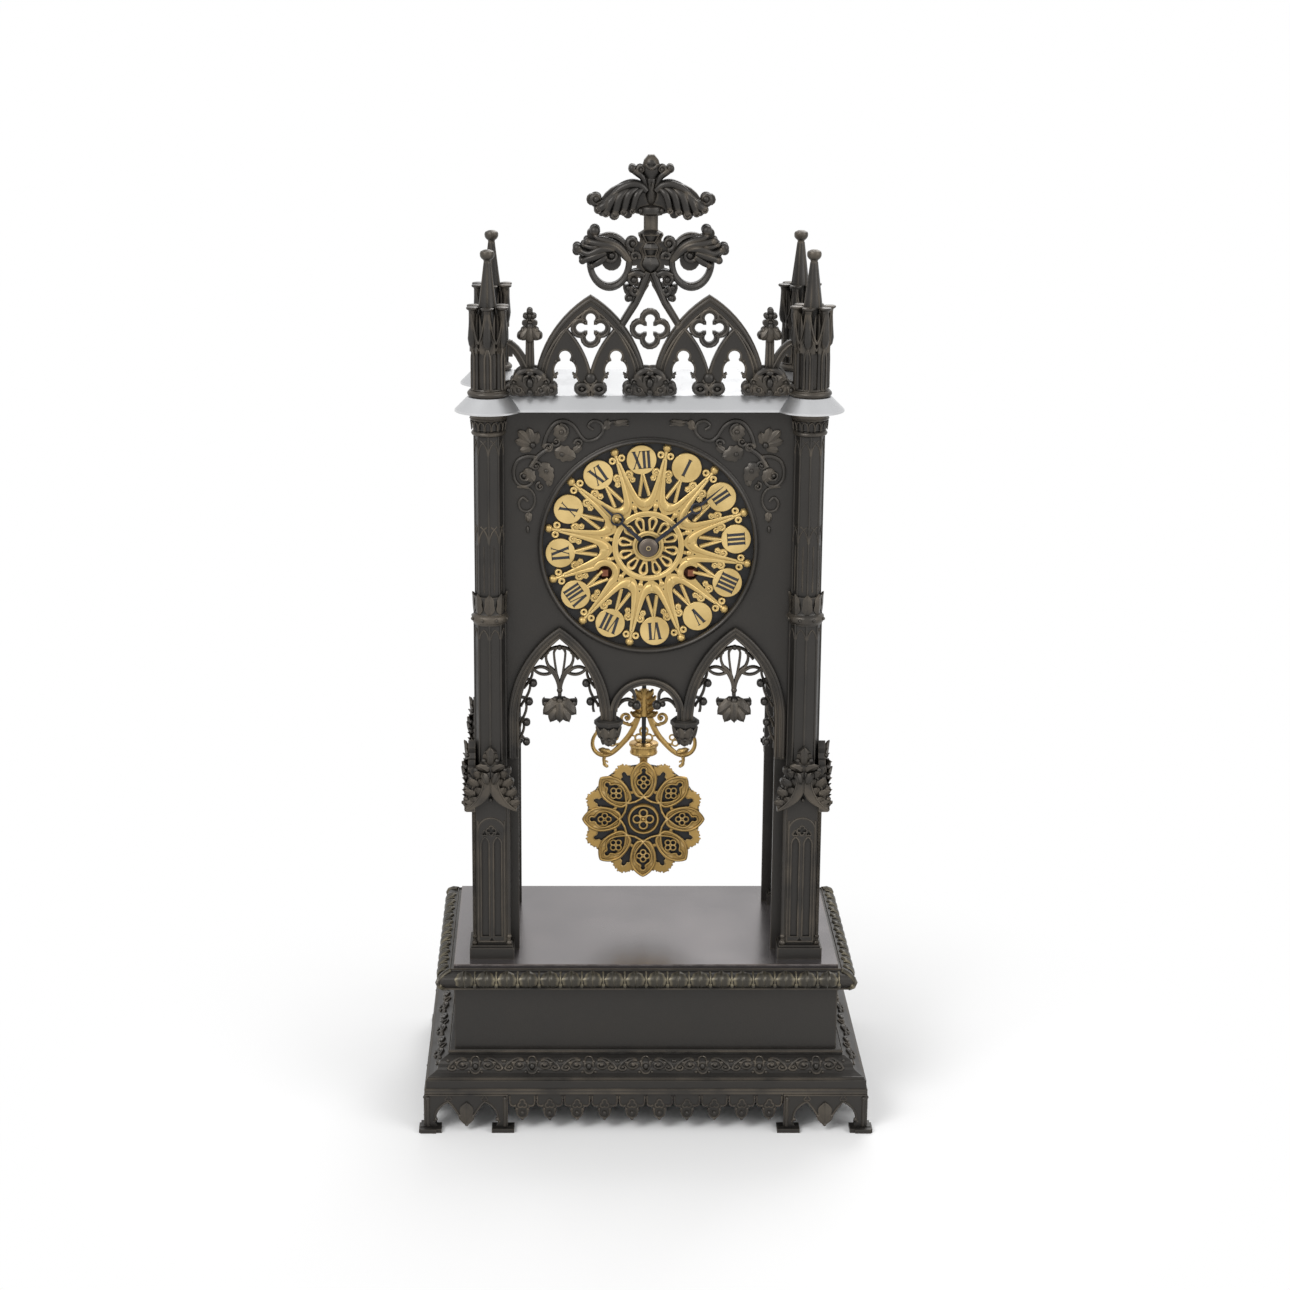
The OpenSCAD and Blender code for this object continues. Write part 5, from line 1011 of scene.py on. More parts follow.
@dataclass
class Portal:
    """Front of the case: arch mouldings, tracery, corbels, foliage and bezel."""

    arch_x: float = 45.8
    spring: float = 218.7
    half: float = 21.7
    rise: float = 44.0
    dial_z: float = 312.0
    face_y: float = -37.5
    lace_y: float = -34.6

    def lace(self) -> Casting:
        """Tracery of one pointed arch, drawn about its spring centre."""
        lace = Casting()
        lines = [(bend((0.3, 15), (0.6, 22), (2, 26), (6.6, 28.2)), 0.95, 0.75),
                 (bend((0.3, 15), (0.8, 24), (7.4, 27), (7.2, 33)), 0.85, 0.65),
                 (bend((7.2, 33), (7, 36.4), (4.6, 38), (0, 38.4)), 0.7, 0.75),
                 (bend((0.8, 18), (1.6, 25), (2.8, 30), (3, 35)), 0.6, 0.6),
                 (bend((3, 35), (2.8, 37), (1.6, 38), (0, 38.4)), 0.6, 0.6),
                 (bend((4.4, 24.4), (7.4, 28.6), (11.6, 28), (13.6, 26.2)), 0.75, 0.65),
                 (bend((4.4, 24.4), (7.6, 22.6), (11.4, 23.4), (13.6, 26.2)), 0.65, 0.6),
                 (bend((5.8, 35.6), (7.6, 34.8), (8.6, 33.4), (9.8, 31.8)), 0.7, 0.7),
                 (bend((13.2, 26.4), (15, 27.2), (15.6, 27.6), (16.6, 27)), 0.7, 0.7),
                 (bend((14.6, 27), (13, 22), (17.6, 18), (18.8, 16)), 0.7, 0.6),
                 (bend((15.6, 20.6), (14.4, 13), (19.6, 9), (20.4, 6)), 0.7, 0.6)]
        for s in (-1, 1):
            for line, r0, r1 in lines:
                lace.wire(sided(line, s), r0, r1)
            for x, z in ((13.8, 18.9), (16, 8.8)):
                lace.ball(s * x, z, 2.1, y=-0.4)
        lace.ball(0, 38.4, 1.5).ball(0, 15, 1.6)
        for x, z in ((17.4, -2.6), (17.6, -13.4)):
            lace.ball(x, z, 2.0, y=-0.4)
        for line in (bend((18.2, 10), (15.6, 3), (20.8, -1), (21, -5)),
                     bend((19.6, -1), (17, -7), (21.6, -11), (21.9, -14))):
            lace.wire(line, 0.7, 0.6)
        return lace

    def vine_leaf(self) -> Casting:
        """The hanging vine leaf boss under the tracery."""
        leaf = Casting()
        for s in (-1, 1):
            leaf.leaf((0, 9.6), -90 + s * 58, 10.4, 7.2, y=-1.2, curl=1.6, lobes=2, droop=s * 1.0)
            leaf.leaf((0, 8.4), -90 + s * 28, 10.2, 6.6, y=-1.6, curl=2.0, lobes=2)
            leaf.ball(s * 7.8, 8.2, 1.5, y=-1.6).ball(s * 2.6, 10.6, 1.4, y=-1.8)
        leaf.leaf((0, 10), -90, 10.6, 6.4, y=-2.2, curl=2.2, lobes=3)
        leaf.ball(0, 10, 1.8, y=-2.4)
        leaf.wire([(0, 10), (0, 15)], 1.1, 0.9, y=-0.2)
        return leaf

    def tracery(self) -> None:
        """Tracery of the three arches."""
        unit, leaf = self.lace().done(), self.vine_leaf().done()
        work = Casting()
        for s in (-1, 1):
            place = facing((s * self.arch_x, self.lace_y, self.spring), s)
            work.stamp(unit, [place])
            work.stamp(leaf, [place])
            for cusp in (bend((15.6, 5.6), (13, 10.4), (9.4, 10.6), (6.6, 8.2)),
                         bend((6.6, 8.2), (5.6, 12.4), (7, 15.4), (10.4, 15.8))):
                work.wire(moved(sided(cusp, s), 0, self.spring), 0.85, y=self.lace_y)
            work.ball(s * 5.4, self.spring + 6.8, 2.4, y=self.lace_y - 0.4)
            work.ball(s * 8.4, self.spring + 7.4, 1.6, y=self.lace_y)
        work.piece("arch_tracery_relief", Body.CASE, BRONZE)

    def mouldings(self) -> None:
        """Round rolls on the edges of the arches."""
        rolls = Casting()
        for s in (-1, 1):
            for grow, r, y in ((0.5, 0.75, -0.9), (2.6, 0.6, -1.1), (4.6, 0.9, -2.4)):
                radius = (self.half ** 2 + self.rise ** 2) / (2 * self.half) + grow
                c = self.half + grow - radius
                rise = math.sqrt(radius * radius - c * c)
                line = moved(gothic(self.half + grow, rise, 18), s * self.arch_x, self.spring)
                if s > 0:
                    line = [(self.arch_x + self.half + grow, self.spring - 20.5)] + line
                else:
                    line = line + [(-self.arch_x - self.half - grow, self.spring - 20.5)]
                line = [q for q in line if abs(q[0]) > 16.5 or q[1] > self.spring + 17]
                rolls.wire(line, r, y=self.face_y + y)
        for grow, r, y in ((0.4, 0.6, -0.9), (3.2, 0.8, -2.2)):
            rolls.wire(moved(arc(0, 2.9, 16 + grow, 8, 172, 26), 0, self.spring), r, y=self.face_y + y)
        rolls.piece("arch_rolls", Body.CASE, BRONZE)

    def corbels(self) -> None:
        """Octagonal foliated corbels between the arches."""
        work = Casting()
        for s in (-1, 1):
            at = (s * 20.05, -36.0, self.spring)
            work.lathe([(0, 0), (6.4, 0), (7.6, -0.9), (7.7, -2.7), (7.2, -3.5), (5.7, -4.8),
                        (6.6, -6.2), (6.3, -7.6), (4.4, -9.2), (4.9, -10.8), (3.9, -12.4),
                        (2.3, -13.9), (0, -14.6)], at=at, steps=8)
            for i in range(8):
                turn = around(at[0], at[1], at[2], i * 45 + 22.5)
                work.leaf((0, -9.8), 90, 6.0, 4.6, y=-4.6, curl=1.8, lobes=2, thick=0.5, place=turn)
                work.leaf((0, -13.8), 90, 3.8, 3.2, y=-2.6, curl=1.4, lobes=1, thick=0.5, place=turn)
            work.ball(at[0], self.spring - 14.4, 1.2, y=at[1])
        corbels = work.piece("foliated_corbels", Body.CASE, BRONZE)
        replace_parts(corbels, "corbels")

    def foliage(self) -> None:
        """Scrolling foliage in the corners above the dial."""
        side = Casting()
        y = self.face_y - 0.5
        lower = [(-57.5, 47), (-62, 47.6), (-67, 45.5), (-69.3, 40.5), (-68.6, 35), (-65, 31.9),
                 (-60.5, 33), (-59.6, 36.5), (-62, 39)]
        drop = [(-67.5, 31.6), (-62, 31), (-58.9, 27.5), (-58.7, 22.5), (-61.4, 18.9),
                (-65.4, 19.4), (-66.8, 23), (-64.6, 26), (-62.2, 24)]
        upper = [(-54, 52.5), (-52.3, 58.5), (-48.6, 64.3), (-43.6, 66), (-38.6, 63.4),
                 (-34.6, 57.6), (-31.2, 55.6), (-26.6, 56.9), (-23.6, 60.6), (-24.6, 64.6),
                 (-28.4, 66), (-31.2, 63.4), (-28.6, 61.4)]
        for line, r0, r1 in ((lower, 1.2, 0.8), (drop, 0.7, 0.8), (upper, 1.2, 0.8),
                             ([(-60.5, 42), (-56.4, 48), (-50, 52.4)], 1.5, 1.3),
                             ([(-23, 62), (-19, 65.4), (-15, 64.4), (-10.5, 63.6)], 1.0, 0.4)):
            side.wire(smooth(line), r0, r1, y=y)
        for x, z, r, start, end in ((-64, 37.6, 3.2, 20, -330), (-44.8, 60.4, 4.0, 100, -300),
                                    (-57.9, 42.6, 2.6, 0, 420), (-51.3, 51.9, 2.5, 180, -240),
                                    (-47.5, 55.3, 2.4, 200, 560), (-36, 54.4, 2.2, 180, -220),
                                    (-55.9, 31.8, 2.2, 90, 480)):
            side.wire(coil(x, z, r, r * 0.3, start, end), 0.85, 0.5, y=y - 0.5)
            side.ball(x, z, r * 0.36, y=y - 0.9)
        for x, z, a, n, w in ((-48, 50.6, -18, 10.8, 8.4), (-55, 43.8, -62, 10.4, 8.0),
                              (-46, 64, -78, 8.6, 7.4), (-63.4, 40.6, -52, 7.4, 6.2),
                              (-59.5, 53.5, 135, 10.4, 5.6), (-59.5, 53.5, 104, 9.0, 5.2),
                              (-59.5, 53.5, 166, 9.0, 5.2), (-58.6, 54, 74, 6.2, 4),
                              (-60, 52.4, 198, 6.2, 4), (-38.4, 50, 40, 5, 3.6),
                              (-50.6, 37, -100, 5, 3.6), (-22, 61.6, 80, 5, 3.6),
                              (-18, 64.4, 10, 7.6, 3), (-61.8, 18, -88, 4.6, 3.4)):
            side.leaf((x, z), a, n, w, y=y + 0.2, curl=0.5, lobes=3 if w > 5 else 2, thick=0.5,
                      dome=0.14)
        side.ball(-59.5, 53.5, 1.7, y=y - 0.8)
        side.ball(-61.9, 14.9, 1.3, y=y, tall=1.6)
        side.ball(-62.2, 9, 1.0, y=y, tall=1.9)
        side.ball(-44.6, 48.9, 1.2, y=y - 2.0, deep=0.6).ball(-52.6, 40.2, 1.1, y=y - 2.0, deep=0.6)
        work = Casting()
        place = Matrix.Translation((0, 0, self.dial_z))
        work.stamp(side, [place, mirrored_x(place)])
        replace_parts(work.piece("spandrel_foliage", Body.CASE, BRONZE), "spandrels")

    def bezel(self) -> None:
        """Moulded ring round the dial."""
        ring = Casting()
        ring.lathe([(54.5, 0.2), (54.5, 1.4), (55.0, 2.2), (55.6, 2.5), (56.2, 2.3), (56.6, 1.7),
                    (57.3, 1.2), (57.3, 0)], at=(0, self.face_y, self.dial_z), steps=128,
                   along=(0, -1, 0))
        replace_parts(ring.piece("bezel", Body.CASE, BRONZE), "bezel_ring")

    def build(self) -> None:
        """Dresses the case and adds the front's ornament."""
        BRONZE.dress("front_panel", "back_panel", "side_panel_left", "side_panel_right", "arch_tracery")
        self.tracery()
        self.mouldings()
        self.corbels()
        self.foliage()
        self.bezel()


@dataclass(frozen=True)
class Lettering:
    """Shapes of the numerals, drawn upright about the origin."""

    half: float = 4.6
    thick: float = 1.45
    thin: float = 0.5
    serif: float = 0.36
    overhang: float = 0.7
    gap: float = 0.3
    widest: float = 10.6
    front: float = -0.12
    back: float = 0.02
    edge: float = 0.02
    widths: Tuple[Tuple[str, float], ...] = (("I", 2.35), ("V", 4.7), ("X", 5.0))

    def stroke(self, made: Casting, top: float, foot: float, wide: float, low: float,
               high: float) -> None:
        """Adds a stroke to a numeral.

        Args:
            made: The numeral.
            top: Middle of its upper end.
            foot: Middle of its lower end.
            wide: Its width.
            low: Height of its lower end.
            high: Height of its upper end.
        """
        half = wide / 2
        outline = [(top - half, high), (top + half, high), (foot + half, low), (foot - half, low)]
        made.plate([outline], self.front, self.back, self.edge)

    def strokes(self, char: str, a: float, b: float, k: float) -> List[Tuple[float, float, float]]:
        """Strokes of a letter.

        Args:
            char: The letter.
            a: Its left side.
            b: Its right side.
            k: How far it is narrowed.

        Returns:
            The middle of the top, the middle of the foot and the width of each stroke.
        """
        thick, thin, mid = self.thick * k, self.thin * k, (a + b) / 2
        lean = self.overhang * k
        if char == "I":
            return [(mid, mid, thick)]
        if char == "V":
            return [(a + lean, mid, thick), (b - 0.3, mid + 0.2, thin)]
        return [(a + lean, b - lean, thick), (b - 0.4, a + 0.4, thin)]

    def numeral(self, word: str) -> Casting:
        """One numeral about the origin, narrowed where its word is long."""
        widths = dict(self.widths)
        total = sum(widths[c] for c in word)
        k = min(1.0, self.widest / total)
        x = -total * k / 2
        made = Casting()
        for c in word:
            w = widths[c] * k
            for top, foot, wide in self.strokes(c, x + self.gap * k, x + w - self.gap * k, k):
                serif = wide + self.overhang * k
                self.stroke(made, top, foot, wide, -self.half, self.half)
                self.stroke(made, top, top, serif, self.half - self.serif, self.half)
                if c != "V":
                    self.stroke(made, foot, foot, serif, -self.half, self.serif - self.half)
            x += w
        return made


@dataclass(frozen=True)
class Hand:
    """A moon hand: a blade that widens to the boss, with a pierced ring on it."""

    name: str
    body: Body
    node: str
    at: float
    y: float
    length: float
    eye: float
    ring: float
    blade: float
    bore: float
    boss: float = 3.4
    rim: float = 0.85
    half_thick: float = 0.4
    edge: float = 0.14

    def build(self, z: float) -> None:
        """Makes the hand in place of its CAD node.

        Args:
            z: Height of the dial's centre.
        """
        w, front, back = self.blade, self.y - self.half_thick, self.y + self.half_thick
        low, high = self.eye - self.ring + 0.4, self.eye + self.ring - 0.4
        root = [(-w * 1.4, 2.4), (w * 1.4, 2.4), (w * 0.62, low), (-w * 0.62, low)]
        tip = [(-w * 0.9, high), (w * 0.9, high), (0.12, self.length), (-0.12, self.length)]
        hole = arc(0, self.eye + 0.35, self.ring - self.rim, 0, 352, 36)
        work = Casting()
        work.plate([root], front, back, self.edge)
        work.plate([hoop(0, 0, self.boss, 26), arc(0, 0, self.bore, 0, 352, 30)], front, back,
                   self.edge)
        work.plate([arc(0, self.eye, self.ring, 0, 352, 36), hole], front, back, self.edge)
        work.plate([tip], front, back, 0.05)
        whole = Casting()
        whole.stamp(work, [Matrix.Translation((0, 0, z)) @ spun(self.at)])
        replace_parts(whole.piece(self.name, self.body, BLUED), self.node)


@dataclass
class Dial:
    """Gilt openwork dial with its numerals, and the hands."""

    z: float = 312.0
    face: float = -36.6
    turn: float = -4.7
    disc_ring: float = 45.6
    disc_r: float = 7.6
    k: float = 0.5155
    bar_sink: float = 0.39
    bar_full: float = 2.2
    rays: int = 12
    lettering: Lettering = Lettering()
    hands: Tuple[Hand, ...] = (
        Hand("hour_hand_moon", Body.HOUR, "hour_hand", -48.0, -38.0, 32.7, 21.6, 3.45, 0.9, 2.4),
        Hand("minute_hand_moon", Body.MINUTE, "minute_hand", 50.0, -39.8, 50.0, 31.9, 3.0, 0.8, 1.2))
    numerals: Tuple[str, ...] = ("XII", "I", "II", "III", "IIII", "V", "VI", "VII", "VIII", "IX",
                                 "X", "XI")
    star: Tuple[Flat, ...] = ((0, 43.5), (4, 44.4), (7.5, 47.5), (10, 53), (11.6, 60), (12.9, 70),
                              (13.7, 80), (14.3, 90))
    swell: Tuple[Flat, ...] = ((43.5, 2.2), (47.5, 1.75), (53, 1.35), (70, 0.95), (90, 0.55))
    wind_x: float = 22.3
    wind_z: float = -14.3
    wind_clear: float = 5.7
    flat_k: float = 0.42

    def polar(self, points: Sequence[Flat], side: float, at: float) -> List[Flat]:
        """Star points, given as (degrees off the ray, radius in drawing units), about a ray.

        Args:
            points: The points.
            side: 1 or -1.
            at: Angle of the ray.

        Returns:
            Flat points in millimetres about the dial centre.
        """
        return [(r * self.k * math.sin(math.radians(at + side * a)),
                 r * self.k * math.cos(math.radians(at + side * a))) for a, r in points]

    def star_side(self, side: float, at: float) -> Tuple[List[Flat], List[float]]:
        """Half of a U-shaped bar of the star, led round a winding hole where it meets one.

        Args:
            side: 1 or -1.
            at: Angle of the numeral that the bar goes round.

        Returns:
            The line and the bar's radii along it.
        """
        line, radii = [], []
        wide = [w for _, w in self.swell]
        marks = [r for r, _ in self.swell]
        for (a, r), (x, z) in zip(smooth(self.star, 5), self.polar(smooth(self.star, 5), side, at)):
            k = next((i for i in range(len(marks) - 1) if r <= marks[i + 1]), len(marks) - 2)
            radius = wide[k] + (wide[k + 1] - wide[k]) * (r - marks[k]) / (marks[k + 1] - marks[k])
            for hx in (-self.wind_x, self.wind_x):
                away = Vector((x - hx, z - self.wind_z))
                if away.length < self.wind_clear:
                    if away.y < -0.5 and away.x * hx > -abs(hx) * 2:
                        return line, radii
                    away *= self.wind_clear / away.length
                    x, z = hx + away.x, self.wind_z + away.y
                    radius = min(radius, 1.5)
            line.append((x, z))
            radii.append(radius)
        return line, radii

    def ray(self, angle: float) -> Matrix:
        """Placing of a ray of the dial, its angle in degrees from the XII."""
        return Matrix.Translation((0, self.face, self.z)) @ spun(angle + self.turn)

    def bar_y(self, radius: float) -> float:
        """Depth of the axis of a bar, so that thin and thick bars share their front."""
        return -self.bar_sink * (self.bar_full - radius)

    def star_bars(self) -> Casting:
        """U-shaped bars of the star and the rims of its middle."""
        star = Casting()
        for i in range(self.rays):
            for s in (-1, 1):
                line, radii = self.star_side(s, i * 360 / self.rays + self.turn)
                star.rod([(x, self.bar_y(r), z) for (x, z), r in zip(line, radii)], radii, sides=4)
        for r, b in ((17.4, 1.2), (16.0, 0.35), (7.1, 0.95), (6.0, 0.4)):
            rim = [(x, self.bar_y(b), z) for x, z in hoop(0, 0, r, 72)]
            star.rod(rim, [b] * len(rim), closed=True, sides=4)
        return star

    def spoke(self) -> Casting:
        """Numeral disc with its two legs."""
        spoke = Casting()
        for s in (-1, 1):
            spoke.wire([(s * 0.3, 38.6), (s * 2.5, 27.0)], 0.5, 0.85)
        r = self.disc_r
        spoke.lathe([(0, 0.3), (r - 0.15, 0.3), (r + 0.05, 0.12), (r + 0.05, -0.9)],
                    at=(0, 0, self.disc_ring), steps=56, along=(0, -1, 0))
        return spoke

    def tip(self) -> Casting:
        """Ornament between two numerals: the ray's end with its rings and leaf scrolls."""
        tip = Casting()
        tip.ball(0, 52.4, 1.95, y=-0.1, deep=0.7).wire([(0, 46.0), (0, 51)], 0.75, 0.6)
        tip.ball(0, 21.4, 1.5, y=0.1, deep=0.6)
        for s in (-1, 1):
            tip.wire(hoop(s * 2.45, 48.4, 1.4, 16), 0.56, closed=True)
            tip.wire(sided(coil(3.2, 39, 1.8, 0.7, 200, -190, 16), s), 0.55, 0.4)
            tip.wire(sided(coil(4.0, 35.8, 1.25, 0.5, 120, 480, 12), s), 0.45, 0.35)
            tip.ball(s * 3.2, 39, 0.75, y=-0.1).ball(s * 4.0, 35.8, 0.55, y=-0.1)
        return tip

    def petal(self) -> Casting:
        """One loop of the rosette in the middle."""
        petal = Casting()
        foot = [(-0.95, 9.6), (0, 8.9), (0.95, 9.6)]
        petal.wire(smooth(arc(0, 13.35, 1.95, -24, 204, 12) + foot, 2), 0.62, closed=True)
        return petal

    def relief(self) -> None:
        """Star, rims, beads, scrolls and petals on the gilt openwork, and its numerals."""
        step = 360 / self.rays
        on_numerals = [self.ray(i * step) for i in range(self.rays)]
        between = [self.ray((i + 0.5) * step) for i in range(self.rays)]
        flat = Matrix.Diagonal((1, self.flat_k, 1, 1))
        work = Casting()
        work.stamp(self.star_bars(), [Matrix.Translation((0, self.face, self.z)) @ flat])
        work.stamp(self.spoke(), on_numerals)
        work.stamp(self.tip(), between)
        work.stamp(self.petal(), between)
        work.piece("dial_relief", Body.CASE, GILT)
        figures = Casting()
        for place, word in zip(on_numerals, self.numerals):
            raised = place @ Matrix.Translation((0, -0.32, self.disc_ring))
            figures.stamp(self.lettering.numeral(word), [raised])
        figures.piece("dial_numerals", Body.CASE, INK, sharp=20)

    def build(self) -> None:
        """Dresses the dial and builds relief, numerals and hands."""
        GILT.dress("gilt_dial")
        BLACK.dress("dial_plate")
        self.relief()
        for hand in self.hands:
            hand.build(self.z)
        cap = Casting()
        profile = [(1.2, 0), (4.9, 0), (4.9, 0.5), (4.5, 0.8), (4.1, 0.75), (3.7, 1.0), (1.6, 1.25),
                   (1.3, 1.7), (0.9, 2.0), (0, 2.0)]
        cap.lathe(profile, at=(0, -40.2, self.z), steps=36, along=(0, -1, 0))
        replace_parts(cap.piece("hand_collet", Body.MINUTE, BROWN_BRASS), "hand_cap")


@dataclass
class Crown:
    """Deck, turrets and pierced gallery."""

    top: float = 391.2
    y: float = -37.4
    thick: float = 3.6
    arch_x: float = 30.0
    pinnacle_x: float = 60.8
    column_x: float = 82.0
    column_y: float = 40.0

    def boss(self, x: float, reach: float) -> Casting:
        """A hooded boss of curled leaves at the foot of the gallery.

        Args:
            x: Its middle.
            reach: Half its width.

        Returns:
            The casting.
        """
        boss = Casting()
        k = reach / 13
        for s in (-1, 1):
            boss.leaf((x + s * 0.6, 2.4), 90 - s * 26, 11.4 * k, 7.6, y=-1.4, curl=1.0, lobes=3,
                      droop=s * 2.2, dome=0.16)
            boss.leaf((x + s * 2.4, 1.6), 90 - s * 58, 10.6 * k, 6.0, y=-1.2, curl=0.8, lobes=3,
                      droop=s * 2.6, dome=0.16)
            for cx, cz, r, a0, a1, w in ((10.9, 3.4, 2.6, 110, -260, 1.35),
                                         (5.6, 3.5, 2.4, 40, -300, 1.2),
                                         (8.2, 7.4, 1.7, 150, -180, 0.9)):
                line = coil(cx * k, cz, r, r * 0.3, a0, a1, 18)
                boss.wire([(x + s * p, q) for p, q in line], w, w * 0.6, y=-2.6)
                boss.ball(x + s * cx * k, cz, w * 0.9, y=-3.4)
            hood = bend((0, 13.3), (3.4, 13.9), (6.6, 12.6), (7.8, 8.6), 8)
            boss.wire([(x + s * p * k, q) for p, q in hood], 1.25, 1.1, y=-2.8, swell=0.4)
            fold = bend((0.8, 10.8), (2.8, 10.6), (3.4, 9.6), (3.0, 7.6), 6)
            boss.wire([(x + s * p * k, q) for p, q in fold], 0.7, 0.6, y=-4.0)
            boss.ball(x + s * 13 * k, 1.9, 1.25, y=-0.8)
        boss.ball(x, 12.2, 2.3, y=-3.2, deep=0.8, tall=0.7)
        boss.ball(x, 7.0, 1.9, y=-3.0, tall=1.4)
        boss.ball(x, 2.4, 1.5, y=-3.2)
        return boss

    def great_arch(self, face: Casting, s: float) -> None:
        """Adds a great arch with its two lancets, foils and foot scrolls to a face.

        Args:
            face: The casting.
            s: The side, 1 or -1.
        """
        cx = s * self.arch_x
        face.wire(moved(gothic(27.6, 49.2, 20), cx, 0), 1.05)
        face.wire(moved(gothic(24.4, 45.0, 20), cx, 0), 0.6)
        for t in (-1, 1):
            lx = cx + t * 12.9
            face.wire(moved(gothic(13.7, 34.2, 14), lx, 0), 0.75)
            face.wire(moved(arc(0, 20, 3.5, -40, 220, 12), lx, 0), 0.5)
            face.wire(moved(arc(0, 13, 6.0, -30, 30, 6), lx, 0), 0.5)
            face.wire(moved(arc(0, 13, 6.0, 150, 210, 6), lx, 0), 0.5)
            face.wire(moved(arc(0, 5, 7.4, -10, 60, 8), lx, 0), 0.5)
            face.wire(moved(arc(0, 5, 7.4, 120, 190, 8), lx, 0), 0.5)
            face.ball(lx + 4.6, 17.6, 0.9)
            face.ball(lx - 4.6, 17.6, 0.9)
            face.ball(lx + 4.9, 9.6, 0.9)
            face.ball(lx - 4.9, 9.6, 0.9)
        face.wire(foils(cx, 34.6, 9.4), 0.9, closed=True)
        for a in range(45, 360, 90):
            face.ball(cx + 3.7 * math.cos(math.radians(a)), 34.6 + 3.7 * math.sin(math.radians(a)), 0.8)
        for t in (-1, 1):
            face.wire([(cx + t * 4.3 + 2.9 * p, 3.6 + 2.3 * q)
                       for p, q in arc(0, 0, 1, 0, 345, 20)], 1.25, y=-0.6, closed=True)
            face.ball(cx + t * 4.3, 3.6, 1.15, y=-0.9)
            face.wire([(cx - t * 1.6, 1.6), (cx + t * 1.8, 6.2)], 0.8, y=-0.8)
        face.ball(cx, 9.0, 2.9, y=-0.4, deep=0.7).wire(arc(cx, 9.4, 3.4, 200, 340, 8), 0.7, y=-0.6)

    def pinnacle(self, face: Casting, s: float) -> None:
        """Adds a pinnacle with its flower, its half arch and its boss to a face.

        Args:
            face: The casting.
            s: The side, 1 or -1.
        """
        px = s * self.pinnacle_x
        face.wire([(px - 1.7, 6), (px - 1.5, 30)], 0.6).wire([(px + 1.7, 6), (px + 1.5, 30)], 0.6)
        face.wire([(px, 6), (px, 38)], 0.6)
        for t in (-1, 1):
            face.leaf((px + t * 0.8, 34.6), -90 + t * 34, 6.2, 4.4, y=-0.4, curl=1.4, lobes=2,
                      thick=0.6)
            face.wire(coil(px + t * 4.4, 30.4, 1.7, 0.6, 90, 90 - t * 330, 14), 0.8, 0.5, y=-0.4)
            face.ball(px + t * 2.1, 40.6, 1.45, y=-0.2).ball(px + t * 3.2, 33.4, 1.5, y=-0.6)
            face.bar([(px + t * 1.7, 0, 38.2), (px + t * 0.7, -0.4, 39.4)], 0.8, 0.7)
        face.leaf((px, 27.6), 90, 7.4, 4.6, y=-0.8, curl=0.6, lobes=2, thick=0.5, dome=0.3)
        face.ball(px, 35.4, 2.0, y=-0.4)
        face.ball(px, 43.2, 1.6, y=-0.2)
        face.ball(px, 40.8, 1.2, y=-0.6)
        face.ball(px, 37.6, 1.5, tall=0.6)
        line = bend((s * 59, 3), (s * 62, 14), (s * 66, 24), (s * 72.4, 26.6))
        face.wire(line, 0.9, y=0)
        face.stamp(self.boss(px, 13), [Matrix.Identity(4)])

    def gallery(self) -> None:
        """Mouldings, foils, bosses and pinnacles of the gallery, on both of its faces."""
        face = Casting()
        half = self.thick / 2
        for s in (-1, 1):
            self.great_arch(face, s)
            self.pinnacle(face, s)
        face.wire(foils(0, 34, 9.5), 0.9, closed=True)
        face.stamp(self.boss(0, 12.6), [Matrix.Identity(4)])
        work = Casting()
        work.stamp(face, [facing((0, self.y - half, self.top)),
                          facing((0, self.y + half, self.top), 1, -1)])
        work.piece("gallery_mouldings", Body.CASE, BRONZE)

    def turret(self) -> Casting:
        """Ornament of one turret about its own axis: ring, shafts, posts, gablets and button."""
        work = Casting()
        work.lathe([(9.9, 0.4), (10.5, 1.0), (10.7, 1.7), (10.5, 2.4), (9.9, 3.0), (9.0, 3.5)],
                   steps=48)
        work.lathe([(8.6, 3.3), (9.0, 3.8), (8.7, 4.4), (8.2, 4.6)], steps=48)
        for i in range(6):
            post = around(0, 0, 0, i * 60 + 90)
            face = around(0, 0, 0, i * 60 + 120)
            for s in (-1, 1):
                lance = [(1.5, 4.4), (1.5, 19)] + bend((1.5, 19), (1.5, 22), (0.6, 24), (0, 25), 6)
                work.bar(set_on(post, [(s * x, -8.7, z) for x, z in lance]), 0.55, 0.45, sides=1)
                work.bar(set_on(face, [(s * 2.1, -7.0, 4.4), (s * 2.1, -7.1, 22),
                                       (s * 1.1, -7.9, 25.4)]), 1.5, 1.1)
                for lift, r in ((0, 0.62), (-3.6, 0.5)):
                    gable = sided([(4.0, 43.0 + lift * 1.6), (3.2, 38.0 + lift), (1.6, 31.4 + lift),
                                   (0, 27.8 + lift)], s)
                    work.bar(set_on(face, [(x, -8.9 - 0.1 * lift, z) for x, z in smooth(gable, 3)]),
                             r * 0.8, r)
            work.rod(set_on(post, [(0, -8.2, 25.4), (0, -8.6, 27.0), (0, -8.9, 30.0), (0, -8.7, 36),
                                   (0, -8.6, 42.6), (0, -8.6, 44.4)]),
                     [1.2, 2.0, 2.3, 2.0, 1.75, 2.1], sides=4)
            x, y, z = set_on(post, [(0, -8.5, 44.2)])[0]
            work.lathe([(1.9, 0), (3.1, 0.7), (3.3, 1.1), (3.3, 1.6), (3.0, 1.8), (0, 1.8)],
                       at=(x, y, z), steps=20)
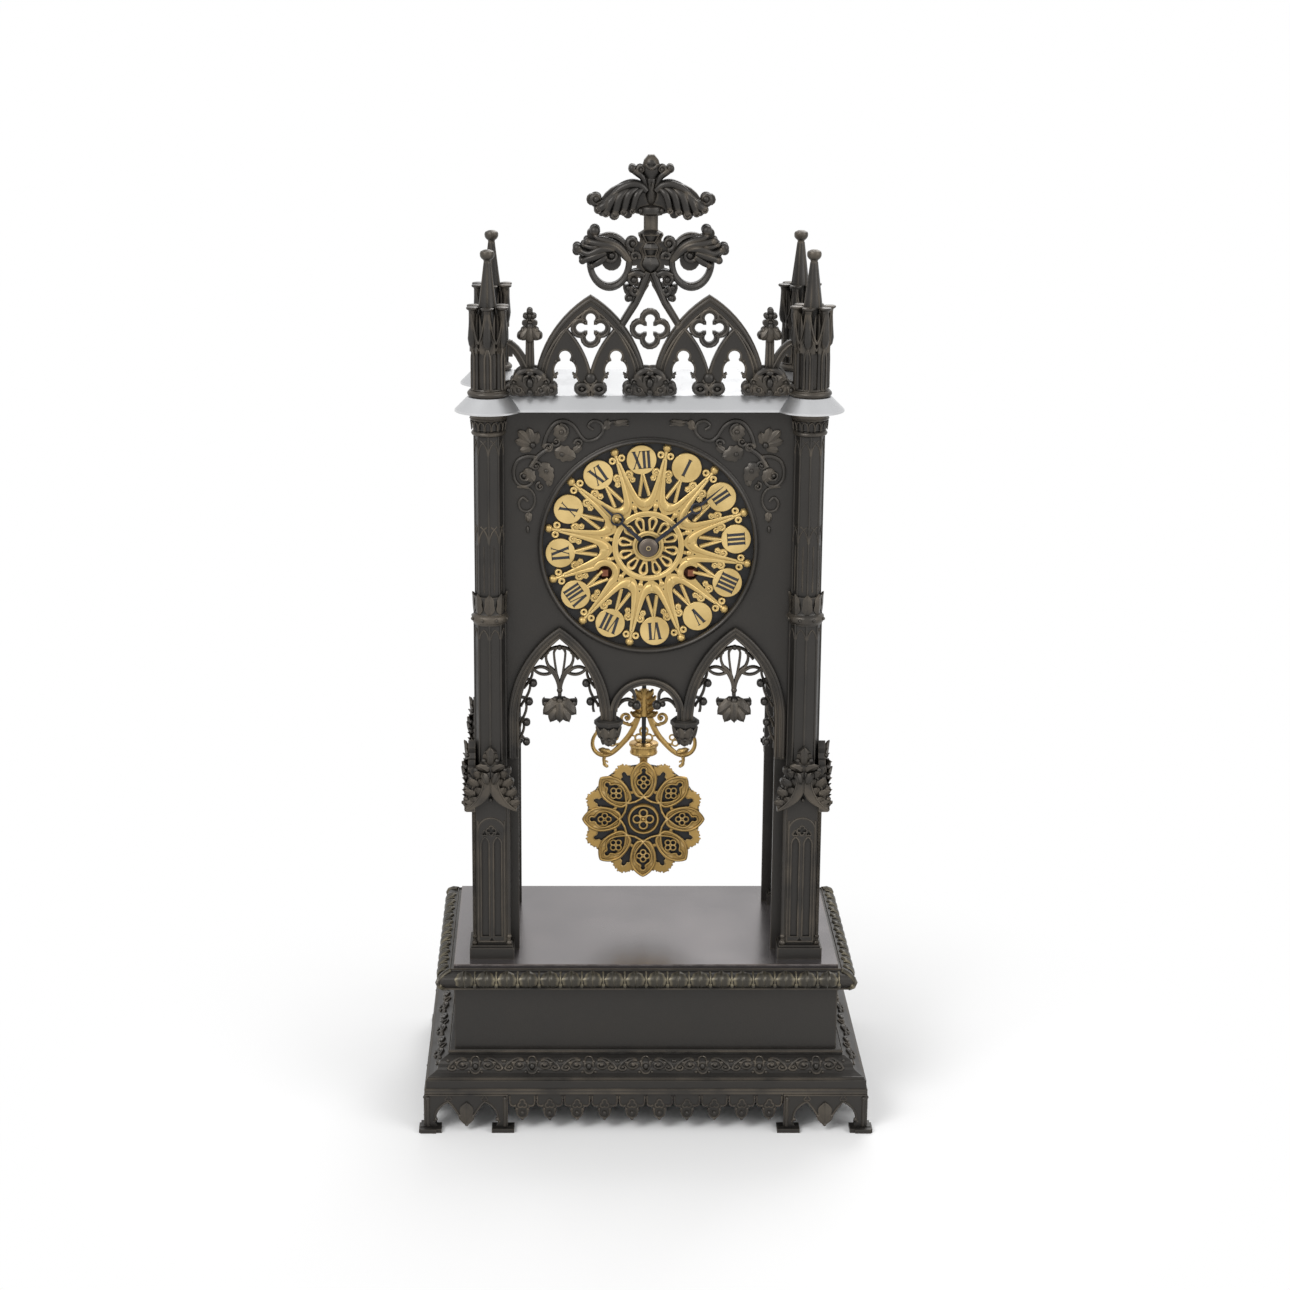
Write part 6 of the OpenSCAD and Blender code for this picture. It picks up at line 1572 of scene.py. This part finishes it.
            work.bar(set_on(post, [(0, -(6.3 - 4.5 * t), 32 + 36 * t) for t in (0, 0.5, 1)]), 0.4,
                     0.25, sides=1)
        work.lathe([(1.7, 67.6), (1.9, 69.0), (3.0, 69.9), (3.6, 71.0), (3.7, 72.4), (3.3, 73.4),
                    (2.2, 73.9), (1.7, 74.15), (0, 74.4)], steps=28)
        return work

    def build(self) -> None:
        """Dresses the crown and adds its ornament."""
        DECK.dress("deck")
        BRONZE.dress("turret_front_left", "turret_front_right", "turret_back_left",
                     "turret_back_right", "gallery")
        self.gallery()
        unit = self.turret().done()
        for name, i, j, a in (("front_left", -1, -1, 30), ("front_right", 1, -1, 10),
                              ("back_left", -1, 1, 30), ("back_right", 1, 1, 10)):
            work = Casting()
            work.stamp(unit, [around(i * self.column_x, j * self.column_y, self.top, a)])
            work.piece(f"turret_ornament_{name}", Body.CASE, BRONZE)


@dataclass
class Cross:
    """The foliated cross over the gallery."""

    base: float = 391.2
    height: float = 121.0
    y: float = -37.4
    half: float = 2.5

    def side(self) -> Casting:
        """The right half of one face, drawn from the deck with z up; depths are forward of the slab."""
        t = self.height
        work = Casting()

        def limb(points: Sequence[Solid], r0: float, r1: float, swell: float = 0.0) -> None:
            """A smooth limb through (x, depth below the top, depth forward) points."""
            flat = smooth([(x, t - z) for x, z, _ in points], 4)
            deep = smooth([(y, 0.0) for _, _, y in points], 4)
            n = len(flat) - 1
            work.rod([(p[0], -q[0], p[1]) for p, q in zip(flat, deep)],
                     [r0 + (r1 - r0) * i / n + swell * math.sin(math.pi * i / n)
                      for i in range(n + 1)], sides=3)

        # bud and its curled cup
        limb([(3.4, 13.6, 0), (4.6, 10.6, 0.6), (7.4, 8.2, 0.8), (9.3, 6.6, 0.4)], 1.5, 1.0, 0.3)
        work.wire(coil(5.2, t - 7.0, 2.1, 0.7, -60, 330, 18), 0.9, 0.6, y=-1.2)
        work.ball(9.4, t - 6.4, 2.0, y=-0.4).ball(5.2, t - 7.0, 1.0, y=-1.6)
        work.wire(bend((0, t - 6.4), (1.4, t - 6.2), (2.4, t - 5.4), (2.9, t - 4.2)), 0.8, 0.7, y=-2.6)
        # umbrella of fluted lobes
        limb([(2.4, 17.6, 1), (5.4, 14.9, 1.6), (10, 14.3, 1.8), (15.4, 16.6, 1.6),
              (19.6, 20.8, 1.2), (23.4, 23.6, 0.8), (26.8, 23.4, 0.6)], 1.6, 1.5, 0.5)
        for root, mid, hem, w in (((4.4, 16.6), (7.4, 19.6), (9.4, 27.0), 1.5),
                                  ((6.8, 16.2), (11.4, 19.4), (13.6, 27.6), 1.9),
                                  ((10.6, 16.6), (15.8, 20.6), (18.0, 28.8), 2.1),
                                  ((14.4, 18), (20.0, 22.4), (22.6, 28.2), 2.0),
                                  ((18.6, 21), (23.6, 24.6), (26.6, 26.6), 1.8)):
            limb([(*root, 1.6), (*mid, 3.4), (*hem, 2.6)], 1.3, w, 0.5)
            work.ball(hem[0], t - hem[1], w + 0.25, y=-2.8, deep=0.9)
            work.wire(arc(hem[0], t - hem[1] - 0.2, w * 0.75, 150, 390, 8), 0.45, y=-4.4)
        work.wire(coil(27.2, t - 21.6, 2.9, 0.8, -110, 300, 20), 1.5, 0.9, y=-0.8)
        work.ball(27.2, t - 21.6, 1.7, y=-1.4)
        work.ball(5.4, t - 27.4, 1.5, y=-1.6)
        # ring and its leaf
        turns = [math.radians(i * 10) for i in range(36)]
        work.wire([(20.6 + 9.9 * math.cos(a), t - 53 + 12.7 * math.sin(a)) for a in turns], 1.6,
                  closed=True)
        lobes = [([(10.6, 52.4, 0.4), (14.6, 46.2, 2), (20.6, 42.4, 3), (26.4, 41.0, 2.6),
                   (28.0, 38.6, 1.6)], 1.6, 1.3),
                 ([(11.6, 51.4, 0.8), (18, 45.2, 3), (25.4, 43.6, 3.8), (31.8, 42.4, 2.4)],
                  1.6, 1.5),
                 ([(18.4, 46, 2.6), (25, 46.2, 4), (31, 48.6, 3.6), (35.6, 46.8, 2)], 1.7, 1.3),
                 ([(23, 47.8, 3), (28.4, 50.0, 3.8), (34.2, 52, 2.6)], 1.7, 1.4),
                 ([(22.4, 50, 2.4), (26, 52.6, 3), (29.4, 54.6, 2.2)], 1.6, 1.3),
                 ([(24.4, 44.6, 3.4), (29.4, 45.4, 3.4), (33.6, 44.2, 2.2)], 1.2, 1.0)]
        for points, r0, r1 in lobes:
            limb(points, r0, r1, 0.4)
            work.ball(points[-1][0], t - points[-1][1], r1 + 0.5, y=-points[-1][2])
        work.ball(28.0, t - 37.2, 2.7, y=-1.4).ball(36.8, t - 45.8, 2.4, y=-1.6)
        work.wire(coil(19.6, t - 49.4, 4.1, 1.3, 95, -330), 1.3, 0.8, y=-2.2)
        work.ball(19.6, t - 49.4, 1.7, y=-2.6)
        # curled lobes against the stem
        work.wire(coil(9.0, t - 43.6, 3.2, 1.0, -100, 300), 1.3, 0.8, y=-1.2)
        work.ball(9.0, t - 43.6, 1.6, y=-1.8)
        work.wire(coil(8.0, t - 50.2, 2.5, 0.8, 200, -160, 16), 1.1, 0.7, y=-1.0)
        work.wire([(1.4, t - 58), (7.0, t - 73), (14.0, t - 84)], 1.9, 1.3)
        work.wire(coil(8.4, t - 61.8, 3.1, 0.9, 150, -260), 1.4, 0.8, y=-0.8)
        work.ball(8.4, t - 61.8, 1.6, y=-1.4)
        work.wire(coil(7.6, t - 67.6, 2.5, 0.7, 60, -300, 18), 1.2, 0.7, y=-0.6)
        work.ball(11.2, t - 66.0, 1.5, y=-0.6).ball(10.4, t - 71.2, 1.7, y=-0.4)
        limb([(3.4, 59.4, 0.6), (7, 58.2, 1.2), (11, 59.6, 0.8)], 1.4, 1.2, 0.3)
        return work

    def knop(self) -> Casting:
        """Raised frame on one side of the stem's knop."""
        t = self.height
        knop = Casting()
        knop.bar([(-3.4, -5.4, t - 46.2), (-2.2, -4.4, t - 49.8), (2.2, -4.4, t - 49.8),
                  (3.4, -5.4, t - 46.2)], 0.5, closed=True)
        knop.bar([(-3.8, -5.9, t - 39.2), (-2.2, -4.2, t - 42.8), (2.2, -4.2, t - 42.8),
                  (3.8, -5.9, t - 39.2)], 0.5, closed=True)
        return knop

    def build(self) -> None:
        """Dresses the cross and adds its leaves on both faces and its turned stem."""
        BRONZE.dress("finial_cross")
        t = self.height
        side = self.side().done()
        work = Casting()
        for s in (-1, 1):
            for j in (-1, 1):
                work.stamp(side, [facing((0, self.y + j * self.half, self.base), s, -j)])
        stem = [(2.2, t - 60), (3.3, t - 58), (5.5, t - 55), (5.7, t - 53.6), (4.1, t - 50.2),
                (5.3, t - 46.6), (5.2, t - 45.6), (3.8, t - 43.4), (6.0, t - 39.6),
                (6.0, t - 38.6), (3.3, t - 36.8), (3.2, t - 30)]
        bud = [(3.2, t - 30), (6.4, t - 28.8), (6.6, t - 27), (6.2, t - 25.6), (3.0, t - 24.6),
               (1.6, t - 23), (2.8, t - 17), (3.6, t - 13), (3.3, t - 11.6), (5.0, t - 8.6),
               (5.2, t - 7), (3.8, t - 5), (3.9, t - 4.2), (3.4, t - 2.4), (2.2, t - 0.9),
               (1.0, t - 0.15), (0, t)]
        work.lathe(stem, at=(0, self.y, self.base), steps=8)
        work.lathe(bud, at=(0, self.y, self.base), steps=24)
        for i in range(4):
            turn = around(0, self.y, self.base, i * 90)
            work.leaf((0, t - 24.4), 90, 11.0, 4.6, y=-2.2, curl=0.8, lobes=1, thick=0.6, place=turn)
            work.stamp(self.knop(), [turn])
        work.piece("cross_foliage", Body.CASE, BRONZE)


@dataclass
class Pendulum:
    """Scrolled frame, rating nut and pierced bob of the pendulum."""

    y: float = 14.1
    z: float = 146.6

    def scrolls(self) -> None:
        """The scrolled gothic frame, made of round bars, replacing its CAD node."""
        side = Casting()
        ogee = bend((0.9, 73), (1.4, 60), (5, 50), (9.8, 44.6))
        ogee += bend((9.8, 44.6), (14.6, 39), (17.4, 36), (21.2, 35.6))[1:]
        lines = [(ogee, 1.75, 1.35),
                 (bend((21.2, 35.6), (27.6, 35.4), (30.6, 43), (25.4, 49)), 1.35, 0.9),
                 (coil(9.6, 57, 3.4, 1.0, -110, 280), 1.0, 0.65),
                 (bend((4.6, 56), (6, 52.6), (8.6, 52.6), (9.4, 53.8)), 1.0, 1.0),
                 (bend((20.8, 35.8), (22.4, 33.6), (22, 31), (20, 28.9)), 1.1, 0.75),
                 (coil(20.4, 31.2, 2.2, 0.7, -120, 160, 14), 0.6, 0.45),
                 (arc(17.2, 42.6, 1.7, 0, 360, 16), 0.5, 0.5),
                 (arc(15.6, 45.8, 1.5, 0, 360, 16), 0.5, 0.5),
                 (arc(19.4, 45.4, 1.5, 0, 360, 16), 0.5, 0.5),
                 ([(15.6, 41.6), (13.2, 42.4)], 0.6, 0.6),
                 (arc(2.6, 45.6, 2.1, 0, 360, 18), 0.6, 0.6),
                 ([(4.6, 46.6), (8.6, 47.4)], 0.5, 0.5)]
        for line, r0, r1 in lines:
            side.wire(line, r0, r1)
        side.ball(24.9, 49.2, 1.7).ball(9.6, 57, 1.1).ball(20.2, 29.4, 1.0)
        for z, a, n in ((58, 25, 6), (61.5, 35, 6.4), (65, 45, 6.4), (68, 60, 6)):
            side.leaf((1.4, z), a, n, 3.8, y=-0.6, curl=1.6, lobes=2, thick=0.5, dome=0.35)
            side.ball(1.4 + n * math.cos(math.radians(a)), z + n * math.sin(math.radians(a)), 0.9,
                      y=-1.8)
        side.leaf((18, 37.2), 20, 7, 3.4, y=-0.6, curl=0.6, lobes=2, thick=0.5)
        work = Casting()
        place = Matrix.Translation((0, self.y, self.z))
        work.stamp(side, [place, mirrored_x(place)])
        work.lathe([(1.25, 58), (2.4, 58.4), (2.7, 60), (2.0, 62), (2.5, 65), (1.9, 68), (2.4, 71),
                    (1.25, 74)], at=(0, self.y, self.z))
        work.wire(moved(arc(0, 49.6, 2.1, 0, 360, 18), 0, self.z), 0.6, y=self.y)
        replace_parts(work.piece("pendulum_scrolls", Body.PENDULUM, OLD_GILT), "pendulum_frame")
        nut = Casting()
        nut.lathe([(1.25, 29.6), (2.2, 29.6), (2.2, 34.2), (3.4, 34.6), (3.8, 35.8), (6.3, 36.4),
                   (7.4, 37.0), (7.6, 37.8), (7.2, 38.4), (7.2, 40.8), (7.9, 41.4), (7.9, 42.7),
                   (7.3, 43.0), (1.25, 43)], at=(0, self.y, self.z), steps=48)
        for i in range(36):
            a = math.radians(i * 10)
            nut.bar([(7.75 * math.cos(a), self.y + 7.75 * math.sin(a), self.z + h)
                     for h in (41.5, 42.6)], 0.28, sides=1)
        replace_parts(nut.piece("rating_nut_knurled", Body.PENDULUM, OLD_GILT), "rating_nut")

    def loop(self, half: Sequence[Flat], n: int = 4) -> List[Flat]:
        """Closed smooth line from the right half of a shape, foot first and ending on the axis."""
        right = smooth(half, n)
        return right + flip(right)[::-1][1:-1]

    def petal(self) -> Casting:
        """One of the eight large petals of the bob, with the quatrefoil in its opening."""
        outline = self.loop([(0.5, 12.0), (3.3, 12.7), (5.2, 15.2), (6.6, 19.2), (7.0, 23.2),
                             (6.4, 27), (4.4, 30.4), (1.7, 32.8), (0, 33.7)])
        opening = self.loop([(0.3, 13.8), (1.7, 15.4), (3.5, 17.8), (4.7, 20.8), (4.7, 23.2),
                             (3.5, 25.3), (1.9, 26.5), (1.4, 27.2), (1.7, 28.3), (1.1, 29.5),
                             (0, 29.9)])
        petal = Casting()
        petal.plate([outline, opening], -1.35, -0.2, 0.3)
        petal.wire(moved(outline, 0, 23 * 0.07, 0.93), 0.8, y=-1.5, closed=True)
        petal.wire(opening, 0.55, y=-1.7, closed=True)
        for s in (-1, 1):
            star = bend((0, 13.6), (1.2, 11.4), (3.0, 11.3), (4.2, 10.2), 8)
            petal.wire(sided(star, s), 0.6, y=-1.9)
        for dx, dz in ((0, 2.05), (0, -2.05), (2.05, 0), (-2.05, 0)):
            petal.wire(hoop(dx, 21.3 + dz, 1.5, 14), 0.42, y=-1.7, closed=True)
        return petal

    def small_leaf(self) -> Casting:
        """One of the eight toothed leaves between the petals."""
        small = Casting()
        outline = [(1.2, 15.6), (3.6, 19), (5.8, 23), (6.6, 26.2), (5.9, 28.4), (6.0, 29.8),
                   (4.4, 30.6), (3.9, 31.9), (2.2, 32.3), (1.3, 33.1), (0, 33.5)]
        opening = [(1.4, 19.4), (2.1, 22), (2.3, 24.2), (2.9, 25.3), (2.8, 26.5), (1.7, 26.9),
                   (1.5, 28.1), (1.0, 29.2), (0, 29.6)]
        small.plate([self.loop(outline), self.loop([(0.3, 17.2), *opening])], -1.5, 0.0, 0.25)
        small.wire(self.loop(opening)[1:-1], 0.3, y=-1.45)
        for x, z in ((4.6, 31.0), (2.9, 32.2), (1.3, 33.2), (6.2, 29.8), (7.0, 29.0)):
            small.ball(x, z, 0.62, y=-0.8, facets=8).ball(-x, z, 0.62, y=-0.8, facets=8)
        return small

    def hub(self) -> Casting:
        """Ring with a quatrefoil in the middle of the bob."""
        rim = Casting()
        rim.lathe([(7.2, 0), (7.2, 1.6), (7.6, 2.2), (8.2, 2.2), (8.7, 1.6), (8.7, 0)], steps=48,
                  along=(0, -1, 0))
        for dx, dz in ((0, 3.45), (0, -3.45), (3.45, 0), (-3.45, 0)):
            rim.wire(hoop(dx, dz, 2.15, 20), 0.55, y=-1.5, closed=True)
        rim.ball(0, 0, 1.1, y=-1.7)
        return rim

    def bob(self) -> None:
        """Dark backing and gilt openwork of the bob, replacing its CAD node."""
        back = Casting()
        back.lathe([(0, 0), (30.9, 0), (31.1, 0.8), (24, 3.6), (14, 4.7), (0, 5)],
                   at=(0, self.y - 2.5, self.z), steps=64, along=(0, 1, 0))
        dark = back.piece("bob_backing", Body.PENDULUM, BLACK)
        work = Casting()
        place = Matrix.Translation((0, self.y - 2.5, self.z))
        work.stamp(self.petal(), [place @ spun(i * 45) for i in range(8)])
        work.stamp(self.small_leaf(), [place @ spun(i * 45 + 22.5) for i in range(8)])
        work.stamp(self.hub(), [place])
        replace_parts(work.piece("bob_openwork", Body.PENDULUM, OLD_GILT), "bob")

    def build(self) -> None:
        """Dresses the pendulum and builds its new pieces."""
        BLACK.dress("pendulum_rod")
        self.scrolls()
        self.bob()


@dataclass
class Works:
    """The movement, its bell and the back door, which only get their finishes."""

    brass: Tuple[str, ...] = ("front_plate", "back_plate", "pillars", "going_barrel",
                              "strike_barrel", "second_wheel", "centre_arbor", "minute_wheel",
                              "hour_wheel", "third_wheel", "escape_wheel", "pin_wheel",
                              "suspension_cock", "count_wheel", "back_bezel", "back_door")
    steel: Tuple[str, ...] = ("clicks", "anchor", "hammer", "case_straps")

    def build(self) -> None:
        """Dresses the movement."""
        BRASS.dress(*self.brass)
        STEEL.dress(*self.steel)
        RED_STEEL.dress("going_winder", "strike_winder")
        BELL.dress("bell")


# Studio


@dataclass(frozen=True)
class Lamp:
    """A soft square lamp: its place, the point it faces, its side in metres and its watts."""

    name: str
    at: Solid
    aim: Solid
    size: float
    power: float

    def build(self) -> None:
        """Hangs the lamp."""
        data = bpy.data.lights.new(self.name, "AREA")
        data.size = self.size
        data.energy = self.power
        lamp = bpy.data.objects.new(self.name, data)
        lamp.location = self.at
        lamp.rotation_euler = (Vector(self.aim) - Vector(self.at)).to_track_quat("-Z", "Y").to_euler()
        bpy.context.scene.collection.objects.link(lamp)


@dataclass
class Studio:
    """Floor, lights, world and the camera at the photograph's place."""

    eye: Solid = (-0.041785, -1.412125, 0.641173)
    pitch: float = 15.53
    lens: float = 76.28
    shift: float = 0.0602
    shadow_in: float = 0.1
    shadow_out: float = 0.35
    floor_half: float = 6.0
    floor_tone: float = 0.9
    sky_light: float = 0.6
    sky_seen: float = 1.0
    lamps: Tuple[Lamp, ...] = (Lamp("key", (-1.3, -1.6, 1.9), (0, 0, 0.25), 1.1, 34),
                               Lamp("fill", (1.7, -1.2, 1.1), (0, 0, 0.25), 1.4, 17),
                               Lamp("rim", (0.4, 1.5, 1.6), (0, 0, 0.3), 1.0, 15))

    def seen(self, tree: bpy.types.NodeTree) -> bpy.types.NodeSocket:
        """A socket that is 1 for camera, glossy and transmission rays and 0 for all others."""
        path = tree.nodes.new("ShaderNodeLightPath")
        out = None
        for ray in ("Is Camera Ray", "Is Glossy Ray", "Is Transmission Ray"):
            if out is None:
                out = path.outputs[ray]
                continue
            node = tree.nodes.new("ShaderNodeMath")
            node.operation = "MAXIMUM"
            tree.links.new(out, node.inputs[0])
            tree.links.new(path.outputs[ray], node.inputs[1])
            out = node.outputs[0]
        return out

    def white(self, name: str, level: float) -> bpy.types.Material:
        """A pale floor that keeps the shadow round the clock and turns to plain white further out.

        Args:
            name: Name of the material.
            level: Lightness of the floor by the clock.

        Returns:
            The material.
        """
        made = bpy.data.materials.new(name)
        made.use_nodes = True
        tree = made.node_tree
        nodes, links = tree.nodes, tree.links
        shader = nodes["Principled BSDF"]
        shader.inputs["Base Color"].default_value = (level, level, level, 1)
        shader.inputs["Roughness"].default_value = 0.8
        shader.inputs["Specular IOR Level"].default_value = 0.1
        place = nodes.new("ShaderNodeTexCoord")
        far = nodes.new("ShaderNodeMapRange")
        length = nodes.new("ShaderNodeVectorMath")
        length.operation = "LENGTH"
        far.interpolation_type = "SMOOTHSTEP"
        far.inputs["From Min"].default_value = self.shadow_in
        far.inputs["From Max"].default_value = self.shadow_out
        links.new(place.outputs["Object"], length.inputs[0])
        links.new(length.outputs["Value"], far.inputs["Value"])
        both = nodes.new("ShaderNodeMath")
        glow = nodes.new("ShaderNodeEmission")
        mix = nodes.new("ShaderNodeMixShader")
        both.operation = "MULTIPLY"
        links.new(far.outputs["Result"], both.inputs[0])
        links.new(self.seen(tree), both.inputs[1])
        links.new(both.outputs[0], mix.inputs[0])
        links.new(shader.outputs[0], mix.inputs[1])
        links.new(glow.outputs[0], mix.inputs[2])
        links.new(mix.outputs[0], nodes["Material Output"].inputs["Surface"])
        return made

    def sky(self) -> bpy.types.World:
        """The world: white where it is seen, and a softer light on the object."""
        world = bpy.data.worlds.new("studio")
        world.use_nodes = True
        nodes, links = world.node_tree.nodes, world.node_tree.links
        back = nodes["Background"]
        back.inputs["Color"].default_value = (1, 1, 1, 1)
        level = nodes.new("ShaderNodeMapRange")
        level.inputs["To Min"].default_value = self.sky_light
        level.inputs["To Max"].default_value = self.sky_seen
        links.new(self.seen(world.node_tree), level.inputs["Value"])
        links.new(level.outputs["Result"], back.inputs["Strength"])
        return world

    def floor(self) -> bpy.types.Object:
        """The floor under the clock."""
        mesh = bpy.data.meshes.new("floor")
        bm = bmesh.new()
        bmesh.ops.create_grid(bm, x_segments=1, y_segments=1, size=self.floor_half)
        bm.to_mesh(mesh)
        bm.free()
        mesh.materials.append(self.white("pale_floor", self.floor_tone))
        floor = bpy.data.objects.new("floor", mesh)
        bpy.context.scene.collection.objects.link(floor)
        return floor

    def camera(self) -> bpy.types.Object:
        """The camera at the photograph's place."""
        data = bpy.data.cameras.new("photo_camera")
        data.sensor_width = 36.0
        data.lens = self.lens
        data.shift_x = self.shift
        camera = bpy.data.objects.new("photo_camera", data)
        camera.location = self.eye
        camera.rotation_euler = (math.radians(90 - self.pitch), 0, 0)
        bpy.context.scene.collection.objects.link(camera)
        return camera

    def build(self) -> None:
        """Builds the set and the camera."""
        scene = bpy.context.scene
        scene.view_settings.view_transform = "Standard"
        scene.world = self.sky()
        self.floor()
        for lamp in self.lamps:
            lamp.build()
        scene.camera = self.camera()


def main() -> None:
    """Builds every sub-assembly in order."""
    logging.basicConfig(level=logging.INFO, format="%(message)s")
    for part in (Base(), Columns(), Portal(), Dial(), Crown(), Cross(), Pendulum(), Works(), Studio()):
        LOG.info("building %s", type(part).__name__)
        part.build()


if __name__ == "__main__":
    main()
